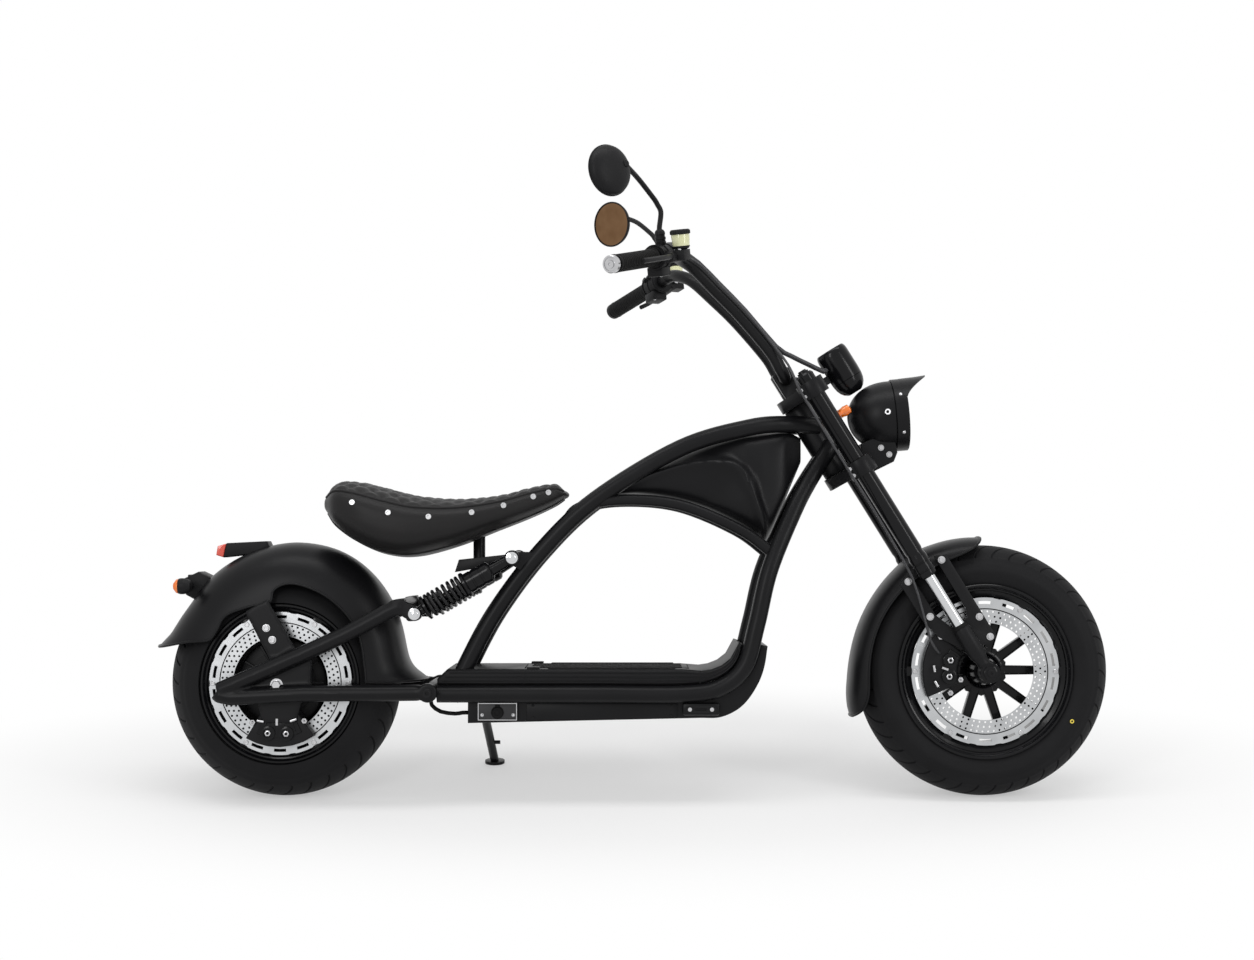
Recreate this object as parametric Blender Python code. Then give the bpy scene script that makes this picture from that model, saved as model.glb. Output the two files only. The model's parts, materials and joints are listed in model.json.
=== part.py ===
"""Electric chopper scooter, parked on its side stand.

Lengths are in metres.  The scooter is drawn upright in the bike frame: +X forward, +Y to the rider's
left, +Z up, with the floor passing through the origin.  The "lean" empty then turns it by the parking
lean onto its side stand, so every piece is a child of that empty.  Steered pieces are drawn in the
fork frame, whose origin lies on the steering axis and whose +Z runs up that axis.  Outlines near the
rear wheel are drawn round the rear axle, and outlines near the tail round a spot on the rear fender.
"""

import math
from typing import NamedTuple

import bmesh
import bpy
import numpy as np
from mathutils import Matrix, Vector


class FenderStation(NamedTuple):
    """One arch of a fender: its angle in degrees, and how far crown and edge stand beyond the tyre."""

    angle: float
    crown: float
    edge: float


class LoftStation(NamedTuple):
    """One rounded section of a lofted body."""

    x: float
    low: float
    high: float
    half_width: float


class Brake(NamedTuple):
    """A disc and the caliper that grips it from inside."""

    radius: float
    bore: float
    y: float
    caliper_angle: float
    caliper_span: float
    caliper_outer: float


# Stance
PARKING_LEAN = math.radians(9.0)
RAKE = math.radians(31.7)
WHEELBASE = 1.392
FRONT_AXLE_X = 0.685
FORK_OFFSET = 0.036
REAR_AXLE_X = FRONT_AXLE_X - WHEELBASE

# Fits: the gap between pieces that touch, and how far a welded shape sinks into its neighbour
SEAT_GAP = 0.0003
WELD_SINK = 0.002
WELD_DISTANCE = 1e-6

# Tyres and rims
RING_STEPS = 30
FRONT_TYRE_RADIUS = 0.250
FRONT_TYRE_HEIGHT = 0.085
FRONT_CROWN_RADIUS = 0.070
FRONT_BEAD_HALF_WIDTH = 0.058
FRONT_SEAT_RADIUS = FRONT_TYRE_RADIUS - FRONT_TYRE_HEIGHT
REAR_TYRE_RADIUS = 0.228
REAR_TYRE_HEIGHT = 0.079
REAR_CROWN_RADIUS = 0.100
REAR_BEAD_HALF_WIDTH = 0.084
REAR_SEAT_RADIUS = REAR_TYRE_RADIUS - REAR_TYRE_HEIGHT
RIM_WALL = 0.0055
RIM_FLANGE_HEIGHT = 0.008
RIM_FLANGE_WIDTH = 0.005
RIM_LIP_DEPTH = 0.006
BEAD_LIFT = 0.002
CROWN_STEP = math.radians(18.0)
CROWN_STEPS_EACH_SIDE = 4

# Wheel centres
AXLE_RADIUS = 0.010
AXLE_CLEARANCE = 0.0006
AXLE_BORE = AXLE_RADIUS + AXLE_CLEARANCE
AXLE_SHOULDER_GAP = 0.001
AXLE_SIDES = 14
FRONT_SHOULDER_RADIUS = 0.017
REAR_SHOULDER_RADIUS = 0.016
SPOKE_COUNT = 10
SPOKE_WIDTH = 0.019
SPOKE_DEPTH = 0.022
SPOKE_TAPER = 0.8
SPOKE_WEB_RADIUS = 0.046
SPOKE_FOOT_SINK = 0.006
FRONT_HUB_RADIUS = 0.031
FRONT_HUB_END_RADIUS = 0.022
FRONT_HUB_HALF_WIDTH = 0.066
FRONT_HUB_SIDES = 16
MOTOR_RADIUS = REAR_SEAT_RADIUS - 0.061
MOTOR_HALF_WIDTH = 0.058
MOTOR_CHAMFER = 0.008
MOTOR_SIDES = 20
REAR_HUB_RADIUS = 0.026
REAR_HUB_END_RADIUS = 0.022
REAR_HUB_HALF_WIDTH = 0.100
REAR_WEB_HALF_WIDTH = 0.013
REAR_WEB_SINK = 0.004

# Brakes: the discs are held by lugs on the rim at their outer edge
DISC_THICKNESS = 0.005
DISC_RUN = 0.005
DISC_SLOTS = 9
DISC_SLOT_HALF_HEIGHT = 0.0035
DISC_SLOT_PLACE = 0.62
DISC_SLOT_SHARE = 0.78
DISC_LUGS = 6
LUG_WIDTH = 0.016
LUG_THICKNESS = 0.014
LUG_OVERLAP = 0.010
CALIPER_INNER = 0.008
CALIPER_DEPTH = 0.038
CALIPER_STEPS = 6
CALIPER_GAP_SHARE = 1.6
DISC_CUT_MARGIN = 0.020
CALIPER_BEVEL = 0.003
FRONT_DISC_RADIUS = FRONT_SEAT_RADIUS - 0.018
FRONT_BRAKE = Brake(
    radius=FRONT_DISC_RADIUS, bore=FRONT_DISC_RADIUS - 0.051, y=-0.050,
    caliper_angle=172.0, caliper_span=62.0, caliper_outer=0.0185,
)
REAR_DISC_RADIUS = REAR_SEAT_RADIUS - 0.008
REAR_BRAKE = Brake(
    radius=REAR_DISC_RADIUS, bore=REAR_DISC_RADIUS - 0.048, y=-0.079,
    caliper_angle=-88.0, caliper_span=66.0, caliper_outer=0.022,
)

# Fork
FORK_HALF_WIDTH = 0.098
STANCHION_RADIUS = 0.012
SLIDER_RADIUS = 0.018
SLIDER_NECK_RADIUS = 0.013
SLIDER_TOP = 0.104
SLIDER_BOSS_RADIUS = 0.020
SLIDER_BOSS_INNER = 0.018
SLIDER_BOSS_OUTER = 0.016
DUST_CAP_RADIUS = 0.019
FORK_TUBE_RADIUS = 0.018
FORK_TUBE_FOOT = 0.222
FORK_TUBE_TOP = 0.690
LEG_SIDES = 16

# Sections of a fork leg's parts: height over the axle, radius
FORK_TUBE_SECTION = [
    (FORK_TUBE_FOOT, 0.0), (FORK_TUBE_FOOT, DUST_CAP_RADIUS - 0.0035),
    (FORK_TUBE_FOOT + 0.006, DUST_CAP_RADIUS),
    (FORK_TUBE_FOOT + 0.040, DUST_CAP_RADIUS), (FORK_TUBE_FOOT + 0.054, FORK_TUBE_RADIUS - 0.0012),
    (FORK_TUBE_FOOT + 0.059, FORK_TUBE_RADIUS), (FORK_TUBE_TOP, FORK_TUBE_RADIUS),
    (FORK_TUBE_TOP + 0.004, FORK_TUBE_RADIUS - 0.004), (FORK_TUBE_TOP + 0.004, 0.0),
]
STANCHION_SECTION = [
    (SLIDER_TOP + SEAT_GAP, 0.0), (SLIDER_TOP + SEAT_GAP, STANCHION_RADIUS),
    (FORK_TUBE_FOOT - SEAT_GAP, STANCHION_RADIUS), (FORK_TUBE_FOOT - SEAT_GAP, 0.0),
]
SLIDER_SECTION = [
    (-0.004, 0.0), (-0.004, SLIDER_NECK_RADIUS), (0.030, SLIDER_NECK_RADIUS), (0.044, SLIDER_RADIUS),
    (SLIDER_TOP - 0.004, SLIDER_RADIUS), (SLIDER_TOP, SLIDER_RADIUS - 0.0015), (SLIDER_TOP, 0.0),
]

# Clamps and stem
LOWER_CLAMP_Z = 0.475
UPPER_CLAMP_Z = 0.656
CLAMP_HEIGHT = 0.033
CLAMP_WEB_HALF_HEIGHT = 0.012
CLAMP_FRONT_X = 0.052
CLAMP_BARREL_RADIUS = 0.0285
CLAMP_BARREL_SIDES = 16
STEM_RADIUS = 0.015
STEM_SIDES = 20
STEM_REACH = 0.006
HEAD_TUBE_RADIUS = 0.027
HEAD_BEARING_GAP = 0.0005
STEERING_RUN = 0.0006

# The clamp's web seen from above: x, y
CLAMP_OUTLINE = [
    (CLAMP_FRONT_X, -0.070), (CLAMP_FRONT_X, 0.070), (FORK_OFFSET + 0.010, 0.100),
    (FORK_OFFSET - 0.014, 0.104), (-0.026, 0.030), (-0.030, 0.012), (-0.030, -0.012), (-0.026, -0.030),
    (FORK_OFFSET - 0.014, -0.104), (FORK_OFFSET + 0.010, -0.100),
]

# Frame tubes
FRAME_TUBE_RADIUS = 0.017
ARCH_TUBE_RADIUS = 0.011
SWINGARM_TUBE_RADIUS = 0.0165
SWINGARM_TUBE_RESOLUTION = 3
FRAME_HALF_WIDTH = 0.085
RAIL_HALF_WIDTH = FRAME_HALF_WIDTH + 0.020
HEAD_HALF_WIDTH = 0.022
SWINGARM_HALF_WIDTH = RAIL_HALF_WIDTH + 0.025

# Swingarm pivot and bridge
PIVOT_RADIUS = 0.015
PIVOT_X = -0.412
PIVOT_Z = 0.212
PIVOT_SIDES = 20
PIVOT_EYE_RADIUS = 0.019
PIVOT_EYE_OUTER = 0.016
BRIDGE_RADIUS = 0.013
BRIDGE_X = -0.470
BRIDGE_Z = 0.380
BRACKET_TUBE_SIDES = 16

# Shock absorbers
SHOCK_Y = SWINGARM_HALF_WIDTH - 0.005
SHOCK_EYE_WIDTH = 0.022
SHOCK_FOOT = Vector((-0.438, 0.0, 0.365))
SHOCK_HEAD = Vector((-0.249, 0.0, 0.474))
SHOCK_SIDES = 10
SHOCK_FOOT_EYE_RADIUS = 0.014
SHOCK_HEAD_EYE_RADIUS = 0.015
SHOCK_CHEEK = 0.006
SHOCK_ROD_RADIUS = 0.0105
SPRING_FOOT = 0.026
SPRING_HEAD = 0.112
SPRING_WIRE = 0.0036
SPRING_RADIUS = 0.0212
SPRING_TURNS = 6.5
SPRING_STEPS = 7

# The damper's section along its own axis, up to the slim rod at its head: distance from the foot, radius
SHOCK_SECTION = [
    (0.0, 0.0), (0.006, 0.010), (0.020, 0.010), (0.022, 0.025), (0.027, 0.025), (0.029, 0.009), (0.109, 0.009),
    (0.111, 0.026), (0.117, 0.026), (0.120, 0.020), (0.168, 0.020), (0.172, SHOCK_ROD_RADIUS),
]
SHOCK_TIP = 0.008

# Handlebar
BAR_RADIUS = 0.0125
BAR_CLAMP_Z = 0.702
BAR_CLAMP_X = 0.007
BAR_END = 0.372
BAR_STRAIGHT_STARTS = (0.165, 0.190)
RISER_Y = 0.020
RISER_HALF_LENGTH = 0.019
RISER_HALF_WIDTH = 0.012
RISER_COVER = 0.007
RISER_BEVEL = 0.003
GRIP_RADIUS = 0.017
GRIP_COLLAR = 0.002
GRIP_COLLAR_END = 0.004
GRIP_NECK_END = 0.006
GRIP_TAPER = 0.0005
GRIP_START = 0.240
GRIP_END = 0.368
GRIP_INNER = Vector((-0.103, 0.230, 1.025))
GRIP_OUTER = Vector((-0.186, 0.370, 1.039))
BAR_ROUTE = [
    (BAR_CLAMP_X, 0.0, BAR_CLAMP_Z), (BAR_CLAMP_X, 0.032, BAR_CLAMP_Z),
    (BAR_CLAMP_X, 0.0490, BAR_CLAMP_Z + 0.006),
    (0.0075, 0.0580, 0.726), (0.008, 0.0610, 0.765), (-0.006, 0.064, 0.856), (-0.022, 0.072, 0.924),
    (-0.036, 0.090, 0.978), (-0.052, 0.122, 1.006),
]
BAR_WEIGHT_SECTION = [
    (-0.003, 0.0), (-0.003, 0.010), (0.0, 0.016), (0.008, 0.0165), (0.011, 0.013), (0.011, 0.0),
]
BAR_WEIGHT_SIDES = 12

# Controls on the bar
CONTROL_START = GRIP_START - 0.048
HOUSING_RADIUS = 0.023
HOUSING_LENGTH = 0.046
HOUSING_EDGE = 0.004
HOUSING_CHAMFERS = (0.002, 0.003)
CONTROL_SIDES = 16
CYLINDER_FOOT = (0.032, 0.003, 0.002)
CYLINDER_HEAD = (0.036, 0.002, 0.058)
CYLINDER_RADIUS = 0.0105
CYLINDER_SIDES = 12
LEVER_RADIUS = 0.0052
LEVER_ROUTE = [
    (0.036, 0.0, 0.050), (0.048, 0.0, 0.075), (0.052, 0.0, 0.110), (0.050, 0.0, 0.160), (0.047, 0.0, 0.178),
]
CONTROL_ARM = ((0.014, -0.010, 0.008), (0.058, 0.010, 0.034))
RESERVOIR_SIDES = 14
RESERVOIR_FOOT = Vector((0.046, 0.0, 0.020))
RESERVOIR_RISE = 0.010
RESERVOIR_SECTION = [
    (0.0, 0.0), (0.0, 0.010), (0.006, 0.016), (0.026, 0.0175), (0.030, 0.019), (0.036, 0.019), (0.038, 0.017),
    (0.038, 0.0),
]

# Mirrors, in the fork frame on the left side
MIRROR_RADIUS = 0.049
MIRROR_DEPTH = 0.020
MIRROR_SIDES = 18
MIRROR_RIM = 0.003
MIRROR_BACK = 0.55
MIRROR_BOWL = [(0.9, 0.45), (MIRROR_BACK, 0.80)]
MIRROR_EDGE = 0.004
MIRROR_STALK_STEPS = (0.010, 0.030)
MIRROR_ON_BAR = 0.205
MIRROR_STALK_RADIUS = 0.0045
MIRROR_ROOT_SIDES = 10
MIRROR_ROOT_SECTION = [(0.0, 0.0), (0.0, 0.0085), (0.028, 0.0085), (0.030, 0.006), (0.030, 0.0)]
MIRROR_STALK = [
    (-0.0460, 0.210, 1.0947), (-0.0432, 0.217, 1.1201), (-0.0653, 0.262, 1.1796), (-0.0799, 0.290, 1.1921),
]
MIRROR_CENTRE = (-0.0973, 0.322, 1.1981)
MIRROR_AIM = (-0.8410, -0.258, 1.5164)

# Instrument pod, in the fork frame
GAUGE_X = 0.117
GAUGE_RADIUS = 0.033
GAUGE_FOOT = 0.606
GAUGE_HEIGHT = 0.099
GAUGE_EDGE = 0.004
GAUGE_BOWL = [(0.010, 0.80), (0.028, 0.97), (0.045, 1.0)]
GAUGE_FOOT_SHARE = 0.45
GAUGE_TOP_SHARES = (0.98, 0.90)
GAUGE_ARM_HALF_WIDTH = 0.012
GAUGE_ARM_HALF_HEIGHT = 0.008

# Headlight, in the fork frame
LAMP_SIDES = 20
HEADLIGHT_CENTRE = (0.1781, 0.0, 0.5156)
HEADLIGHT_TILT = math.radians(4.9)
HEADLIGHT_RADIUS = 0.071
HEADLIGHT_DEPTH = 0.116
HEADLIGHT_RECESS = 0.010
HEADLIGHT_RIM = 0.005
HEADLIGHT_BAND = 0.0015
HEADLIGHT_BAND_X = -0.025
HEADLIGHT_BOWL = [(0.965, 0.25), (0.86, 0.50), (0.68, 0.74), (0.46, 0.91)]
HEADLIGHT_NECK = (-0.026, 0.985)
LENS_BULGE = [(-0.004, 1.0), (0.002, 0.75), (0.005, 0.4), (0.006, 0.0)]
VISOR_REACH = 0.046
VISOR_STEPS = 8
VISOR_SPREAD = math.radians(62.0)
VISOR_FLARE = 0.06
VISOR_FOOT = 0.008
VISOR_POWER = 1.4
VISOR_EDGE = 0.001
HEADLIGHT_BRACKET_HALF_WIDTH = 0.042
HEADLIGHT_BRACKET_OUTLINE = [
    (CLAMP_FRONT_X + SEAT_GAP, 0.461), (CLAMP_FRONT_X + SEAT_GAP, 0.489), (0.066, 0.512), (0.100, 0.510),
    (0.128, 0.480), (0.120, 0.460), (0.104, 0.448), (0.062, 0.452),
]

# Front turn signals, in the fork frame
SIGNAL_LAMP = (0.070, 0.072, 0.585)
SIGNAL_STALK_RADIUS = 0.0045
SIGNAL_SIDES = 12
FRONT_SIGNAL_SECTION = [(-0.014, 0.0), (-0.012, 0.008), (0.0, 0.0105), (0.010, 0.009), (0.014, 0.0)]

# Seat, deck and body
DECK_THICKNESS = 0.031
DECK_HALF_WIDTH = RAIL_HALF_WIDTH + 0.003
DECK_BEVEL = 0.004
DECK_END_Z = 0.300
DECK_TAPER_X = 0.09
DECK_TAPER = 0.72
DECK_NOSE = 0.012
DECK_REAR_SLOPE = 0.020
BATTERY_HALF_WIDTH = RAIL_HALF_WIDTH - FRAME_TUBE_RADIUS - 0.0005
BATTERY_REAR_X = -0.338
LID_REAR_X = -0.226
LID_FRONT_X = 0.096
LID_HALF_WIDTH = FRAME_HALF_WIDTH - 0.007
LID_THICKNESS = 0.007
LID_SEAM = 0.0015
SOCKET_LOW = (-0.318, 0.155)
SOCKET_HIGH = (-0.240, 0.190)
SOCKET_BEVEL = 0.0015
SOCKET_THICKNESS = 0.008
PEG_BRACKET_LOW = (0.084, 0.166)
PEG_BRACKET_HIGH = (0.156, 0.1895)
PEG_BRACKET_REACH = 0.020
PEG_BRACKET_SINK = 0.006

# Side stand
STAND_PIVOT = Vector((-0.318, RAIL_HALF_WIDTH + 0.005, 0.150))
STAND_FOOT = Vector((-0.305, RAIL_HALF_WIDTH + 0.133))
STAND_AXIS = Vector((0.030, 0.630, 0.775)).normalized()
STAND_LEG_RADIUS = 0.009
STAND_LEG_SIDES = 14
STAND_BOSS_RADIUS = 0.012
STAND_BOSS_SIDES = 16
STAND_BOSS_HALF = 0.0098
STAND_ARM_LOW = (-0.334, 0.1655)
STAND_ARM_HIGH = (-0.300, 0.180)
STAND_LUG_BACK = Vector((0.003, 0.0, 0.0))
STAND_LUG_FRONT = Vector((0.020, 0.0, 0.0))
STAND_BRACKET_REACH = 0.020
STAND_FOOT_RADIUS = 0.021
STAND_FOOT_THICKNESS = 0.006
STAND_LUG_PLACE = 0.42
STAND_LUG_RADIUS = 0.004

# Frame routes on the left side: x, half width, z; the head ends are drawn round the fork frame's origin
MAIN_TUBE_HEAD = [(-0.2944, HEAD_HALF_WIDTH, 0.5083), (-0.3574, 0.040, 0.5103), (-0.4364, 0.062, 0.5023)]
MAIN_TUBE_REST = [
    (0.080, FRAME_HALF_WIDTH - 0.005, 0.690),
    (-0.088, FRAME_HALF_WIDTH, 0.588),
    (-0.196, FRAME_HALF_WIDTH, 0.485),
    (-0.285, FRAME_HALF_WIDTH, 0.367),
    (-0.343, FRAME_HALF_WIDTH, 0.260),
    (-0.372, FRAME_HALF_WIDTH, 0.196),
]
ARCH_TUBE_ROUTE = [
    (-0.150, FRAME_HALF_WIDTH, 0.535),
    (-0.120, FRAME_HALF_WIDTH, 0.572),
    (-0.039, FRAME_HALF_WIDTH, 0.588),
    (0.079, FRAME_HALF_WIDTH, 0.578),
    (0.198, FRAME_HALF_WIDTH, 0.529),
    (0.268, FRAME_HALF_WIDTH + 0.005, 0.478),
]
RAIL_STRAIGHT_Z = 0.208
RAIL_REST = [
    (-0.3965, RAIL_HALF_WIDTH, RAIL_STRAIGHT_Z),
    (-0.273, RAIL_HALF_WIDTH, RAIL_STRAIGHT_Z),
    (-0.078, RAIL_HALF_WIDTH, RAIL_STRAIGHT_Z),
    (0.085, RAIL_HALF_WIDTH, RAIL_STRAIGHT_Z),
    (0.157, RAIL_HALF_WIDTH, 0.220),
    (0.205, RAIL_HALF_WIDTH, 0.262),
    (0.229, RAIL_HALF_WIDTH, 0.343),
    (0.255, RAIL_HALF_WIDTH - 0.005, 0.450),
]
RAIL_HEAD = [(-0.3504, 0.068, 0.3343), (-0.3164, 0.044, 0.3973), (-0.2694, HEAD_HALF_WIDTH, 0.4703)]

# Swingarm routes and plates as (x, z): the rear ends are drawn round the rear axle, the front ends round
# the shock's foot and the pivot
UPPER_ARM_REAR = [(-0.113, -0.0108), (0.046, 0.0582), (0.143, 0.1032)]
UPPER_ARM_FRONT = [(-0.052, 0.005), (-0.028, 0.015)]
LOWER_ARM_REAR = [(-0.115, -0.0138), (-0.089, -0.0238), (0.047, -0.0168)]
LOWER_ARM_FRONT = [(-0.093, -0.001), (-0.0165, 0.0)]
FENDER_PLATE_OUTLINE = [(-0.065, 0.1422), (-0.020, 0.1672), (0.039, 0.0632), (-0.009, 0.0352)]
FENDER_PLATE_THICKNESS = 0.007
DROPOUT_OUTLINE = [(-0.083, -0.0128), (0.067, -0.0128), (0.067, 0.0582), (0.047, 0.0532)]
DROPOUT_INSET = 0.003
HANGER_OUTLINE = [(-0.043, -0.0188), (-0.031, -0.0768), (0.035, -0.0768), (0.052, -0.0188)]
HANGER_THICKNESS = 0.0065
CLEVIS_OUTLINE = [(-0.046, -0.001), (-0.020, -0.003), (-0.020, 0.031), (-0.046, 0.027)]
CHEEK_OUTLINE = [
    (-0.032, 0.003), (-0.012, -0.015), (0.006, -0.013), (0.014, 0.001), (0.004, 0.015), (-0.032, 0.029),
]

# Battery box outline: x, z
BATTERY_TOP_Z = RAIL_STRAIGHT_Z + FRAME_TUBE_RADIUS
BATTERY_OUTLINE = [
    (BATTERY_REAR_X, 0.149), (0.157, 0.160), (0.214, 0.196), (0.243, 0.244), (0.252, 0.300), (0.236, 0.304),
    (0.222, 0.262), (0.190, 0.232), (0.140, BATTERY_TOP_Z - 0.002), (BATTERY_REAR_X, BATTERY_TOP_Z - 0.002),
]

# Fenders
FENDER_WALL = 0.003
FENDER_SQUARENESS = 2.6
FENDER_ARCH_STEPS = 8
REAR_FENDER_HALF_WIDTH = SWINGARM_HALF_WIDTH - 0.018
FRONT_FENDER_HALF_WIDTH = FRONT_CROWN_RADIUS + 0.006
REAR_FENDER_STATIONS = [
    FenderStation(164.0, 0.034, -0.002),
    FenderStation(157.0, 0.020, -0.024),
    FenderStation(148.0, 0.017, -0.066),
    FenderStation(139.0, 0.018, -0.068),
    FenderStation(128.0, 0.027, -0.059),
    FenderStation(113.0, 0.036, -0.065),
    FenderStation(96.5, 0.045, -0.067),
    FenderStation(93.0, 0.047, -0.044),
    FenderStation(84.0, 0.051, -0.030),
    FenderStation(68.0, 0.053, -0.031),
    FenderStation(53.0, 0.047, -0.035),
    FenderStation(35.0, 0.034, -0.042),
    FenderStation(16.0, 0.020, -0.054),
    FenderStation(7.0, 0.026, -0.056),
    FenderStation(1.0, 0.054, -0.056),
]
FRONT_FENDER_STATIONS = [
    FenderStation(91.0, 0.016, 0.0),
    FenderStation(97.0, 0.017, -0.010),
    FenderStation(108.0, 0.019, -0.016),
    FenderStation(119.0, 0.020, -0.018),
    FenderStation(134.0, 0.014, -0.018),
    FenderStation(150.0, 0.011, -0.018),
    FenderStation(169.0, 0.012, -0.018),
    FenderStation(185.0, 0.019, -0.016),
    FenderStation(195.0, 0.027, -0.008),
    FenderStation(199.0, 0.028, 0.008),
]
FENDER_CORE_HALF_WIDTH = 0.030
FENDER_CORE_DEPTH = 0.088

# The front fender's stay in the fork frame, as shares of the front tyre's radius: x, z
FENDER_STAY_OUTLINE = [
    (0.268, 1.000), (0.356, 0.960), (0.352, 0.208), (0.288, 0.176), (0.184, 0.220), (0.080, 0.232),
    (-0.040, 0.440), (-0.076, 0.600), (-0.076, 0.940), (-0.008, 0.972), (0.032, 0.928), (0.032, 0.600),
    (0.088, 0.448), (0.240, 0.448), (0.264, 0.520),
]
FENDER_STAY_THICKNESS = 0.0075

# Tail light and rear bracket, each drawn round a spot given by its angle and height over the rear tyre
TAIL_LIGHT_ANGLE = math.radians(107.5)
TAIL_LIGHT_RISE = 0.048
TAIL_LIGHT_OUTLINE = [(-0.042, -0.016), (-0.036, 0.013), (0.045, 0.017), (0.055, -0.005)]
TAIL_LIGHT_HALF_WIDTH = 0.026
TAIL_LENS_OUTLINE = [(-0.0424, -0.0155), (-0.0368, 0.0120), (-0.0540, 0.0070), (-0.0570, -0.0110)]
TAIL_LENS_HALF_WIDTH = 0.024
TAIL_BRACKET_ANGLE = math.radians(134.0)
TAIL_BRACKET_RISE = 0.0275
TAIL_BRACKET_OUTLINE = [
    (0.0165, -0.0306), (-0.0205, -0.0106), (-0.0255, 0.0214), (0.0045, 0.0354), (0.0345, 0.0214),
]
TAIL_BRACKET_HALF_WIDTH = 0.035
REAR_SIGNAL_SPOT = (-0.0135, 0.0074)
REAR_SIGNAL_Y = 0.085
REAR_SIGNAL_ARM_RADIUS = 0.006
REAR_SIGNAL_SECTION = [(-0.022, 0.0), (-0.019, 0.012), (-0.004, 0.016), (0.012, 0.013), (0.016, 0.0)]

# Saddle
SEAT_SIDES = 14
SEAT_SQUARENESS = 2.8
SEAT_STATIONS = [
    LoftStation(-0.620, 0.562, 0.598, 0.086),
    LoftStation(-0.598, 0.532, 0.621, 0.122),
    LoftStation(-0.555, 0.501, 0.621, 0.143),
    LoftStation(-0.500, 0.479, 0.608, 0.150),
    LoftStation(-0.441, 0.476, 0.594, 0.150),
    LoftStation(-0.361, 0.497, 0.588, 0.142),
    LoftStation(-0.280, 0.529, 0.595, 0.124),
    LoftStation(-0.220, 0.553, 0.610, 0.104),
    LoftStation(-0.172, 0.576, 0.618, 0.086),
    LoftStation(-0.150, 0.592, 0.608, 0.070),
]
SEAT_TUBE_RADIUS = 0.013
SEAT_GUSSET_OUTLINE = [(-0.006, -0.012), (0.021, -0.028), (0.044, 0.010), (-0.004, 0.012)]
SEAT_GUSSET_HIGH_Y = FRAME_HALF_WIDTH + 0.015
SEAT_GUSSET_LOW_Y = FRAME_HALF_WIDTH - 0.013
SEAT_PAN_OUTLINE = [(-0.119, -0.029), (-0.013, -0.010), (0.0, -0.004), (0.0, 0.008), (-0.111, -0.004)]
SEAT_PAN_HALF_WIDTH = 0.040
SEAT_POST_FOOT = (-0.322, 0.0, 0.460)
SEAT_POST_HEAD = (-0.322, 0.0, 0.530)
SEAT_POST_RADIUS = 0.012

# Tank cover
TANK_SIDES = 16
TANK_SQUARENESS = 4.0
TANK_STATIONS = [
    LoftStation(-0.022, 0.600, 0.621, FRAME_HALF_WIDTH - 0.007),
    LoftStation(0.020, 0.597, 0.650, FRAME_HALF_WIDTH - 0.002),
    LoftStation(0.079, 0.587, 0.675, FRAME_HALF_WIDTH + 0.002),
    LoftStation(0.139, 0.568, 0.699, FRAME_HALF_WIDTH + 0.005),
    LoftStation(0.198, 0.538, 0.716, FRAME_HALF_WIDTH + 0.005),
    LoftStation(0.232, 0.514, 0.722, FRAME_HALF_WIDTH + 0.003),
    LoftStation(0.252, 0.505, 0.724, FRAME_HALF_WIDTH + 0.001),
    LoftStation(0.284, 0.572, 0.725, FRAME_HALF_WIDTH - 0.009),
    LoftStation(0.305, 0.622, 0.722, FRAME_HALF_WIDTH - 0.025),
    LoftStation(0.322, 0.662, 0.714, FRAME_HALF_WIDTH - 0.039),
]

# Held cords.  The brake hose leaves the right master cylinder, follows the bar and the right fork leg, and
# ends on the front caliper; the loom sleeve runs from the right control to the instrument pod
HOSE_RADIUS = 0.0028
HOSE_LEAVES = [(0.032, -0.003, 0.0015), (0.031, -0.003, -0.012)]
HOSE_ROUTE = [
    (-0.0455, -0.1597, 1.0046), (-0.0378, -0.1309, 0.9995), (-0.0227, -0.1019, 0.9756),
    (-0.0093, -0.0847, 0.9244), (0.0068, -0.0767, 0.8570), (0.0190, -0.0755, 0.7650), (0.0200, -0.0980, 0.7220),
    (0.0140, -0.1240, 0.6900), (0.0090, -0.1330, 0.6550), (0.0080, -0.1310, 0.5600), (0.0080, -0.1310, 0.4750),
    (0.0100, -0.1180, 0.4000), (0.0100, -0.1080, 0.3200), (0.0060, -0.1060, 0.2400), (-0.0120, -0.1030, 0.1700),
    (-0.0280, -0.1000, 0.1150), (-0.0270, -0.0920, 0.0870), (-0.0240, -0.0840, 0.0820),
]
HOSE_END = (-0.0240, 0.0820)
LOOM_RADIUS = 0.0055
LOOM_LEAVES = [(0.0, 0.0187, -0.0004)]
LOOM_ROUTE = [
    (-0.0562, -0.1682, 1.0353), (-0.0426, -0.1171, 1.0217), (-0.0229, -0.0809, 0.9883),
    (-0.0071, -0.0618, 0.9299), (0.0093, -0.0533, 0.8596), (0.0238, -0.0505, 0.7671), (0.0400, -0.0460, 0.7350),
    (0.0600, -0.0370, 0.7050),
]
LOOM_END_Z = 0.675
LOOM_END_REACH = 0.0028
LOOM_NEAR_REACH = 0.012
LOOM_END_WAY = Vector((-0.8, -0.6, 0.0))

# The battery cables hang from the pivot tube to the rear face of the battery box
CABLE_RADIUS = 0.0045
CABLE_Y = -0.062
CABLE_ROUTE = [(-0.411, 0.183), (-0.393, 0.170), (-0.365, 0.166), (-0.350, 0.168)]


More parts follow.
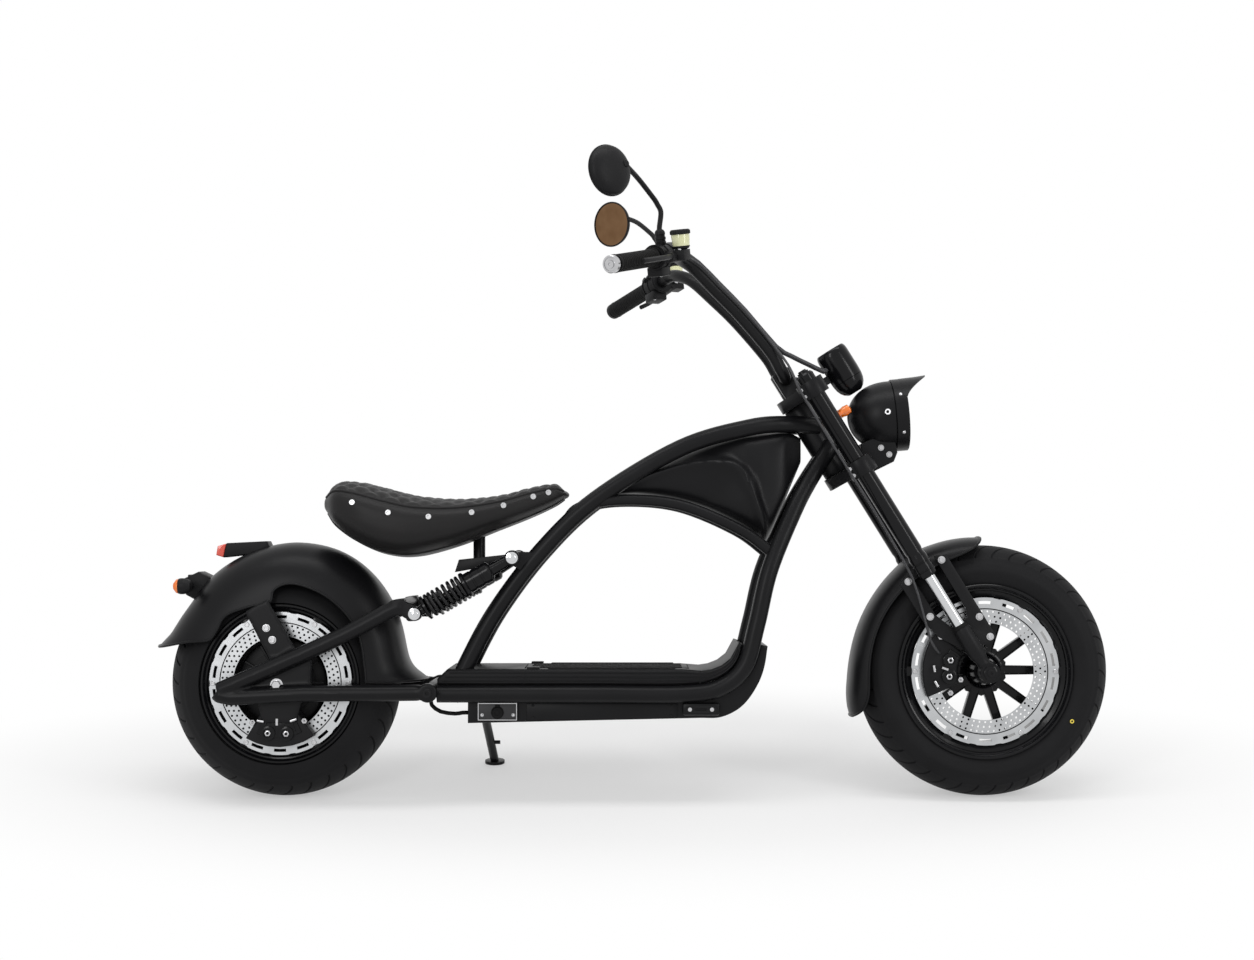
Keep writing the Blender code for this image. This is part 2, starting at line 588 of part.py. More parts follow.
def palette():
    """Returns the materials by name: colour, metallic, roughness."""
    table = {
        "satin_black_paint": ((0.012, 0.012, 0.013), 0.1, 0.38),
        "gloss_black_paint": ((0.008, 0.008, 0.009), 0.1, 0.18),
        "tyre_rubber": ((0.016, 0.016, 0.017), 0.0, 0.75),
        "brushed_disc_steel": ((0.72, 0.73, 0.74), 1.0, 0.28),
        "stanchion_chrome": ((0.82, 0.83, 0.84), 1.0, 0.08),
        "cast_black_alloy": ((0.02, 0.02, 0.022), 0.6, 0.42),
        "spring_black": ((0.01, 0.01, 0.011), 0.3, 0.3),
        "black_leather": ((0.018, 0.018, 0.02), 0.0, 0.5),
        "black_rubber": ((0.014, 0.014, 0.014), 0.0, 0.7),
        "black_plastic": ((0.02, 0.02, 0.021), 0.0, 0.45),
        "bright_steel": ((0.75, 0.75, 0.76), 1.0, 0.2),
        "fluid_reservoir": ((0.85, 0.83, 0.62), 0.0, 0.3),
        "red_lens": ((0.6, 0.03, 0.02), 0.0, 0.15),
        "amber_lens": ((0.9, 0.25, 0.02), 0.0, 0.15),
        "clear_lens": ((0.85, 0.88, 0.9), 0.0, 0.05),
        "mirror_glass": ((0.6, 0.58, 0.55), 1.0, 0.03),
    }
    made = {}
    for name, (colour, metallic, roughness) in table.items():
        material = bpy.data.materials.new(name)
        material.use_nodes = True
        shader = material.node_tree.nodes["Principled BSDF"]
        shader.inputs["Base Color"].default_value = (*colour, 1.0)
        shader.inputs["Metallic"].default_value = metallic
        shader.inputs["Roughness"].default_value = roughness
        made[name] = material
    return made


def empty(name, parent, location=(0.0, 0.0, 0.0), turn=(0.0, 0.0, 0.0)):
    """Adds an empty that carries a body of the scooter."""
    carrier = bpy.data.objects.new(name, None)
    carrier.parent = parent
    carrier.location = location
    carrier.rotation_euler = turn
    bpy.context.collection.objects.link(carrier)
    return carrier


def piece(name, shape, material, parent, crease=35.0):
    """Turns a bmesh into a named object with its material, shaded smooth up to the crease angle."""
    mesh = bpy.data.meshes.new(name)
    bmesh.ops.recalc_face_normals(shape, faces=shape.faces)
    shape.to_mesh(mesh)
    shape.free()
    mesh.shade_smooth()
    mesh.set_sharp_from_angle(angle=math.radians(crease))
    mesh.materials.append(material)
    made = bpy.data.objects.new(name, mesh)
    made.parent = parent
    bpy.context.collection.objects.link(made)
    return made


def boolean(target, other, operation):
    """Joins or cuts target with other, which is kept as a guide only."""
    modifier = target.modifiers.new(f"{operation} {other.name}", "BOOLEAN")
    modifier.operation = operation
    modifier.solver = "EXACT"
    modifier.object = other
    other.hide_render = True
    other.display_type = "WIRE"


def weld(target, shapes):
    """Unites each (label, bmesh) with the target object."""
    for label, shape in shapes:
        guide = piece(f"{target.name}_{label}_guide", shape, target.data.materials[0], target.parent)
        boolean(target, guide, "UNION")
    return target


def carve(target, shapes):
    """Cuts each (label, bmesh) out of the target object."""
    for label, shape in shapes:
        cutter = piece(f"{target.name}_{label}_cutter", shape, target.data.materials[0], target.parent)
        boolean(target, cutter, "DIFFERENCE")
    return target


def smooth_route(points, steps=2):
    """Returns the points of a Catmull-Rom curve through the route, with steps spans to each stretch."""
    knots = [Vector(point) for point in points]
    ends = [2 * knots[0] - knots[1], *knots, 2 * knots[-1] - knots[-2]]
    path = []
    for before, start, end, after in zip(ends, ends[1:], ends[2:], ends[3:]):
        for step in range(steps):
            t = step / steps
            bend = 2 * start + (end - before) * t
            bend += (2 * before - 5 * start + 4 * end - after) * t**2
            bend += (3 * start - before - 3 * end + after) * t**3
            path.append(0.5 * bend)
    return [*path, knots[-1]]


def tube(points, radius, resolution=2):
    """Returns a bmesh of a round tube along the points, with filled ends."""
    curve = bpy.data.curves.new("tube", "CURVE")
    curve.dimensions = "3D"
    curve.bevel_depth = radius
    curve.bevel_resolution = resolution
    curve.use_fill_caps = True
    spline = curve.splines.new("POLY")
    spline.points.add(len(points) - 1)
    for target, point in zip(spline.points, points):
        target.co = (*point, 1.0)
    holder = bpy.data.objects.new("tube", curve)
    mesh = bpy.data.meshes.new_from_object(holder)
    shape = bmesh.new()
    shape.from_mesh(mesh)
    bmesh.ops.remove_doubles(shape, verts=shape.verts, dist=WELD_DISTANCE)
    bpy.data.objects.remove(holder)
    bpy.data.curves.remove(curve)
    bpy.data.meshes.remove(mesh)
    return shape


def rod(start, end, radius, sides):
    """Returns a bmesh of a round bar from start to end."""
    start, end = Vector(start), Vector(end)
    span = end - start
    turn = span.to_track_quat("Z", "Y").to_matrix().to_4x4()
    shape = bmesh.new()
    bmesh.ops.create_cone(
        shape,
        cap_ends=True,
        segments=sides,
        radius1=radius,
        radius2=radius,
        depth=span.length,
        matrix=Matrix.Translation((start + end) / 2) @ turn,
    )
    return shape


def block(low, high, bevel=0.0):
    """Returns a bmesh of a box between two corners, with its edges bevelled."""
    low, high = Vector(low), Vector(high)
    middle = (low + high) / 2
    shape = bmesh.new()
    size = Matrix.Diagonal((*(high - low), 1.0))
    bmesh.ops.create_cube(shape, size=1.0, matrix=Matrix.Translation(middle) @ size)
    if bevel:
        bmesh.ops.bevel(shape, geom=shape.edges[:], offset=bevel, segments=1, affect="EDGES", profile=0.5)
    return shape


def lathe_axes(axis):
    """Returns the directions along and away from a lathe axis."""
    along = {"X": Vector((1, 0, 0)), "Y": Vector((0, 1, 0)), "Z": Vector((0, 0, 1))}[axis]
    out = {"X": Vector((0, 0, 1)), "Y": Vector((0, 0, -1)), "Z": Vector((1, 0, 0))}[axis]
    return along, out


def turned(profile, steps=RING_STEPS, axis="Y"):
    """Returns a bmesh spun round an axis from a closed profile of (along, radius) points.

    The profile starts half a step off the vertical, so that a flat facet faces the floor.
    """
    along, out = lathe_axes(axis)
    half_step = Matrix.Rotation(math.pi / steps, 3, along)
    shape = bmesh.new()
    section = [shape.verts.new(half_step @ (along * offset + out * radius)) for offset, radius in profile]
    edges = [shape.edges.new(pair) for pair in zip(section, section[1:] + section[:1])]
    return spun(shape, section + edges, along, steps)


def turned_open(profile, steps, axis):
    """Spins an open profile whose first and last points lie on the axis."""
    along, out = lathe_axes(axis)
    shape = bmesh.new()
    section = [shape.verts.new(along * offset + out * radius) for offset, radius in profile]
    edges = [shape.edges.new(pair) for pair in zip(section, section[1:])]
    return spun(shape, section + edges, along, steps)


def spun(shape, section, along, steps):
    """Spins a section round an axis through the origin and closes its seam."""
    bmesh.ops.spin(
        shape, geom=section, cent=(0, 0, 0), axis=along, angle=2 * math.pi, steps=steps, use_merge=True
    )
    bmesh.ops.remove_doubles(shape, verts=shape.verts, dist=WELD_DISTANCE)
    bmesh.ops.recalc_face_normals(shape, faces=shape.faces)
    return shape


def slab(outline, low, high, bevel=0.0):
    """Returns a bmesh of an (x, z) outline extruded from y = low to y = high."""
    shape = bmesh.new()
    face = shape.faces.new([shape.verts.new((x, low, z)) for x, z in outline])
    sides = bmesh.ops.extrude_face_region(shape, geom=[face])
    lifted = [item for item in sides["geom"] if isinstance(item, bmesh.types.BMVert)]
    bmesh.ops.translate(shape, verts=lifted, vec=(0, high - low, 0))
    bmesh.ops.recalc_face_normals(shape, faces=shape.faces)
    if bevel:
        rim = [edge for edge in shape.edges if abs(edge.verts[0].co.y - edge.verts[1].co.y) < WELD_DISTANCE]
        bmesh.ops.bevel(shape, geom=rim, offset=bevel, segments=1, affect="EDGES", profile=0.5)
    return shape


def loft(rings):
    """Returns a bmesh through a list of rings, each a list of as many points, capped at both ends."""
    shape = bmesh.new()
    rows = [[shape.verts.new(point) for point in ring] for ring in rings]
    for row, following in zip(rows, rows[1:]):
        for index in range(len(row)):
            after = (index + 1) % len(row)
            shape.faces.new((row[index], row[after], following[after], following[index]))
    shape.faces.new(rows[0][::-1])
    shape.faces.new(rows[-1])
    bmesh.ops.recalc_face_normals(shape, faces=shape.faces)
    return shape


def moved(shape, matrix):
    """Moves a bmesh by a matrix and returns it."""
    bmesh.ops.transform(shape, matrix=matrix, verts=shape.verts)
    return shape


def joined(shapes):
    """Returns one bmesh that holds several solids which don't touch."""
    whole = bmesh.new()
    for shape in shapes:
        mesh = bpy.data.meshes.new("part")
        shape.to_mesh(mesh)
        whole.from_mesh(mesh)
        bpy.data.meshes.remove(mesh)
        shape.free()
    return whole


def both_sides():
    """Returns the label and the sign of Y of each side of the scooter."""
    return (("left", 1), ("right", -1))


def around(outline, spot):
    """Returns an (x, z) outline moved so that its origin lies on a spot."""
    return [(spot.x + x, spot.y + z) for x, z in outline]


def superellipse(count, half_width, half_height, squareness):
    """Returns (y, z) points round a rounded rectangle centred on the origin."""
    points = []
    for index in range(count):
        angle = 2 * math.pi * (index + 0.5) / count
        c, s = math.cos(angle), math.sin(angle)
        y = math.copysign(abs(c) ** (2 / squareness), c) * half_width
        z = math.copysign(abs(s) ** (2 / squareness), s) * half_height
        points.append((y, z))
    return points


def lofted(stations, sides, squareness, grown=0.0):
    """Returns a bmesh through rounded stations, made taller by grown above and below."""
    rings = []
    for station in stations:
        centre = (station.low + station.high) / 2
        half_height = (station.high - station.low) / 2 + grown
        section = superellipse(sides, station.half_width, half_height, squareness)
        rings.append([(station.x, y, centre + z) for y, z in section])
    return loft(rings)


def axle_height(radius, crown):
    """Height of an axle in the bike frame at which the leaned tyre's lowest facet meets the floor."""
    half_facet = math.cos(math.pi / RING_STEPS)
    ring = (radius - crown + crown * math.cos(CROWN_STEP)) * half_facet
    drop = ring * math.cos(PARKING_LEAN) + crown * math.sin(CROWN_STEP) * math.sin(PARKING_LEAN)
    return drop / math.cos(PARKING_LEAN)


FRONT_AXLE_Z = axle_height(FRONT_TYRE_RADIUS, FRONT_CROWN_RADIUS)
REAR_AXLE_Z = axle_height(REAR_TYRE_RADIUS, REAR_CROWN_RADIUS)
REAR_AXLE = Vector((REAR_AXLE_X, REAR_AXLE_Z))
STEERING_X = FRONT_AXLE_X - FORK_OFFSET * math.cos(RAKE)
STEERING_Z = FRONT_AXLE_Z - FORK_OFFSET * math.sin(RAKE)


def from_steering(points):
    """Returns route points drawn round the fork frame's origin in the bike frame."""
    return [(STEERING_X + x, y, STEERING_Z + z) for x, y, z in points]


def sided(route, side):
    """Returns the smooth curve of a route of (x, half width, z) on one side of the scooter."""
    return smooth_route([(x, side * y, z) for x, y, z in route])


def main_tube(side, extra=0.0):
    """Returns a main loop's tube, made thicker by extra."""
    return tube(sided(from_steering(MAIN_TUBE_HEAD) + MAIN_TUBE_REST, side), FRAME_TUBE_RADIUS + extra)


def arch_tube(side, extra=0.0):
    """Returns an arch's tube, made thicker by extra."""
    return tube(sided(ARCH_TUBE_ROUTE, side), ARCH_TUBE_RADIUS + extra)


def rail_tube(side, extra=0.0):
    """Returns a lower rail's tube, made thicker by extra."""
    return tube(sided(RAIL_REST + from_steering(RAIL_HEAD), side), FRAME_TUBE_RADIUS + extra)


def tyre_profile(radius, crown, bead_half_width, seat_radius):
    """Returns the closed section of a tyre: rounded tread, sidewalls and bead seats."""
    centre = radius - crown
    flange = seat_radius + RIM_FLANGE_HEIGHT
    tread = []
    for step in range(-CROWN_STEPS_EACH_SIDE, CROWN_STEPS_EACH_SIDE + 1):
        angle = step * CROWN_STEP
        point = (crown * math.sin(angle), centre + crown * math.cos(angle))
        if point[1] > flange + 2 * BEAD_LIFT:
            tread.append(point)
    return [
        *tread,
        (bead_half_width, flange + BEAD_LIFT),
        (bead_half_width, seat_radius + SEAT_GAP),
        (-bead_half_width, seat_radius + SEAT_GAP),
        (-bead_half_width, flange + BEAD_LIFT),
    ]


def rim_profile(bead_half_width, seat_radius):
    """Returns the closed section of a rim: bead seats, flanges and a plain inner barrel."""
    inner = seat_radius - RIM_WALL
    near = bead_half_width + SEAT_GAP
    far = near + RIM_FLANGE_WIDTH
    top = seat_radius + RIM_FLANGE_HEIGHT
    lip = top - RIM_LIP_DEPTH
    return [
        (-far, top), (-near, top), (-near, seat_radius), (near, seat_radius), (near, top), (far, top),
        (far, lip), (near, inner), (-near, inner), (-far, lip),
    ]


def lugs(brake, rim_inner):
    """Returns the lugs inside a rim that the brake disc is bolted to."""
    face = brake.y + DISC_THICKNESS / 2 + SEAT_GAP
    low = (-LUG_WIDTH / 2, face, brake.radius - LUG_OVERLAP)
    high = (LUG_WIDTH / 2, face + LUG_THICKNESS, rim_inner + WELD_SINK)
    shapes = []
    for index in range(DISC_LUGS):
        turn = Matrix.Rotation(2 * math.pi * (index + 0.5) / DISC_LUGS, 4, "Y")
        shapes.append(moved(block(low, high), turn))
    return joined(shapes)


def ring_sector(angles, near, far):
    """Returns the (x, z) outline between two radii over a run of angles."""
    outer = [(math.cos(angle) * far, math.sin(angle) * far) for angle in angles]
    inner = [(math.cos(angle) * near, math.sin(angle) * near) for angle in reversed(angles)]
    return outer + inner


def disc(name, material, parent, brake):
    """A floating brake disc: a ring with a row of curved slots between its two bands."""
    low, high = brake.y - DISC_THICKNESS / 2, brake.y + DISC_THICKNESS / 2
    section = [(low, brake.radius), (high, brake.radius), (high, brake.bore), (low, brake.bore)]
    ring = piece(name, turned(section), material, parent)
    middle = brake.bore + DISC_SLOT_PLACE * (brake.radius - brake.bore)
    pitch = 2 * math.pi / DISC_SLOTS
    shapes = []
    for index in range(DISC_SLOTS):
        start = math.pi / 2 - index * pitch
        angles = [start, start - pitch * DISC_SLOT_SHARE / 2, start - pitch * DISC_SLOT_SHARE]
        outline = ring_sector(angles, middle - DISC_SLOT_HALF_HEIGHT, middle + DISC_SLOT_HALF_HEIGHT)
        shapes.append(slab(outline, low - DISC_THICKNESS / 2, high + DISC_THICKNESS / 2))
    return carve(ring, [("slots", joined(shapes))])


def caliper(name, material, parent, brake):
    """A brake caliper that grips the disc from inside."""
    gap_low = brake.y - DISC_THICKNESS / 2 - DISC_RUN
    gap_high = brake.y + DISC_THICKNESS / 2 + DISC_RUN
    tip = brake.bore + DISC_SLOT_PLACE * (brake.radius - brake.bore)
    angles = fan(brake.caliper_angle, brake.caliper_span)
    outline = ring_sector(angles, brake.bore - CALIPER_DEPTH, tip)
    body = slab(outline, gap_low - brake.caliper_outer, gap_high + CALIPER_INNER, bevel=CALIPER_BEVEL)
    made = piece(name, body, material, parent)
    floor = (brake.bore - DISC_RUN) * math.cos(math.radians(brake.caliper_span / CALIPER_STEPS))
    wide = fan(brake.caliper_angle, brake.caliper_span * CALIPER_GAP_SHARE)
    slot = slab(ring_sector(wide, floor, tip + DISC_CUT_MARGIN), gap_low, gap_high)
    return carve(made, [("disc_gap", slot)])


def fan(middle, span):
    """Returns evenly spread angles in radians over a span in degrees about a middle."""
    start = middle - span / 2
    return [math.radians(start + span * step / CALIPER_STEPS) for step in range(CALIPER_STEPS + 1)]


def front_wheel(parent, paints):
    """Tyre, ten-spoke wheel and brake disc on the front wheel's axis."""
    section = tyre_profile(FRONT_TYRE_RADIUS, FRONT_CROWN_RADIUS, FRONT_BEAD_HALF_WIDTH, FRONT_SEAT_RADIUS)
    piece("front_tyre", turned(section), paints["tyre_rubber"], parent)
    rim = turned(rim_profile(FRONT_BEAD_HALF_WIDTH, FRONT_SEAT_RADIUS))
    web = SPOKE_DEPTH / 2 - WELD_SINK
    right = [
        (web, SPOKE_WEB_RADIUS), (web, FRONT_HUB_RADIUS), (FRONT_HUB_HALF_WIDTH, FRONT_HUB_END_RADIUS),
        (FRONT_HUB_HALF_WIDTH, AXLE_BORE),
    ]
    left = [(-along, radius) for along, radius in reversed(right)]
    hub = turned(right + left, steps=FRONT_HUB_SIDES)
    wheel = piece("front_wheel", joined([rim, hub]), paints["cast_black_alloy"], parent)
    rim_inner = FRONT_SEAT_RADIUS - RIM_WALL
    foot, tip = SPOKE_WEB_RADIUS - SPOKE_FOOT_SINK, rim_inner + WELD_SINK
    half = SPOKE_WIDTH / 2
    outline = [(-half, foot), (half, foot), (half * SPOKE_TAPER, tip), (-half * SPOKE_TAPER, tip)]
    spokes = []
    for index in range(SPOKE_COUNT):
        turn = Matrix.Rotation(2 * math.pi * (index + 0.5) / SPOKE_COUNT, 4, "Y")
        spokes.append(moved(slab(outline, -SPOKE_DEPTH / 2, SPOKE_DEPTH / 2), turn))
    weld(wheel, [("spokes", joined(spokes)), ("lugs", lugs(FRONT_BRAKE, rim_inner))])
    disc("front_disc", paints["brushed_disc_steel"], parent, FRONT_BRAKE)


def rear_wheel(parent, paints):
    """Tyre, rim with the hub motor's drum, and brake disc on the rear wheel's axis."""
    section = tyre_profile(REAR_TYRE_RADIUS, REAR_CROWN_RADIUS, REAR_BEAD_HALF_WIDTH, REAR_SEAT_RADIUS)
    piece("rear_tyre", turned(section), paints["tyre_rubber"], parent)
    inner = REAR_SEAT_RADIUS - RIM_WALL
    foot = MOTOR_RADIUS - REAR_WEB_SINK
    rim = rim_profile(REAR_BEAD_HALF_WIDTH, REAR_SEAT_RADIUS)
    outside, barrel = rim[:7], rim[7:]
    web = [
        (REAR_WEB_HALF_WIDTH, inner), (REAR_WEB_HALF_WIDTH, foot), (-REAR_WEB_HALF_WIDTH, foot),
        (-REAR_WEB_HALF_WIDTH, inner),
    ]
    ring = turned([*outside, barrel[0], *web, *barrel[1:]])
    wheel = piece("rear_wheel", ring, paints["cast_black_alloy"], parent)
    right = [
        (MOTOR_HALF_WIDTH - MOTOR_CHAMFER * 0.75, MOTOR_RADIUS),
        (MOTOR_HALF_WIDTH, MOTOR_RADIUS - MOTOR_CHAMFER),
        (MOTOR_HALF_WIDTH + MOTOR_CHAMFER, REAR_HUB_RADIUS), (REAR_HUB_HALF_WIDTH, REAR_HUB_END_RADIUS),
        (REAR_HUB_HALF_WIDTH, AXLE_BORE),
    ]
    left = [(-along, radius) for along, radius in reversed(right)]
    weld(wheel, [("drum", turned(right + left, steps=MOTOR_SIDES)), ("lugs", lugs(REAR_BRAKE, inner))])
    disc("rear_disc", paints["brushed_disc_steel"], parent, REAR_BRAKE)


def steering_place():
    """Returns the fork frame's placement in the bike frame."""
    return Matrix.Translation((STEERING_X, 0, STEERING_Z)) @ Matrix.Rotation(-RAKE, 4, "Y")


def head_cutter():
    """Returns the round cutter that clears the head tube's place."""
    reach = HEAD_TUBE_RADIUS + SEAT_GAP
    core = STEM_RADIUS / 4
    section = [(LOWER_CLAMP_Z, reach), (UPPER_CLAMP_Z, reach), (UPPER_CLAMP_Z, core), (LOWER_CLAMP_Z, core)]
    return moved(turned(section, STEM_SIDES, "Z"), steering_place())


def frame(parent, paints):
    """The welded tubes: main loops with their arches, lower rails, head tube, pivot and cross tubes."""
    paint = paints["satin_black_paint"]
    for label, side in both_sides():
        main = piece(f"frame_loop_{label}", main_tube(side), paint, parent)
        weld(main, [("arch", arch_tube(side))])
        carve(main, [("head", head_cutter()), ("rail", rail_tube(side, SEAT_GAP))])
        rail = piece(f"lower_rail_{label}", rail_tube(side), paint, parent)
        carve(rail, [("head", head_cutter())])
    low = LOWER_CLAMP_Z + CLAMP_WEB_HALF_HEIGHT + HEAD_BEARING_GAP
    high = UPPER_CLAMP_Z - CLAMP_WEB_HALF_HEIGHT - HEAD_BEARING_GAP
    inner = STEM_RADIUS + STEERING_RUN
    section = [(low, HEAD_TUBE_RADIUS), (high, HEAD_TUBE_RADIUS), (high, inner), (low, inner)]
    piece("head_tube", moved(turned(section, STEM_SIDES, "Z"), steering_place()), paint, parent)
    half = RAIL_HALF_WIDTH + FRAME_TUBE_RADIUS
    pivot = rod((PIVOT_X, -half, PIVOT_Z), (PIVOT_X, half, PIVOT_Z), PIVOT_RADIUS, PIVOT_SIDES)
    piece("pivot_tube", pivot, paint, parent)


def rail_side_curve():
    """Returns the lower rail's (x, z) curve up to the end of the deck."""
    path = smooth_route([(x, 0.0, z) for x, y, z in RAIL_REST + from_steering(RAIL_HEAD)])
    return [(point.x, point.z) for point in path if point.z < DECK_END_Z]


def offset_curve(path, distances):
    """Returns an (x, z) curve moved sideways, up and to the rear, by a distance at each point."""
    points = []
    for index, ((x, z), reach) in enumerate(zip(path, distances)):
        before, after = path[max(index - 1, 0)], path[min(index + 1, len(path) - 1)]
        run = Vector((after[0] - before[0], after[1] - before[1])).normalized()
        points.append((x - run.y * reach, z + run.x * reach))
    return points


def deck(parent, paints):
    """Footboard over the rails, with the hinged battery lid let into its flat top."""
    path = rail_side_curve()
    floor = FRAME_TUBE_RADIUS + SEAT_GAP
    last = len(path) - 1
    thick = []
    for index, (x, z) in enumerate(path):
        share = 1.0 if x < DECK_TAPER_X else 1.0 - DECK_TAPER * (index / last) ** 3
        thick.append(floor + DECK_THICKNESS * share)
    top = offset_curve(path, thick)
    bottom = offset_curve(path, [floor] * len(path))
    rear_nose = (bottom[0][0], bottom[0][1] + DECK_NOSE)
    top[0] = (top[0][0] + DECK_REAR_SLOPE, top[0][1])
    outline = bottom + top[::-1] + [rear_nose]
    board = slab(outline, -DECK_HALF_WIDTH, DECK_HALF_WIDTH, bevel=DECK_BEVEL)
    body = piece("deck", board, paints["black_plastic"], parent)
    deck_top = RAIL_STRAIGHT_Z + floor + DECK_THICKNESS
    recess = deck_top - LID_THICKNESS - SEAT_GAP
    seam_y = LID_HALF_WIDTH + LID_SEAM
    above = deck_top + DECK_THICKNESS
    hole = block((LID_REAR_X - LID_SEAM, -seam_y, recess), (LID_FRONT_X + LID_SEAM, seam_y, above))
    carve(body, [("lid", hole)])
    carve(body, [(f"loop_{label}", main_tube(side, SEAT_GAP)) for label, side in both_sides()])
    hinge = Vector((LID_FRONT_X, 0, deck_top))
    carrier = empty("battery_lid_hinge", parent, hinge)
    lid = block((LID_REAR_X - hinge.x, -LID_HALF_WIDTH, -LID_THICKNESS), (0.0, LID_HALF_WIDTH, 0.0))
    piece("battery_lid", lid, paints["black_plastic"], carrier)


def battery(parent, paints):
    """Battery box between the rails, with its charging socket plate, foot peg brackets and cables."""
    body = slab(BATTERY_OUTLINE, -BATTERY_HALF_WIDTH, BATTERY_HALF_WIDTH, bevel=0.005)
    box = piece("battery_box", body, paints["satin_black_paint"], parent)
    side = BATTERY_HALF_WIDTH + SEAT_GAP
    outer = (SOCKET_LOW[0], -side - SOCKET_THICKNESS, SOCKET_LOW[1])
    socket = block(outer, (SOCKET_HIGH[0], -side, SOCKET_HIGH[1]), bevel=SOCKET_BEVEL)
    piece("charge_socket", socket, paints["bright_steel"], parent)
    pegs = []
    for label, sign in both_sides():
        low, high = sorted((sign * (side - PEG_BRACKET_SINK), sign * (side + PEG_BRACKET_REACH)))
        near = (PEG_BRACKET_LOW[0], low, PEG_BRACKET_LOW[1])
        pegs.append(block(near, (PEG_BRACKET_HIGH[0], high, PEG_BRACKET_HIGH[1]), bevel=0.004))
    weld(box, [("peg_brackets", joined(pegs))])
    start = (PIVOT_X, CABLE_Y, PIVOT_Z - PIVOT_RADIUS - SEAT_GAP)
    end = (BATTERY_REAR_X - SEAT_GAP, CABLE_Y, CABLE_ROUTE[-1][1])
    middle = [(x, CABLE_Y, z) for x, z in CABLE_ROUTE]
    route = smooth_route([start, *middle, end])
    piece("battery_cables", tube(route, CABLE_RADIUS, 1), paints["black_rubber"], parent)


def swingarm(parent, paints):
    """Rear triangles, their bridge, the fender brackets and the axle plates."""
    paint = paints["satin_black_paint"]
    plate = REAR_FENDER_HALF_WIDTH + SEAT_GAP
    inside = SHOCK_Y - SHOCK_EYE_WIDTH / 2 - SEAT_GAP
    outside = SHOCK_Y + SHOCK_EYE_WIDTH / 2 + SEAT_GAP
    shock_foot = Vector((SHOCK_FOOT.x, SHOCK_FOOT.z))
    pivot = Vector((PIVOT_X, PIVOT_Z))
    upper = around(UPPER_ARM_REAR, REAR_AXLE) + around(UPPER_ARM_FRONT, shock_foot)
    lower = around(LOWER_ARM_REAR, REAR_AXLE) + around(LOWER_ARM_FRONT, pivot)
    for label, side in both_sides():
        y = side * SWINGARM_HALF_WIDTH
        spine, stay = (
            tube(smooth_route([(x, y, z) for x, z in route]), SWINGARM_TUBE_RADIUS, SWINGARM_TUBE_RESOLUTION)
            for route in (upper, lower)
        )
        arm = piece(f"swingarm_{label}", spine, paint, parent)
        cheek = around(CHEEK_OUTLINE, shock_foot)
        cheeks = joined([
            side_slab(cheek, side, inside - SHOCK_CHEEK, inside),
            side_slab(cheek, side, outside, outside + SHOCK_CHEEK),
        ])
        eye_low = side * (RAIL_HALF_WIDTH + FRAME_TUBE_RADIUS + SEAT_GAP)
        eye_high = side * (SWINGARM_HALF_WIDTH + PIVOT_EYE_OUTER)
        eye = rod((PIVOT_X, eye_low, PIVOT_Z), (PIVOT_X, eye_high, PIVOT_Z), PIVOT_EYE_RADIUS, PIVOT_SIDES)
        axle_face = SWINGARM_HALF_WIDTH - SWINGARM_TUBE_RADIUS
        weld(arm, [
            ("lower", stay),
            ("fender_plate", side_slab(around(FENDER_PLATE_OUTLINE, REAR_AXLE), side, plate,
                                       REAR_FENDER_HALF_WIDTH + FENDER_PLATE_THICKNESS)),
            ("dropout", side_slab(around(DROPOUT_OUTLINE, REAR_AXLE), side, axle_face,
                                  SWINGARM_HALF_WIDTH - DROPOUT_INSET)),
            ("eye", eye),
            ("clevis", side_slab(around(CLEVIS_OUTLINE, shock_foot), side, inside - SHOCK_CHEEK,
                                 outside + SHOCK_CHEEK)),
            ("cheeks", cheeks),
        ])
        if side > 0:
            near = inside - SHOCK_CHEEK
            start, end = (BRIDGE_X, near + WELD_SINK, BRIDGE_Z), (BRIDGE_X, SEAT_GAP - near, BRIDGE_Z)
            weld(arm, [("bridge", rod(start, end, BRIDGE_RADIUS, BRACKET_TUBE_SIDES))])
        else:
            face = REAR_BRAKE.y - DISC_THICKNESS / 2 - DISC_RUN - REAR_BRAKE.caliper_outer
            hanger = slab(around(HANGER_OUTLINE, REAR_AXLE), face - HANGER_THICKNESS, face - SEAT_GAP)
            weld(arm, [("caliper_hanger", hanger)])


def side_slab(outline, side, near, far):
    """Returns an (x, z) outline extruded between two distances from the centre plane on one side."""
    low, high = sorted((side * near, side * far))
    return slab(outline, low, high)


def fender_arch(spot, angle, crown, edge, half_width):
    """Returns one station's arch round an axle, from edge to crown to edge."""
    points = []
    for step in range(FENDER_ARCH_STEPS + 1):
        bend = math.pi * (step / FENDER_ARCH_STEPS - 0.5)
        y = math.copysign(abs(math.sin(bend)) ** (2 / FENDER_SQUARENESS), bend) * half_width
        reach = edge + (crown - edge) * abs(math.cos(bend)) ** (2 / FENDER_SQUARENESS)
        points.append((spot.x + reach * math.cos(angle), y, spot.y + reach * math.sin(angle)))
    return points


def fender(name, stations, tyre_radius, half_width, spot, parent, material):
    """A fender shell lofted round an axle: each station is an arch from edge to crown to edge."""
    shape = bmesh.new()
    rows = []
    for station in sorted(stations):
        crown = tyre_radius + station.crown - FENDER_WALL / 2
        arch = fender_arch(
            spot, math.radians(station.angle), crown, tyre_radius + station.edge, half_width - FENDER_WALL / 2
        )
        rows.append([shape.verts.new(point) for point in arch])
    for row, following in zip(rows, rows[1:]):
        for index in range(FENDER_ARCH_STEPS):
            shape.faces.new((row[index], row[index + 1], following[index + 1], following[index]))
    made = piece(name, shape, material, parent, crease=50.0)
    wall = made.modifiers.new("Wall", "SOLIDIFY")
    wall.thickness = FENDER_WALL
    wall.offset = 0.0
    wall.use_rim = True
    return made


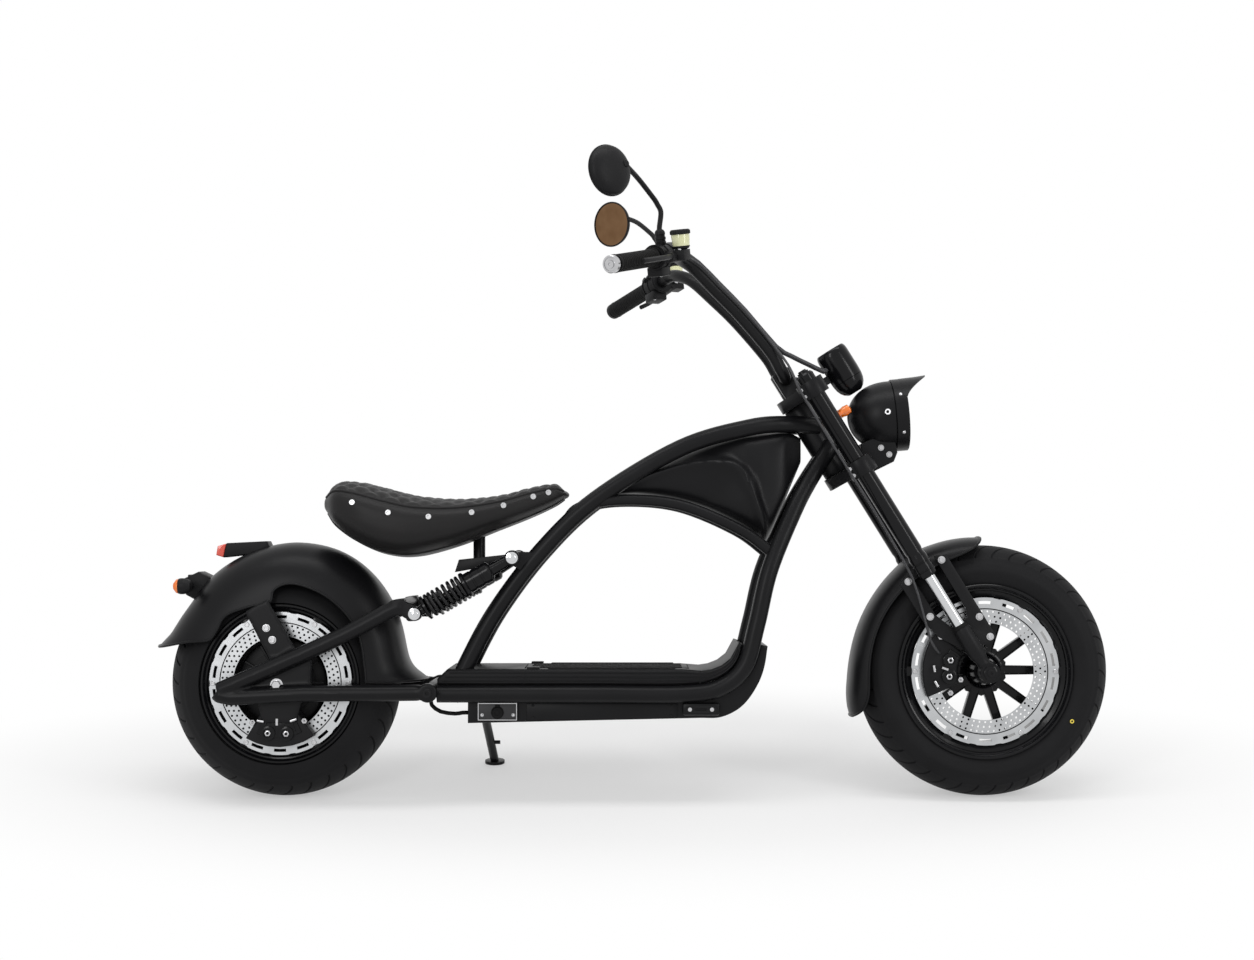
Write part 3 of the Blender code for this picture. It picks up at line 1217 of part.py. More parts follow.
def shocks(parent, paints):
    """A coil-over shock absorber each side, from the swingarm to the seat tube."""
    half_eye = Vector((0, SHOCK_EYE_WIDTH / 2, 0))
    run = SHOCK_HEAD - SHOCK_FOOT
    turn = run.to_track_quat("Z", "Y").to_matrix().to_4x4()
    section = [*SHOCK_SECTION, (run.length - SHOCK_TIP, SHOCK_ROD_RADIUS), (run.length, 0.0)]
    for label, side in both_sides():
        across = Vector((0, side * SHOCK_Y, 0))
        foot, head = SHOCK_FOOT + across, SHOCK_HEAD + across
        place = Matrix.Translation(foot) @ turn
        body = moved(turned_open(section, SHOCK_SIDES, "Z"), place)
        shock = piece(f"shock_{label}", body, paints["spring_black"], parent)
        weld(shock, [
            ("lower_eye", rod(foot - half_eye, foot + half_eye, SHOCK_FOOT_EYE_RADIUS, SHOCK_SIDES)),
            ("upper_eye", rod(head - half_eye, head + half_eye, SHOCK_HEAD_EYE_RADIUS, SHOCK_SIDES)),
            ("spring", coil(place)),
        ])


def coil(place):
    """Returns a compression spring between its two seats along the +Z of a placement."""
    bottom, top = SPRING_FOOT + SPRING_WIRE, SPRING_HEAD - SPRING_WIRE
    count = int(SPRING_TURNS * SPRING_STEPS)
    points = []
    for index in range(count + 1):
        angle = 2 * math.pi * index / SPRING_STEPS
        x, y = SPRING_RADIUS * math.cos(angle), SPRING_RADIUS * math.sin(angle)
        points.append(place @ Vector((x, y, bottom + (top - bottom) * index / count)))
    return tube(points, SPRING_WIRE, 0)


def seat(parent, paints):
    """Saddle cushion and the bracket that carries it on the seat tubes."""
    piece("seat_cushion", lofted(SEAT_STATIONS, SEAT_SIDES, SEAT_SQUARENESS), paints["black_leather"], parent)
    reach = SHOCK_Y - SHOCK_EYE_WIDTH / 2 - SEAT_GAP
    head = Vector((SHOCK_HEAD.x, SHOCK_HEAD.z))
    cross = rod((head.x, -reach, head.y), (head.x, reach, head.y), SEAT_TUBE_RADIUS, BRACKET_TUBE_SIDES)
    bracket = piece("seat_bracket", cross, paints["satin_black_paint"], parent)
    gusset = around(SEAT_GUSSET_OUTLINE, head)
    gussets = joined([
        side_slab(gusset, side, SEAT_GUSSET_LOW_Y, SEAT_GUSSET_HIGH_Y) for label, side in both_sides()
    ])
    weld(bracket, [
        ("gussets", gussets),
        ("pan", slab(around(SEAT_PAN_OUTLINE, head), -SEAT_PAN_HALF_WIDTH, SEAT_PAN_HALF_WIDTH)),
        ("post", rod(SEAT_POST_FOOT, SEAT_POST_HEAD, SEAT_POST_RADIUS, BRACKET_TUBE_SIDES)),
    ])
    carve(bracket, [("seat", lofted(SEAT_STATIONS, SEAT_SIDES, SEAT_SQUARENESS, 2 * SEAT_GAP))])
    carve(bracket, [(f"loop_{label}", main_tube(side, SEAT_GAP)) for label, side in both_sides()])


def tank(parent, paints):
    """Moulded cover between the main loops, the arches and the down tubes."""
    shell = lofted(TANK_STATIONS, TANK_SIDES, TANK_SQUARENESS)
    cover = piece("tank_cover", shell, paints["gloss_black_paint"], parent)
    for label, side in both_sides():
        carve(cover, [
            (f"loop_{label}", main_tube(side, SEAT_GAP)),
            (f"arch_{label}", arch_tube(side, SEAT_GAP)),
            (f"rail_{label}", rail_tube(side, SEAT_GAP)),
        ])


def fork(parent, paints):
    """Fork legs, the front axle and the clamps, in the fork frame."""
    legs = [
        ("fork_tube", "gloss_black_paint", FORK_TUBE_SECTION),
        ("fork_stanchion", "stanchion_chrome", STANCHION_SECTION),
        ("fork_slider", "cast_black_alloy", SLIDER_SECTION),
    ]
    inside = FORK_HALF_WIDTH - SLIDER_BOSS_INNER
    outside = FORK_HALF_WIDTH + SLIDER_BOSS_OUTER
    for label, side in both_sides():
        place = Matrix.Translation((FORK_OFFSET, side * FORK_HALF_WIDTH, 0))
        for name, finish, section in legs:
            leg = moved(turned_open(section, LEG_SIDES, "Z"), place)
            made = piece(f"{name}_{label}", leg, paints[finish], parent)
        boss = rod(
            (FORK_OFFSET, side * inside, 0), (FORK_OFFSET, side * outside, 0), SLIDER_BOSS_RADIUS, LEG_SIDES
        )
        weld(made, [("boss", boss), ("stay", fender_stay(side))])
    section = axle_section(inside - SEAT_GAP, FRONT_HUB_HALF_WIDTH + AXLE_SHOULDER_GAP, FRONT_SHOULDER_RADIUS)
    axle = moved(turned_open(section, AXLE_SIDES, "Y"), Matrix.Translation((FORK_OFFSET, 0, 0)))
    piece("front_axle", axle, paints["bright_steel"], parent)
    clamps(parent, paints)


def axle_section(reach, hub_end, shoulder_radius):
    """Returns an axle's open section: thick shoulders outside the hub and a slim middle in it."""
    return [
        (-reach, 0.0), (-reach, shoulder_radius), (-hub_end, shoulder_radius), (-hub_end, AXLE_RADIUS),
        (hub_end, AXLE_RADIUS), (hub_end, shoulder_radius), (reach, shoulder_radius), (reach, 0.0),
    ]


def clamp_web(height):
    """Returns a clamp's web, extruded about its height."""
    low, high = height - CLAMP_WEB_HALF_HEIGHT, height + CLAMP_WEB_HALF_HEIGHT
    web = bmesh.new()
    face = web.faces.new([web.verts.new((x, y, low)) for x, y in CLAMP_OUTLINE])
    grown = bmesh.ops.extrude_face_region(web, geom=[face])
    lifted = [item for item in grown["geom"] if isinstance(item, bmesh.types.BMVert)]
    bmesh.ops.translate(web, verts=lifted, vec=(0, 0, high - low))
    bmesh.ops.recalc_face_normals(web, faces=web.faces)
    return web


def leg_rods(height, half_height, radius):
    """Returns an upright rod round each fork leg, about a height."""
    shapes = []
    for label, side in both_sides():
        y = side * FORK_HALF_WIDTH
        low, high = (FORK_OFFSET, y, height - half_height), (FORK_OFFSET, y, height + half_height)
        shapes.append(rod(low, high, radius, CLAMP_BARREL_SIDES))
    return joined(shapes)


def clamps(parent, paints):
    """Lower clamp with the stem and upper clamp with the bar risers."""
    paint = paints["satin_black_paint"]
    bore = FORK_TUBE_RADIUS + SEAT_GAP
    lower = piece("lower_clamp", clamp_web(LOWER_CLAMP_Z), paint, parent)
    stem_top = UPPER_CLAMP_Z + CLAMP_HEIGHT / 2 + STEM_REACH
    weld(lower, [
        ("barrels", leg_rods(LOWER_CLAMP_Z, CLAMP_HEIGHT / 2, CLAMP_BARREL_RADIUS)),
        ("stem", rod((0, 0, LOWER_CLAMP_Z), (0, 0, stem_top), STEM_RADIUS, STEM_SIDES)),
    ])
    carve(lower, [("bores", leg_rods(LOWER_CLAMP_Z, 2 * CLAMP_HEIGHT, bore))])
    upper = piece("upper_clamp", clamp_web(UPPER_CLAMP_Z), paint, parent)
    riser_top = BAR_CLAMP_Z + BAR_RADIUS + RISER_COVER
    risers = []
    for label, side in both_sides():
        y = side * RISER_Y
        low = (BAR_CLAMP_X - RISER_HALF_LENGTH, y - RISER_HALF_WIDTH, UPPER_CLAMP_Z)
        high = (BAR_CLAMP_X + RISER_HALF_LENGTH, y + RISER_HALF_WIDTH, riser_top)
        risers.append(block(low, high, bevel=RISER_BEVEL))
    arm_low = (CLAMP_FRONT_X - 0.007, -GAUGE_ARM_HALF_WIDTH, UPPER_CLAMP_Z - GAUGE_ARM_HALF_HEIGHT)
    arm_high = (GAUGE_X - GAUGE_RADIUS + 0.001, GAUGE_ARM_HALF_WIDTH, UPPER_CLAMP_Z + GAUGE_ARM_HALF_HEIGHT)
    weld(upper, [
        ("barrels", leg_rods(UPPER_CLAMP_Z, CLAMP_HEIGHT / 2, CLAMP_BARREL_RADIUS)),
        ("risers", joined(risers)),
        ("gauge_arm", block(arm_low, arm_high)),
    ])
    stem_low, stem_high = (0, 0, UPPER_CLAMP_Z - 2 * CLAMP_HEIGHT), (0, 0, UPPER_CLAMP_Z + CLAMP_HEIGHT)
    carve(upper, [
        ("bores", leg_rods(UPPER_CLAMP_Z, 2 * CLAMP_HEIGHT, bore)),
        ("stem", rod(stem_low, stem_high, STEM_RADIUS + SEAT_GAP, STEM_SIDES)),
        ("bar", tube(bar_route(), BAR_RADIUS + SEAT_GAP)),
        ("gauge", gauge_shape(SEAT_GAP)),
    ])


def gauge_shape(extra):
    """Returns the instrument pod in the fork frame, grown by extra."""
    r, h = GAUGE_RADIUS + extra, GAUGE_HEIGHT + extra
    shoulder, rim = GAUGE_TOP_SHARES
    section = [
        (-extra, 0.0), (-extra, r * GAUGE_FOOT_SHARE), *((rise, r * share) for rise, share in GAUGE_BOWL),
        (h - GAUGE_EDGE, r * shoulder), (h, r * rim), (h, 0.0),
    ]
    return moved(turned_open(section, LAMP_SIDES, "Z"), Matrix.Translation((GAUGE_X, 0, GAUGE_FOOT)))


def headlight_shape(extra):
    """Returns the lamp bowl in the fork frame, open to the lens recess, grown by extra."""
    r, d = HEADLIGHT_RADIUS + extra, HEADLIGHT_DEPTH + extra
    neck_x, neck_share = HEADLIGHT_NECK
    bowl = [(-d * depth, r * share) for depth, share in HEADLIGHT_BOWL]
    band = r + HEADLIGHT_BAND
    outside = [(-d, 0.0), *bowl, (neck_x, r * neck_share), (HEADLIGHT_BAND_X, band), (0.0, band)]
    inner = r - HEADLIGHT_RIM
    recess = [(0.0, inner), (-HEADLIGHT_RECESS, inner), (-HEADLIGHT_RECESS, 0.0)]
    return moved(turned_open([*outside, *recess], LAMP_SIDES, "X"), headlight_place())


def headlight_place():
    """Returns the lamp's placement in the fork frame."""
    return Matrix.Translation(HEADLIGHT_CENTRE) @ Matrix.Rotation(RAKE - HEADLIGHT_TILT, 4, "Y")


def headlight(parent, paints):
    """Lamp shell with its peaked visor, the lens and the bracket on the lower clamp."""
    place = headlight_place()
    shell = piece("headlight_shell", headlight_shape(0.0), paints["satin_black_paint"], parent)
    weld(shell, [("visor", moved(visor(), place))])
    radius = HEADLIGHT_RADIUS - HEADLIGHT_RIM - SEAT_GAP
    back = SEAT_GAP - HEADLIGHT_RECESS
    section = [(back, 0.0), (back, radius), *((x, radius * share) for x, share in LENS_BULGE)]
    lens = moved(turned_open(section, LAMP_SIDES, "X"), place)
    piece("headlight_lens", lens, paints["clear_lens"], parent)
    half = HEADLIGHT_BRACKET_HALF_WIDTH
    arm = slab(HEADLIGHT_BRACKET_OUTLINE, -half, half, bevel=0.002)
    bracket = piece("headlight_bracket", arm, paints["satin_black_paint"], parent)
    carve(bracket, [("lamp", headlight_shape(SEAT_GAP))])


def visor():
    """Returns the lamp's peaked visor round the lamp's own +X axis."""
    inner, outer = HEADLIGHT_RADIUS - VISOR_EDGE, HEADLIGHT_RADIUS + HEADLIGHT_BAND
    rings = []
    for step in range(VISOR_STEPS + 1):
        angle = VISOR_SPREAD * (2 * step / VISOR_STEPS - 1)
        swell = max(math.cos(angle * math.pi / 2 / VISOR_SPREAD), 0.0)
        reach = VISOR_REACH * swell**VISOR_POWER + VISOR_EDGE
        c, s = math.cos(angle), math.sin(angle)
        lift = VISOR_FLARE * reach
        rings.append([
            (-VISOR_FOOT, s * inner, c * inner), (-VISOR_FOOT, s * outer, c * outer),
            (reach, s * (outer + lift), c * (outer + lift)), (reach, s * (inner + lift), c * (inner + lift)),
        ])
    return loft(rings)


def on_bar(reach, side):
    """Returns the point of the straight bar end at a distance from the centre plane, in the fork frame."""
    share = (reach - GRIP_INNER.y) / (GRIP_OUTER.y - GRIP_INNER.y)
    point = GRIP_INNER.lerp(GRIP_OUTER, share)
    return Vector((point.x, side * point.y, point.z))


def bar_route():
    """Returns the whole handlebar's centre line, right end to left end, in the fork frame."""
    straight = [on_bar(reach, 1) for reach in (*BAR_STRAIGHT_STARTS, BAR_END)]
    half = smooth_route([*BAR_ROUTE, *straight])
    return [Vector((p.x, -p.y, p.z)) for p in reversed(half[1:])] + half


def handlebar(parent, paints):
    """Ape-hanger bar with its end weights, grips, controls and mirrors."""
    bar = piece("handlebar", tube(bar_route(), BAR_RADIUS), paints["satin_black_paint"], parent)
    weights = []
    for label, side in both_sides():
        weight = turned_open(BAR_WEIGHT_SECTION, BAR_WEIGHT_SIDES, "Z")
        weights.append((f"end_{label}", moved(weight, along_bar(BAR_END, side))))
    weld(bar, weights)
    for label, side in both_sides():
        grip(label, side, parent, paints)
        control(label, side, parent, paints)
        mirror(label, side, parent, paints)


def along_bar(reach, side):
    """Returns a placement on the bar end whose +Z runs outward along it and whose +X points forward."""
    outward = (on_bar(1.0, side) - on_bar(0.0, side)).normalized()
    up = Vector((math.sin(RAKE), 0, math.cos(RAKE)))
    forward = up.cross(outward).normalized() * side
    forward = -forward if forward.x < 0 else forward
    third = outward.cross(forward)
    turn = Matrix((forward, third, outward)).transposed().to_4x4()
    return Matrix.Translation(on_bar(reach, side)) @ turn


def upright(way):
    """Returns a turn whose +Z points along a direction."""
    return way.to_track_quat("Z", "Y").to_matrix().to_4x4()


def grip(label, side, parent, paints):
    """Rubber grip round the bar."""
    inner = BAR_RADIUS + SEAT_GAP
    length = (on_bar(GRIP_END, side) - on_bar(GRIP_START, side)).length
    collar = GRIP_RADIUS + GRIP_COLLAR
    section = [
        (0.0, collar), (GRIP_COLLAR_END, collar), (GRIP_NECK_END, GRIP_RADIUS),
        (length, GRIP_RADIUS - GRIP_TAPER), (length, inner), (0.0, inner),
    ]
    rubber = moved(turned(section, CONTROL_SIDES, "Z"), along_bar(GRIP_START, side))
    piece(f"grip_{label}", rubber, paints["black_rubber"], parent)


def control(label, side, parent, paints):
    """Switch housing, master cylinder and brake lever as one unit, with the fluid reservoir on it."""
    place = along_bar(CONTROL_START, side)
    inner = BAR_RADIUS + SEAT_GAP
    near, far = HOUSING_CHAMFERS
    housing = [
        (0.0, HOUSING_RADIUS - near), (HOUSING_EDGE, HOUSING_RADIUS),
        (HOUSING_LENGTH - HOUSING_EDGE, HOUSING_RADIUS), (HOUSING_LENGTH, HOUSING_RADIUS - far),
        (HOUSING_LENGTH, inner), (0.0, inner),
    ]
    unit = piece(
        f"control_{label}", moved(turned(housing, CONTROL_SIDES, "Z"), place), paints["black_plastic"], parent
    )
    up = -side
    foot, head = (place @ Vector((x, -up * y, z)) for x, y, z in (CYLINDER_FOOT, CYLINDER_HEAD))
    cylinder = rod(foot, head, CYLINDER_RADIUS, CYLINDER_SIDES)
    lever = tube([place @ point for point in smooth_route(LEVER_ROUTE)], LEVER_RADIUS, 1)
    weld(unit, [("cylinder", cylinder), ("arm", moved(block(*CONTROL_ARM), place)), ("lever", lever)])
    rise = (place.to_3x3() @ Vector((0, up, 0))).normalized()
    foot = place @ RESERVOIR_FOOT + rise * (RESERVOIR_RISE + SEAT_GAP)
    pot = turned_open(RESERVOIR_SECTION, RESERVOIR_SIDES, "Z")
    pot = moved(pot, Matrix.Translation(foot) @ upright(rise))
    piece(f"reservoir_{label}", pot, paints["fluid_reservoir"], parent)


def mirror(label, side, parent, paints):
    """Round mirror on its bent stalk, facing the rider."""
    rise = along_bar(MIRROR_ON_BAR, side).to_3x3() @ Vector((0, -side, 0))
    foot = on_bar(MIRROR_ON_BAR, side) + rise * (HOUSING_RADIUS + SEAT_GAP)
    centre = mirrored(MIRROR_CENTRE, side)
    facing = (mirrored(MIRROR_AIM, side) - centre).normalized()
    inner, depth = MIRROR_RADIUS - MIRROR_RIM, MIRROR_DEPTH
    bowl = [(-depth * share, MIRROR_RADIUS * width) for share, width in MIRROR_BOWL]
    shell = [
        (-depth, 0.0), *bowl, (-MIRROR_EDGE, MIRROR_RADIUS), (MIRROR_RIM, MIRROR_RADIUS), (MIRROR_RIM, inner),
        (0.0, inner), (0.0, 0.0),
    ]
    head = moved(turned_open(shell, MIRROR_SIDES, "Z"), Matrix.Translation(centre) @ upright(facing))
    body = piece(f"mirror_{label}", head, paints["black_plastic"], parent)
    bends = [mirrored(point, side) for point in MIRROR_STALK]
    back = centre - facing * (depth * MIRROR_BACK)
    start = [foot + rise * step for step in MIRROR_STALK_STEPS]
    stalk = smooth_route([*start, *bends, back])
    root = turned_open(MIRROR_ROOT_SECTION, MIRROR_ROOT_SIDES, "Z")
    weld(body, [
        ("stalk", tube(stalk, MIRROR_STALK_RADIUS, 1)),
        ("root", moved(root, Matrix.Translation(foot) @ upright(rise))),
    ])


def mirrored(point, side):
    """Returns a point of the left side on either side of the scooter."""
    return Vector((point[0], side * point[1], point[2]))


def cords(parent, paints):
    """The front brake hose and the loom sleeve, along their whole routes in the fork frame."""
    place = along_bar(CONTROL_START, -1)
    face = FRONT_BRAKE.y - DISC_THICKNESS / 2 - DISC_RUN - FRONT_BRAKE.caliper_outer
    end = (HOSE_END[0], face - 2 * SEAT_GAP, HOSE_END[1])
    hose = smooth_route([*(place @ Vector(point) for point in HOSE_LEAVES), *HOSE_ROUTE, end])
    piece("front_brake_hose", tube(hose, HOSE_RADIUS, 1), paints["black_rubber"], parent)
    pod = Vector((GAUGE_X, 0.0, LOOM_END_Z))
    near = pod + LOOM_END_WAY * (GAUGE_RADIUS + LOOM_NEAR_REACH)
    last = pod + LOOM_END_WAY * (GAUGE_RADIUS + LOOM_END_REACH)
    loom = smooth_route([*(place @ Vector(point) for point in LOOM_LEAVES), *LOOM_ROUTE, near, last])
    piece("bar_loom", tube(loom, LOOM_RADIUS, 1), paints["black_plastic"], parent)


def signals(parent, paints):
    """Front turn signals on short stalks from the fork tubes."""
    for label, side in both_sides():
        lamp = mirrored(SIGNAL_LAMP, side)
        leg = Vector((FORK_OFFSET, side * FORK_HALF_WIDTH, lamp.z))
        near = leg + (lamp - leg).normalized() * (FORK_TUBE_RADIUS + SEAT_GAP * 2)
        stalk = rod(near, lamp, SIGNAL_STALK_RADIUS, MIRROR_ROOT_SIDES)
        body = piece(f"front_signal_{label}", stalk, paints["amber_lens"], parent)
        pod = moved(turned_open(FRONT_SIGNAL_SECTION, SIGNAL_SIDES, "X"), Matrix.Translation(lamp))
        weld(body, [("pod", pod)])


def front_fender(parent, paints):
    """Front fender in the fork frame."""
    made = fender(
        "front_fender", FRONT_FENDER_STATIONS, FRONT_TYRE_RADIUS, FRONT_FENDER_HALF_WIDTH, Vector((0.0, 0.0)),
        parent, paints["satin_black_paint"],
    )
    made.data.transform(Matrix.Translation((FORK_OFFSET, 0, 0)) @ Matrix.Rotation(RAKE, 4, "Y"))


def fender_stay(side):
    """Returns the two-armed plate between a fork slider and the fender's side, in the fork frame."""
    outline = [(x * FRONT_TYRE_RADIUS, z * FRONT_TYRE_RADIUS) for x, z in FENDER_STAY_OUTLINE]
    near = FRONT_FENDER_HALF_WIDTH
    return side_slab(outline, side, near + SEAT_GAP, near + FENDER_STAY_THICKNESS)


def side_stand(parent, paints):
    """Side stand on its hinge, and the bracket under the left rail."""
    carrier = empty("side_stand_hinge", parent, STAND_PIVOT)
    floor_normal = Vector((0, math.sin(-PARKING_LEAN), math.cos(PARKING_LEAN)))
    sole = Vector((STAND_FOOT.x, STAND_FOOT.y, STAND_FOOT.y * math.tan(PARKING_LEAN))) - STAND_PIVOT
    pad = rod(sole, sole + floor_normal * STAND_FOOT_THICKNESS, STAND_FOOT_RADIUS, STAND_LEG_SIDES)
    stand = piece("side_stand", pad, paints["satin_black_paint"], carrier)
    ankle = sole + floor_normal * (STAND_FOOT_THICKNESS / 2)
    pivot = Vector((0, 0, 0))
    lug = ankle.lerp(pivot, STAND_LUG_PLACE)
    boss = STAND_AXIS * STAND_BOSS_HALF
    weld(stand, [
        ("leg", rod(ankle, pivot, STAND_LEG_RADIUS, STAND_LEG_SIDES)),
        ("boss", rod(-boss, boss, STAND_BOSS_RADIUS, STAND_BOSS_SIDES)),
        ("lug", rod(lug - STAND_LUG_BACK, lug + STAND_LUG_FRONT, STAND_LUG_RADIUS, MIRROR_ROOT_SIDES)),
    ])
    near = STAND_PIVOT + STAND_AXIS * (STAND_BOSS_HALF + SEAT_GAP)
    far = STAND_PIVOT + STAND_AXIS * STAND_BRACKET_REACH
    collar = rod(near, far, STAND_BOSS_RADIUS, STAND_BOSS_SIDES)
    bracket = piece("stand_bracket", collar, paints["satin_black_paint"], parent)
    inner = BATTERY_HALF_WIDTH + SEAT_GAP
    outer = STAND_PIVOT.y + STAND_BOSS_RADIUS
    (rear, low), (front, high) = STAND_ARM_LOW, STAND_ARM_HIGH
    weld(bracket, [("arm", block((rear, inner, low), (front, outer, high)))])


def on_rear_fender(angle, rise):
    """Returns the (x, z) spot at an angle round the rear axle and a height over the rear tyre."""
    reach = REAR_TYRE_RADIUS + rise
    return REAR_AXLE + Vector((reach * math.cos(angle), reach * math.sin(angle)))


def tail(parent, paints):
    """Tail light on the rear fender, and the rear bracket with its turn signals."""
    spot = on_rear_fender(TAIL_LIGHT_ANGLE, TAIL_LIGHT_RISE)
    half = TAIL_LIGHT_HALF_WIDTH
    body = slab(around(TAIL_LIGHT_OUTLINE, spot), -half, half, bevel=0.002)
    housing = piece("tail_light_housing", body, paints["black_plastic"], parent)
    carve(housing, [("fender", fender_solid())])
    half = TAIL_LENS_HALF_WIDTH
    lens = slab(around(TAIL_LENS_OUTLINE, spot), -half, half, bevel=0.0015)
    piece("tail_light_lens", lens, paints["red_lens"], parent)
    spot = on_rear_fender(TAIL_BRACKET_ANGLE, TAIL_BRACKET_RISE)
    half = TAIL_BRACKET_HALF_WIDTH
    plate = slab(around(TAIL_BRACKET_OUTLINE, spot), -half, half, bevel=0.003)
    bracket = piece("tail_bracket", plate, paints["black_plastic"], parent)
    x, z = spot.x + REAR_SIGNAL_SPOT[0], spot.y + REAR_SIGNAL_SPOT[1]
    inner_y = REAR_SIGNAL_Y - 0.010
    arms = rod((x, -inner_y, z), (x, inner_y, z), REAR_SIGNAL_ARM_RADIUS, SIGNAL_SIDES)
    pods = []
    for label, side in both_sides():
        pod = turned_open(REAR_SIGNAL_SECTION, SIGNAL_SIDES, "X")
        pods.append(moved(pod, Matrix.Translation((x, side * REAR_SIGNAL_Y, z))))
    weld(bracket, [("arms", arms), ("signals", joined(pods))])
    carve(bracket, [("fender", fender_solid())])


def fender_solid():
    """Returns the rear fender's filled outer form, grown by the seat gap, as a cutter."""
    core = REAR_TYRE_RADIUS - FENDER_CORE_DEPTH
    rings = []
    for station in REAR_FENDER_STATIONS:
        angle = math.radians(station.angle)
        crown = REAR_TYRE_RADIUS + station.crown + SEAT_GAP
        arch = fender_arch(
            REAR_AXLE, angle, crown, REAR_TYRE_RADIUS + station.edge, REAR_FENDER_HALF_WIDTH + SEAT_GAP
        )
        x, z = REAR_AXLE.x + core * math.cos(angle), REAR_AXLE.y + core * math.sin(angle)
        rings.append([*arch, (x, FENDER_CORE_HALF_WIDTH, z), (x, -FENDER_CORE_HALF_WIDTH, z)])
    return loft(rings)


def rear_axle(parent, paints):
    """Fixed axle of the rear wheel between the swingarm's axle plates."""
    reach = SWINGARM_HALF_WIDTH - SWINGARM_TUBE_RADIUS - SEAT_GAP
    section = axle_section(reach, REAR_HUB_HALF_WIDTH + AXLE_SHOULDER_GAP, REAR_SHOULDER_RADIUS)
    axle = moved(turned_open(section, AXLE_SIDES, "Y"), Matrix.Translation((REAR_AXLE_X, 0, REAR_AXLE_Z)))
    piece("rear_axle", axle, paints["bright_steel"], parent)


def centre_over_origin(lean):
    """Moves the parked scooter so that the centre of its box stands over the origin."""
    bpy.context.view_layer.update()
    graph = bpy.context.evaluated_depsgraph_get()
    low, high = Vector((9e9, 9e9)), Vector((-9e9, -9e9))
    for made in bpy.context.scene.objects:
        if made.type != "MESH" or made.hide_render:
            continue
        shown = made.evaluated_get(graph)
        mesh = shown.to_mesh()
        spots = np.empty(len(mesh.vertices) * 3, dtype=np.float32)
        mesh.vertices.foreach_get("co", spots)
        matrix = np.array(shown.matrix_world)
        spots = spots.reshape(-1, 3) @ matrix[:3, :3].T + matrix[:3, 3]
        low = Vector((min(low.x, spots[:, 0].min()), min(low.y, spots[:, 1].min())))
        high = Vector((max(high.x, spots[:, 0].max()), max(high.y, spots[:, 1].max())))
        shown.to_mesh_clear()
    lean.location = (-(low.x + high.x) / 2, -(low.y + high.y) / 2, 0.0)


def build():
    """Builds the whole scooter."""
    for old in list(bpy.data.objects):
        bpy.data.objects.remove(old, do_unlink=True)
    paints = palette()
    alloy = paints["cast_black_alloy"]
    lean = empty("lean", None, turn=(-PARKING_LEAN, 0.0, 0.0))
    steering = empty("steering_axis", lean, (STEERING_X, 0.0, STEERING_Z), (0.0, -RAKE, 0.0))
    front_hub = empty("front_wheel_axis", steering, (FORK_OFFSET, 0.0, 0.0), (0.0, RAKE, 0.0))
    front_seat = empty("front_caliper_seat", steering, (FORK_OFFSET, 0.0, 0.0), (0.0, RAKE, 0.0))
    rear_hub = empty("rear_wheel_axis", lean, (REAR_AXLE_X, 0.0, REAR_AXLE_Z))
    rear_seat = empty("rear_caliper_seat", lean, (REAR_AXLE_X, 0.0, REAR_AXLE_Z))
    frame(lean, paints)
    battery(lean, paints)
    deck(lean, paints)
    tank(lean, paints)
    seat(lean, paints)
    swingarm(lean, paints)
    shocks(lean, paints)
    fender(
        "rear_fender", REAR_FENDER_STATIONS, REAR_TYRE_RADIUS, REAR_FENDER_HALF_WIDTH, REAR_AXLE, lean,
        paints["satin_black_paint"],
    )
    tail(lean, paints)
    rear_axle(lean, paints)
    caliper("rear_caliper", alloy, rear_seat, REAR_BRAKE)
    side_stand(lean, paints)
    rear_wheel(rear_hub, paints)
    fork(steering, paints)
    front_fender(steering, paints)
    handlebar(steering, paints)
    cords(steering, paints)
    headlight(steering, paints)
    piece("gauge_pod", gauge_shape(0.0), paints["gloss_black_paint"], steering)
    signals(steering, paints)
    caliper("front_caliper", alloy, front_seat, FRONT_BRAKE)
    front_wheel(front_hub, paints)
    centre_over_origin(lean)


if __name__ == "__main__":
    build()
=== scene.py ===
"""Electric chopper scooter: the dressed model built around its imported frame.

Lengths are in metres.  Pieces are drawn in one of three local frames and then placed: the bike frame
(+X forward, +Y to the rider's left, +Z up from the floor, upright), the fork frame (its origin on the
steering axis, +Z up that axis) and the hub frames (+Y along the axle).  All are read from the joints.
"""

import json
import logging
import math
from dataclasses import dataclass, field
from enum import Enum
from typing import Any, Iterable, Sequence

import bmesh
import bpy
from mathutils import Matrix, Vector

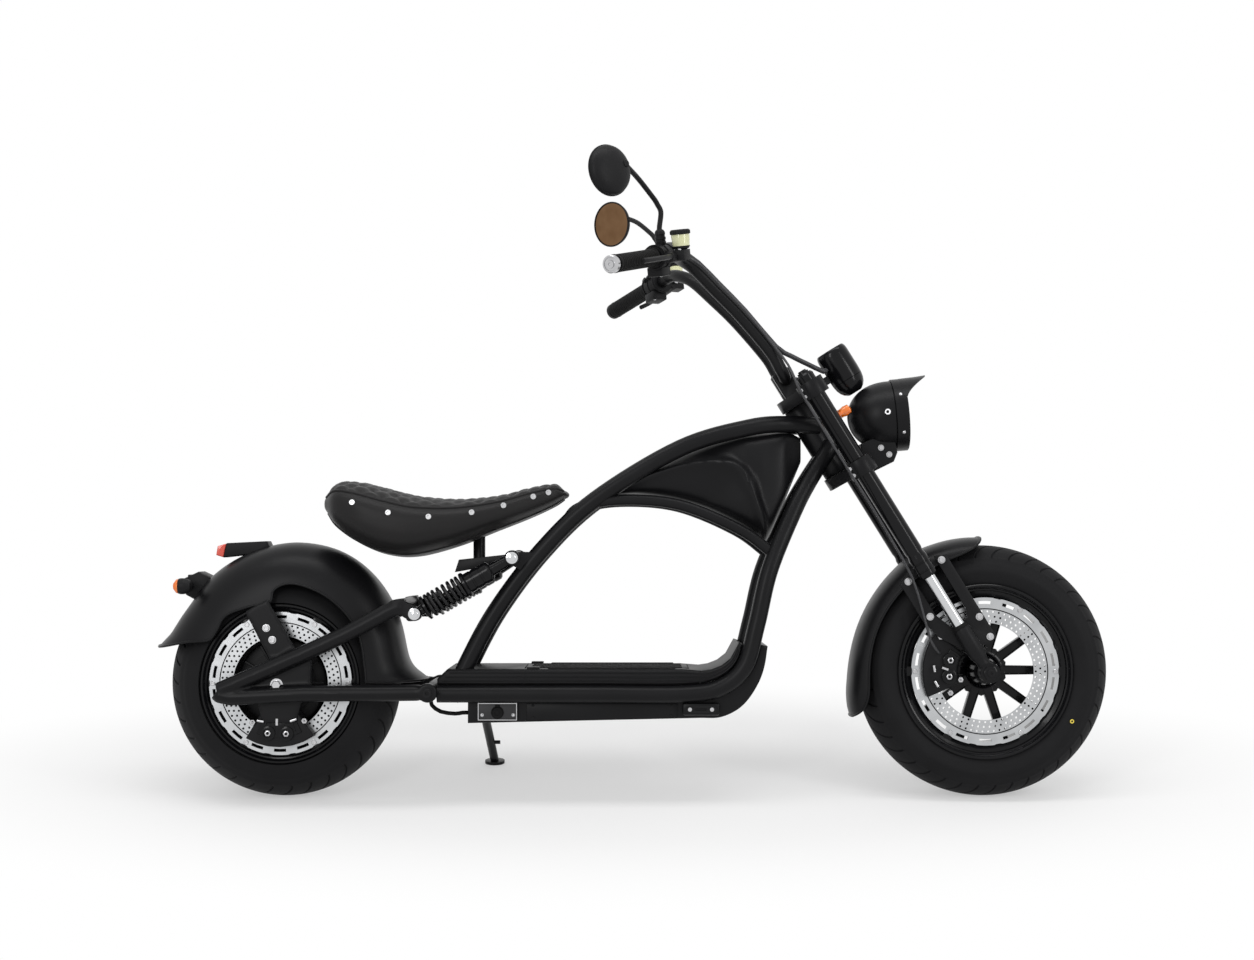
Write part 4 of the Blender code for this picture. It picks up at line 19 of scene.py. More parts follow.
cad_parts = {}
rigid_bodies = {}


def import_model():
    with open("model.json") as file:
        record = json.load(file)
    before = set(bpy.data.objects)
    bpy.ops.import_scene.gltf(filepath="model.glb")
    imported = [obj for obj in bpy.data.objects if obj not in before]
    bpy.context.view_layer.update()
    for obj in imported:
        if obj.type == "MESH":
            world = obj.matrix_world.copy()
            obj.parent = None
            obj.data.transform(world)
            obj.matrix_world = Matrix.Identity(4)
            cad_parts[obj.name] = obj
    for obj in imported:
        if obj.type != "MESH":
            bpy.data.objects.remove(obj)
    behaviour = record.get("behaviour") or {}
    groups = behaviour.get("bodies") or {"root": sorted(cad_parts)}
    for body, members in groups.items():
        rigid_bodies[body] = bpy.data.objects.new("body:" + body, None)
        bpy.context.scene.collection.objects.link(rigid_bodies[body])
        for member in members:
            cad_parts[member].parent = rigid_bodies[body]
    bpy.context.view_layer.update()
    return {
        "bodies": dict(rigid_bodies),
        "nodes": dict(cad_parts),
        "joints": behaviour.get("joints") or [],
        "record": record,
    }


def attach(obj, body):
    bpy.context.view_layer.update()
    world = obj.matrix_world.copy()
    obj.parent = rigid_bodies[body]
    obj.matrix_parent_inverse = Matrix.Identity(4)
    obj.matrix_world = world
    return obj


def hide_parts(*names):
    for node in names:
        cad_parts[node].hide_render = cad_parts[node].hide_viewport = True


LOG = logging.getLogger("scooter")

Shape = bmesh.types.BMesh
Point = tuple[float, float]
Spot = tuple[float, float, float]
Profile = Sequence[Point]
Part = tuple[Shape, Matrix]

REAR_AXLE_X = -0.707
RAKE = math.radians(31.7)
SIDES = (("left", 1), ("right", -1))
MERGE = 1e-6
FLANGE_HEIGHT = 0.008
LUGS = 6


class Body(str, Enum):
    """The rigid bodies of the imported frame."""

    CHASSIS = "chassis"
    STEERING = "steering"
    FRONT_WHEEL = "front_wheel"
    REAR_WHEEL = "rear_wheel"
    LID = "battery_lid"


@dataclass(frozen=True)
class Surface:
    """How one finish looks.

    Attributes:
        slot: the record's material slot, or a name that only the dressed model has.
        colour: base colour.
        shade: second colour that clouds drift towards.
        rough: lowest and highest roughness.
        clouds: scale of the broad variation, per metre.
        grain: scale of the fine grain, per metre.
        bump: height of the grain, in metres.
        metallic, coat, transmission, sheen, specular: the shader's own values.
        cells: whether the grain is cellular, as on leather and moulded plastic.
    """

    slot: str
    colour: Spot
    shade: Spot
    rough: Point
    clouds: float
    grain: float = 0.0
    bump: float = 0.0
    metallic: float = 0.0
    coat: float = 0.0
    transmission: float = 0.0
    sheen: float = 0.0
    specular: float = 0.5
    cells: bool = False


class Finish(Enum):
    """The record's material slots, and the finishes that only the dressed model has."""

    SATIN = Surface("satin_black_paint", (0.0045, 0.0045, 0.005), (0.008, 0.008, 0.009), (0.30, 0.42), 11, 1600,
                    0.00006, specular=0.14)
    GLOSS = Surface("gloss_black_paint", (0.003, 0.003, 0.0035), (0.005, 0.005, 0.006), (0.14, 0.22), 9, 1800,
                    0.00003, coat=0.06, specular=0.15)
    TYRE = Surface("tyre_rubber", (0.006, 0.006, 0.0065), (0.013, 0.013, 0.014), (0.50, 0.68), 14, 1100, 0.00015,
                   specular=0.10)
    DISC = Surface("brushed_disc_steel", (0.60, 0.61, 0.62), (0.34, 0.35, 0.36), (0.22, 0.36), 30, 2200, 0.00003, 1.0)
    CHROME = Surface("stanchion_chrome", (0.66, 0.67, 0.68), (0.52, 0.53, 0.54), (0.06, 0.12), 20, 900, 0.00001, 1.0)
    CAST = Surface("cast_black_alloy", (0.0055, 0.0055, 0.006), (0.011, 0.011, 0.012), (0.34, 0.50), 16, 900,
                   0.00012, specular=0.14)
    SPRING = Surface("spring_black", (0.004, 0.004, 0.0045), (0.007, 0.007, 0.008), (0.20, 0.30), 16, 1500, 0.00004,
                     coat=0.05, specular=0.22)
    LEATHER = Surface("black_leather", (0.006, 0.006, 0.0065), (0.013, 0.012, 0.012), (0.36, 0.52), 12, 420, 0.00028,
                      sheen=0.03, specular=0.18, cells=True)
    RUBBER = Surface("black_rubber", (0.005, 0.005, 0.005), (0.010, 0.010, 0.010), (0.55, 0.72), 20, 900, 0.00012,
                     specular=0.10)
    PLASTIC = Surface("black_plastic", (0.006, 0.006, 0.0065), (0.011, 0.011, 0.012), (0.38, 0.52), 14, 1300, 0.0001,
                      specular=0.13, cells=True)
    BRIGHT = Surface("bright_steel", (0.62, 0.62, 0.63), (0.40, 0.40, 0.41), (0.16, 0.28), 60, 1500, 0.00003, 1.0)
    FLUID = Surface("fluid_reservoir", (0.62, 0.63, 0.33), (0.74, 0.74, 0.50), (0.18, 0.28), 60, 900, 0.00003, coat=0.5)
    RED = Surface("red_lens", (0.62, 0.02, 0.01), (0.75, 0.10, 0.05), (0.08, 0.14), 80, 600, 0.00005, coat=0.6)
    AMBER = Surface("amber_lens", (0.80, 0.12, 0.005), (0.88, 0.24, 0.01), (0.08, 0.14), 80, 600, 0.00005, coat=0.6)
    CLEAR = Surface("clear_lens", (0.93, 0.95, 0.97), (0.96, 0.97, 0.98), (0.02, 0.04), 40, 600, 0.00002, coat=0.3,
                    transmission=0.9)
    MIRROR = Surface("mirror_glass", (0.10, 0.05, 0.022), (0.22, 0.13, 0.07), (0.02, 0.05), 30, metallic=1.0)
    BRAID = Surface("braided_hose", (0.012, 0.012, 0.013), (0.05, 0.05, 0.055), (0.3, 0.45), 400, 1800, 0.0004,
                    specular=0.4)
    YELLOW = Surface("yellow_mark", (0.80, 0.62, 0.05), (0.86, 0.70, 0.12), (0.5, 0.6), 40)
    DARK_PLATE = Surface("dark_plate", (0.014, 0.014, 0.015), (0.024, 0.024, 0.026), (0.36, 0.48), 16, 1400, 0.0001,
                         specular=0.35)
    WHITE = Surface("white_mark", (0.80, 0.80, 0.78), (0.86, 0.86, 0.84), (0.4, 0.5), 60)


def wire(tree: bpy.types.NodeTree, node: bpy.types.Node, inputs: dict[Any, Any]) -> None:
    """Sets a node's inputs.

    Args:
        tree: the node tree.
        node: the node.
        inputs: for each input, its value or the socket that it is linked to.
    """
    for name, value in inputs.items():
        if isinstance(value, bpy.types.NodeSocket):
            tree.links.new(value, node.inputs[name])
        else:
            node.inputs[name].default_value = value


def add_node(tree: bpy.types.NodeTree, kind: str, output: str | int, inputs: dict[Any, Any] | None = None,
             **settings: str) -> bpy.types.NodeSocket:
    """Adds a node to a tree.

    Args:
        tree: the node tree.
        kind: the node's type.
        output: the output that is wanted.
        inputs: its inputs, as wire takes them.
        **settings: the node's own settings.

    Returns:
        The output's socket.
    """
    node = tree.nodes.new(kind)
    for name, value in settings.items():
        setattr(node, name, value)
    wire(tree, node, inputs or {})
    return node.outputs[output]


class Palette:
    """Makes each finish's node material once."""

    def __init__(self) -> None:
        """Starts with no materials."""
        self._made: dict[Finish, bpy.types.Material] = {}

    def get(self, finish: Finish) -> bpy.types.Material:
        """Returns a finish's material, made on first use."""
        if finish not in self._made:
            self._made[finish] = self._build(finish.value)
        return self._made[finish]

    def _build(self, look: Surface) -> bpy.types.Material:
        """Builds a material with broad clouds of colour and gloss, and fine grain.

        Args:
            look: how the finish looks.

        Returns:
            The material.
        """
        material = bpy.data.materials.new(f"look_{look.slot}")
        material.use_nodes = True
        tree = material.node_tree
        place = add_node(tree, "ShaderNodeTexCoord", "Object")
        clouds = add_node(tree, "ShaderNodeTexNoise", "Fac", {"Scale": look.clouds, "Detail": 4.0, "Vector": place})
        inputs = {
            "Base Color": add_node(tree, "ShaderNodeMix", "Result", {
                "A": (*look.colour, 1.0), "B": (*look.shade, 1.0), "Factor": clouds}, data_type="RGBA"),
            "Roughness": add_node(tree, "ShaderNodeMapRange", "Result", {
                "To Min": look.rough[0], "To Max": look.rough[1], "Value": clouds}),
            "Metallic": look.metallic, "Coat Weight": look.coat, "Coat Roughness": 0.08,
            "Transmission Weight": look.transmission, "Sheen Weight": look.sheen, "Specular IOR Level": look.specular,
        }
        if look.bump:
            kind, output = ("Voronoi", "Distance") if look.cells else ("Noise", "Fac")
            grain = add_node(tree, f"ShaderNodeTex{kind}", output, {"Scale": look.grain, "Vector": place})
            inputs["Normal"] = add_node(tree, "ShaderNodeBump", "Normal", {
                "Strength": 0.6, "Distance": look.bump, "Height": grain})
        wire(tree, tree.nodes["Principled BSDF"], inputs)
        return material


class Rig:
    """The local frames in the world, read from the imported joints: bike, fork, and both hubs by wheel."""

    def __init__(self, joints: Sequence[dict]) -> None:
        """Reads the frames.

        Args:
            joints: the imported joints.
        """
        axis = {joint["name"]: Vector(joint["axis"]).normalized() for joint in joints}
        seat = {joint["name"]: Vector(joint["pos_m"]) for joint in joints}
        across = axis["rear_wheel_spin"]
        ahead = Vector((1, 0, 0))
        up = ahead.cross(across)
        lean = Matrix((ahead, across, up)).transposed()
        rear = seat["rear_wheel_spin"]
        self.bike = Matrix.Translation(rear - lean @ Vector((REAR_AXLE_X, 0, rear.z / up.z))) @ lean.to_4x4()
        self.hubs = {
            end: Matrix.Translation(seat[f"{end}_wheel_spin"]) @ lean.to_4x4() for end in ("front", "rear")
        }
        rise = axis["steering"]
        steer = Matrix((across.cross(rise), across, rise)).transposed().to_4x4()
        self.fork = Matrix.Translation(seat["steering"]) @ steer
        self.to_fork = self.fork.inverted() @ self.bike


def smooth_route(points: Iterable[Sequence[float]], steps: int = 6) -> list[Vector]:
    """Returns a Catmull-Rom curve through the points.

    Args:
        points: the route's points, with any number of coordinates.
        steps: spans to each stretch.

    Returns:
        The curve's points, both ends included.
    """
    knots = [Vector(point) for point in points]
    ends = [2 * knots[0] - knots[1], *knots, 2 * knots[-1] - knots[-2]]
    path: list[Vector] = []
    for before, start, end, after in zip(ends, ends[1:], ends[2:], ends[3:]):
        for step in range(steps):
            t = step / steps
            bend = 2 * start + (end - before) * t
            bend += (2 * before - 5 * start + 4 * end - after) * t**2
            bend += (3 * start - before - 3 * end + after) * t**3
            path.append(0.5 * bend)
    return [*path, knots[-1]]


def polar(radius: float, angle: float, centre: Point = (0.0, 0.0)) -> Point:
    """Returns the point at a radius and an angle round a centre."""
    return (centre[0] + radius * math.cos(angle), centre[1] + radius * math.sin(angle))


def clamp(value: float) -> float:
    """Returns a value held between 0 and 1."""
    return min(max(value, 0.0), 1.0)


def bow(value: float, squareness: float) -> float:
    """Returns a sine or cosine reshaped for a superellipse."""
    return math.copysign(abs(value) ** (2 / squareness), value)


def turned(degrees: float, axis: str) -> Matrix:
    """Returns a turn about an axis."""
    return Matrix.Rotation(math.radians(degrees), 4, axis)


def around(count: int, axis: str, start: float = 0.0) -> list[Matrix]:
    """Returns even turns about an axis; start is a share of the first step."""
    return [Matrix.Rotation(2 * math.pi * (index + start) / count, 4, axis) for index in range(count)]


def moved(x: float, y: float, z: float) -> Matrix:
    """Returns a shift."""
    return Matrix.Translation((x, y, z))


def facing(spot: Sequence[float], way: Sequence[float]) -> Matrix:
    """Returns a placement at a spot whose +Z looks along a direction."""
    return Matrix.Translation(spot) @ Vector(way).to_track_quat("Z", "Y").to_matrix().to_4x4()


def mirrored(half: Profile) -> list[Point]:
    """Returns a closed section from its half on the +Y side."""
    return [*half, *((-y, radius) for y, radius in reversed(half))]


def lathe(profile: Profile, steps: int = 48, axis: str = "Z") -> Shape:
    """Spins a profile of (along, radius) points; a profile that leaves the axis is closed on itself.

    Args:
        profile: the section's points.
        steps: facets round the axis.
        axis: X, Y or Z.

    Returns:
        The turned shape.
    """
    along = Vector([float(axis == name) for name in "XYZ"])
    out = {"X": Vector((0, 0, 1)), "Y": Vector((0, 0, -1)), "Z": Vector((1, 0, 0))}[axis]
    shape = bmesh.new()
    section = [shape.verts.new(along * offset + out * radius) for offset, radius in profile]
    pairs = list(zip(section, section[1:]))
    if max(profile[0][1], profile[-1][1]) > MERGE:
        pairs.append((section[-1], section[0]))
    edges = [shape.edges.new(pair) for pair in pairs]
    bmesh.ops.spin(shape, geom=section + edges, cent=(0, 0, 0), axis=along, angle=2 * math.pi, steps=steps,
                   use_merge=True)
    return welded(shape)


def welded(shape: Shape) -> Shape:
    """Merges a shape's doubles and turns its faces outward.

    Args:
        shape: the shape, which is changed.

    Returns:
        The same shape.
    """
    bmesh.ops.remove_doubles(shape, verts=shape.verts, dist=MERGE)
    bmesh.ops.recalc_face_normals(shape, faces=shape.faces)
    return shape


def rounded(shape: Shape, edges: Iterable[bmesh.types.BMEdge], width: float, segments: int = 2) -> Shape:
    """Bevels some of a shape's edges with a round profile."""
    bmesh.ops.bevel(shape, geom=list(edges), offset=width, segments=segments, affect="EDGES", profile=0.5,
                    material=-1)
    return shape


def prism(outline: Profile, low: float, high: float, bevel: float = 0.0, segments: int = 2) -> Shape:
    """Extrudes an (x, z) outline along Y, with bevelled rims.

    Args:
        outline: the corners in order.
        low: one end's y.
        high: the other end's y.
        bevel: width of the rims' bevel.
        segments: steps of the bevel.

    Returns:
        The extruded shape.
    """
    low, high = sorted((low, high))
    shape = bmesh.new()
    face = shape.faces.new([shape.verts.new((x, low, z)) for x, z in outline])
    grown = bmesh.ops.extrude_face_region(shape, geom=[face])
    top = [item for item in grown["geom"] if isinstance(item, bmesh.types.BMVert)]
    bmesh.ops.translate(shape, verts=top, vec=(0, high - low, 0))
    bmesh.ops.recalc_face_normals(shape, faces=shape.faces)
    if bevel:
        rounded(shape, [edge for edge in shape.edges if abs(edge.verts[0].co.y - edge.verts[1].co.y) < 1e-7],
                bevel, segments)
    return shape


def box(low: Sequence[float], high: Sequence[float], bevel: float = 0.002) -> Shape:
    """Returns a box with rounded edges.

    Args:
        low: one corner.
        high: the opposite corner.
        bevel: width of the edges' bevel.

    Returns:
        The box.
    """
    ends = [sorted(pair) for pair in zip(low, high)]
    low, high = Vector([end[0] for end in ends]), Vector([end[1] for end in ends])
    shape = bmesh.new()
    size = Matrix.Diagonal((*(high - low), 1.0))
    bmesh.ops.create_cube(shape, size=1.0, matrix=Matrix.Translation((low + high) / 2) @ size)
    return rounded(shape, shape.edges[:], bevel)


def grid(rows: Sequence[Sequence[Vector]], wrap_rows: bool = False) -> Shape:
    """Bends a grid of quads through rows of points, each of which closes on itself.

    Args:
        rows: the points, row by row.
        wrap_rows: whether the last row joins the first.

    Returns:
        The sheet.
    """
    lines = [[*row, row[0]] for row in rows]
    if wrap_rows:
        lines.append(lines[0])
    shape = bmesh.new()
    bmesh.ops.create_grid(shape, x_segments=len(lines[0]) - 1, y_segments=len(lines) - 1, size=1.0)
    for vert, point in zip(shape.verts, (point for line in lines for point in line)):
        vert.co = point
    return welded(shape)


def closed(shape: Shape) -> Shape:
    """Caps a sheet's open ends and turns its faces outward.

    Args:
        shape: the sheet, which is changed.

    Returns:
        The same shape.
    """
    bmesh.ops.holes_fill(shape, edges=shape.edges[:], sides=0)
    bmesh.ops.recalc_face_normals(shape, faces=shape.faces)
    return shape


def pipe(points: Sequence[Sequence[float]], radius: float, sides: int = 12) -> Shape:
    """Sweeps a circle along the points with capped ends.

    Args:
        points: the centre line.
        radius: the pipe's radius.
        sides: facets round the pipe.

    Returns:
        The swept shape.
    """
    points = [Vector(point) for point in points]
    normal = None
    hoops = []
    for index, point in enumerate(points):
        run = (points[min(index + 1, len(points) - 1)] - points[max(index - 1, 0)]).normalized()
        if normal is None:
            normal = run.orthogonal().normalized()
        normal = (normal - run * normal.dot(run)).normalized()
        third = run.cross(normal)
        turns = [2 * math.pi * side / sides for side in range(sides)]
        hoops.append([point + (normal * math.cos(turn) + third * math.sin(turn)) * radius for turn in turns])
    return closed(grid(hoops))


def perforated(outline: Profile, holes: Sequence[Profile], thickness: float) -> Shape:
    """Returns a flat plate in the (x, z) plane with holes, centred on y = 0.

    Args:
        outline: the plate's outer edge.
        holes: the edge of each hole.
        thickness: the plate's thickness.

    Returns:
        The plate.
    """
    curve = bpy.data.curves.new("plate", "CURVE")
    curve.dimensions = "2D"
    curve.fill_mode = "BOTH"
    curve.extrude = thickness / 2
    for edge in [outline, *holes]:
        spline = curve.splines.new("POLY")
        spline.points.add(len(edge) - 1)
        for target, (x, z) in zip(spline.points, edge):
            target.co = (x, z, 0.0, 1.0)
        spline.use_cyclic_u = True
    holder = bpy.data.objects.new("plate", curve)
    mesh = bpy.data.meshes.new_from_object(holder)
    shape = bmesh.new()
    shape.from_mesh(mesh)
    bmesh.ops.transform(shape, matrix=turned(90, "X"), verts=shape.verts)
    bmesh.ops.remove_doubles(shape, verts=shape.verts, dist=MERGE)
    bpy.data.objects.remove(holder)
    bpy.data.curves.remove(curve)
    bpy.data.meshes.remove(mesh)
    return shape


def ring_of(radius: float, count: int, centre: Point = (0.0, 0.0)) -> list[Point]:
    """Returns points round a circle in the (x, z) plane."""
    return [polar(radius, 2 * math.pi * index / count, centre) for index in range(count)]


class Head(Enum):
    """Kinds of bolt head: facets round it, and its section as shares of its height and radius."""

    HEX = (6, ((0, 0), (0, 1), (0.8, 1), (1, 0.86), (1, 0)))
    SOCKET = (18, ((0, 0), (0, 1), (0.85, 1), (1, 0.9), (1, 0.5), (0.4, 0.5), (0.4, 0)))
    DOME = (18, ((0, 0), (0, 1), (0.25, 1), (0.7, 0.78), (1, 0.35), (1, 0)))


def bolt(radius: float, height: float, kind: Head = Head.SOCKET) -> Shape:
    """Returns a bolt head that stands on z = 0 and looks along +Z."""
    sides, section = kind.value
    return lathe([(height * along, radius * out) for along, out in section], sides)


@dataclass
class Assembly:
    """A sub-assembly: its fields are its sizes, and build makes its pieces.

    Attributes:
        rig: the local frames.
        palette: the materials.
        made: the pieces made so far.
    """

    rig: Rig
    palette: Palette
    made: list[bpy.types.Object] = field(default_factory=list, init=False)

    def build(self) -> None:
        """Makes the pieces."""
        raise NotImplementedError

    def piece(self, name: str, body: Body, finish: Finish, parts: Iterable[Part], crease: float = 35.0,
              replaces: str = "", slot: Finish | None = None) -> bpy.types.Object:
        """Joins shapes into one piece and lets it ride on its body.

        Args:
            name: the piece's name.
            body: the body it rides on.
            finish: its finish.
            parts: each shape, which is used up, and its placement in the world.
            crease: edges sharper than this many degrees stay sharp.
            replaces: the node that the piece stands for.
            slot: not used; the finish whose slot the piece was meant to take, if not its own.

        Returns:
            The piece's object.
        """
        whole = bmesh.new()
        for shape, place in parts:
            bmesh.ops.transform(shape, matrix=place, verts=shape.verts)
            carrier = bpy.data.meshes.new("carrier")
            shape.to_mesh(carrier)
            whole.from_mesh(carrier)
            bpy.data.meshes.remove(carrier)
            shape.free()
        mesh = bpy.data.meshes.new(name)
        whole.to_mesh(mesh)
        whole.free()
        mesh.shade_smooth()
        mesh.set_sharp_from_angle(angle=math.radians(crease))
        mesh.materials.append(self.palette.get(finish))
        made = bpy.data.objects.new(name, mesh)
        bpy.context.scene.collection.objects.link(made)
        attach(made, body.value)
        if replaces:
            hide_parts(replaces)
        self.made.append(made)
        return made


@dataclass(frozen=True)
class WheelSize:
    """What a wheel's tyre, casting and disc share."""

    end: str
    body: Body
    bead_half_width: float
    seat_radius: float


FRONT = WheelSize("front", Body.FRONT_WHEEL, 0.058, 0.165)
REAR = WheelSize("rear", Body.REAR_WHEEL, 0.084, 0.149)


@dataclass
class Tyre(Assembly):
    """A tyre with curved tread grooves, shoulder ridge and ringed sidewalls; angles are in degrees.

    Each of LINES is a line of one tread pitch: share of the pitch, depth share on the near side, on the far.
    """

    size: WheelSize
    radius: float
    crown: float
    pitches: int
    shoulder: float
    sweep: float
    widest: float = 72.0
    groove_depth: float = 0.0035
    rows_across: int = 24
    wall_rows: int = 5

    LINES = (
        (0.00, 0.0, 0.0), (0.035, 1.0, 0.0), (0.105, 1.0, 0.0), (0.14, 0.0, 0.0), (0.32, 0.0, 0.0),
        (0.50, 0.0, 0.0), (0.535, 0.0, 1.0), (0.605, 0.0, 1.0), (0.64, 0.0, 0.0), (0.82, 0.0, 0.0),
    )

    def section(self) -> list[tuple[float, float, float, float]]:
        """Works out the tyre's section.

        Returns:
            (y, radius, groove share, sweep share) from bead to bead.
        """
        centre = self.radius - self.crown
        shoulder = math.radians(self.shoulder)
        half: list[tuple[float, float, float, float]] = []
        for step in range(self.rows_across + 1):
            angle = math.radians(self.widest) * step / self.rows_across
            share = min(angle / shoulder, 1.0)
            deep = 0.0 if share < 0.12 or share > 0.985 else min((share - 0.12) / 0.10, 1.0)
            past = math.degrees(angle - shoulder)
            ridge = 0.0012 * math.exp(-((past - 1.5) / 1.6) ** 2)
            reach = self.crown + ridge + 0.0008 * math.exp(-((past - 12.0) / 1.2) ** 2)
            half.append((reach * math.sin(angle), centre + reach * math.cos(angle), deep, share))
        bead, seat = self.size.bead_half_width, self.size.seat_radius
        flange = seat + FLANGE_HEIGHT
        last_y, last_r = half[-1][:2]
        for step in range(1, self.wall_rows + 1):
            t = step / self.wall_rows
            half.append((last_y + (bead + 0.0008 - last_y) * t**1.6, last_r + (flange + 0.0022 - last_r) * t, 0.0, 1.0))
        half += [(bead - 0.001, flange - 0.001, 0.0, 1.0), (bead - 0.006, seat + 0.001, 0.0, 1.0)]
        return [(-y, *rest) for y, *rest in reversed(half[1:])] + half

    def build(self) -> None:
        """Makes the tyre."""
        section = self.section()
        rows = []
        for index in range(self.pitches):
            for share, near, far in self.LINES:
                base = (index + share) * 2 * math.pi / self.pitches
                row = []
                for y, radius, deep, reach in section:
                    depth = self.groove_depth * deep * (near if y < 0 else far)
                    x, z = polar(radius - depth, base - math.radians(self.sweep) * (1 - reach) ** 1.7)
                    row.append(Vector((x, y, z)))
                rows.append(row)
        end = self.size.end
        self.piece(f"{end}_tyre_tread", self.size.body, Finish.TYRE,
                   [(grid(rows, wrap_rows=True), self.rig.hubs[end])], 50.0, f"{end}_tyre")


@dataclass
class Wheel(Assembly):
    """What both castings share: the rim and the brake disc's lugs."""

    size: WheelSize
    lug_reach: float
    lug_ends: Point
    drop_depth: float = 0.0195
    steps: int = 120

    def tip(self) -> float:
        """Returns the radius at which spokes and lugs meet the rim."""
        return self.size.seat_radius - 0.0045

    def rim(self) -> Part:
        """Makes the rim, with rounded lips and a stepped barrel.

        Returns:
            The rim and its placement.
        """
        near = self.size.bead_half_width + 0.0003
        far = near + 0.005
        seat = self.size.seat_radius
        top = seat + FLANGE_HEIGHT
        drop = self.drop_depth
        section = [
            (near, seat), (near, top - 0.001), (near + 0.0012, top), (far - 0.0012, top), (far, top - 0.0016),
            (far, top - 0.0050), (far - 0.0025, top - 0.0075), (far - 0.006, seat - 0.0012),
            (far - 0.007, seat - 0.0040), (near - 0.0085, seat - 0.0052), (near - 0.0120, seat - drop * 0.6),
            (near - 0.0160, seat - drop),
        ]
        return lathe(mirrored(section), self.steps, "Y"), self.rig.hubs[self.size.end]

    def lugs(self) -> list[Part]:
        """Makes the lugs, from the rim in to the disc.

        Returns:
            The lugs and their placements.
        """
        inner, outer = self.lug_reach, self.tip() + 0.003
        outline = [(-0.008, inner), (-0.0055, inner - 0.003), (0.0055, inner - 0.003), (0.008, inner), (0.011, outer),
                   (-0.011, outer)]
        hub = self.rig.hubs[self.size.end]
        return [(prism(outline, *self.lug_ends, 0.0015), hub @ turn) for turn in around(LUGS, "Y", 0.5)]


@dataclass
class FrontWheel(Wheel):
    """The front wheel's casting: rim, ten fluted spokes, webbed hub, lugs and a valve."""

    hub_half_width: float = 0.066
    spokes: int = 10
    spoke_foot: float = 0.030
    spoke_half_width: float = 0.0095
    spoke_half_depth: float = 0.011
    valve_at: float = 205.0

    def build(self) -> None:
        """Makes the casting and the valve."""
        hub, half, tip = self.rig.hubs["front"], self.hub_half_width, self.tip()
        section = [(0.0095, 0.0465), (0.010, 0.040), (0.014, 0.034), (0.030, 0.029), (half - 0.006, 0.026),
                   (half, 0.0235), (half, 0.0106)]
        web = [(-0.010, 0.026), (0.010, 0.026), (0.0135, 0.046), (0.0, 0.052), (-0.0135, 0.046)]
        parts = [self.rim(), (lathe(mirrored(section), 48, "Y"), hub)]
        for spoke_turn, web_turn in zip(around(self.spokes, "Y", 0.5), around(self.spokes, "Y")):
            parts += [(self.spoke(), hub @ spoke_turn), (prism(web, -0.0075, 0.0075, 0.002), hub @ web_turn)]
        self.piece("front_wheel_casting", self.size.body, Finish.GLOSS, parts + self.lugs(), 35.0, "front_wheel",
                   Finish.CAST)
        self.piece("front_valve", self.size.body, Finish.RUBBER, [
            (pipe([(0, -0.030, tip + 0.002), (0, -0.036, tip - 0.030)], 0.0035, 10), hub @ turned(self.valve_at, "Y")),
        ])

    def spoke(self) -> Shape:
        """Makes one spoke along +Z with a flute pressed into each face.

        Returns:
            The spoke.
        """
        half, depth, tip = self.spoke_half_width, self.spoke_half_depth, self.tip()
        outline = [(-half, self.spoke_foot), (half, self.spoke_foot), (half * 0.82, tip), (-half * 0.82, tip)]
        shape = prism(outline, -depth, depth)
        faces = [face for face in shape.faces if abs(face.normal.y) > 0.9]
        bmesh.ops.inset_individual(shape, faces=faces, thickness=0.0028, depth=0.0)
        bmesh.ops.inset_individual(shape, faces=faces, thickness=0.0012, depth=-0.004)
        return rounded(shape, [edge for edge in shape.edges
                               if all(abs(abs(vert.co.y) - depth) < MERGE for vert in edge.verts)], 0.0008)


@dataclass
class RearWheel(Wheel):
    """The rear wheel's casting: rim, lugs, and the hub motor's ribbed drum."""

    ribs: int = 12

    def build(self) -> None:
        """Makes the casting and the drum."""
        hub = self.rig.hubs["rear"]
        self.piece("rear_wheel_casting", self.size.body, Finish.GLOSS, [self.rim(), *self.lugs()], 35.0, "rear_wheel",
                   Finish.CAST)
        section = [(0.013, self.tip() + 0.002), (0.013, 0.088), (0.050, 0.088), (0.056, 0.0855), (0.058, 0.080),
                   (0.060, 0.066), (0.063, 0.0655), (0.064, 0.040), (0.067, 0.028), (0.096, 0.0255), (0.100, 0.022),
                   (0.100, 0.0106)]
        rib = [(-0.0022, 0.030), (0.0022, 0.030), (0.0022, 0.084), (-0.0022, 0.084)]
        self.piece("rear_motor_drum", self.size.body, Finish.CAST, [(lathe(mirrored(section), 96, "Y"), hub), *(
            (prism(rib, side * 0.058, side * 0.068, 0.0008), hub @ turn)
            for side in (1, -1) for turn in around(self.ribs, "Y"))])


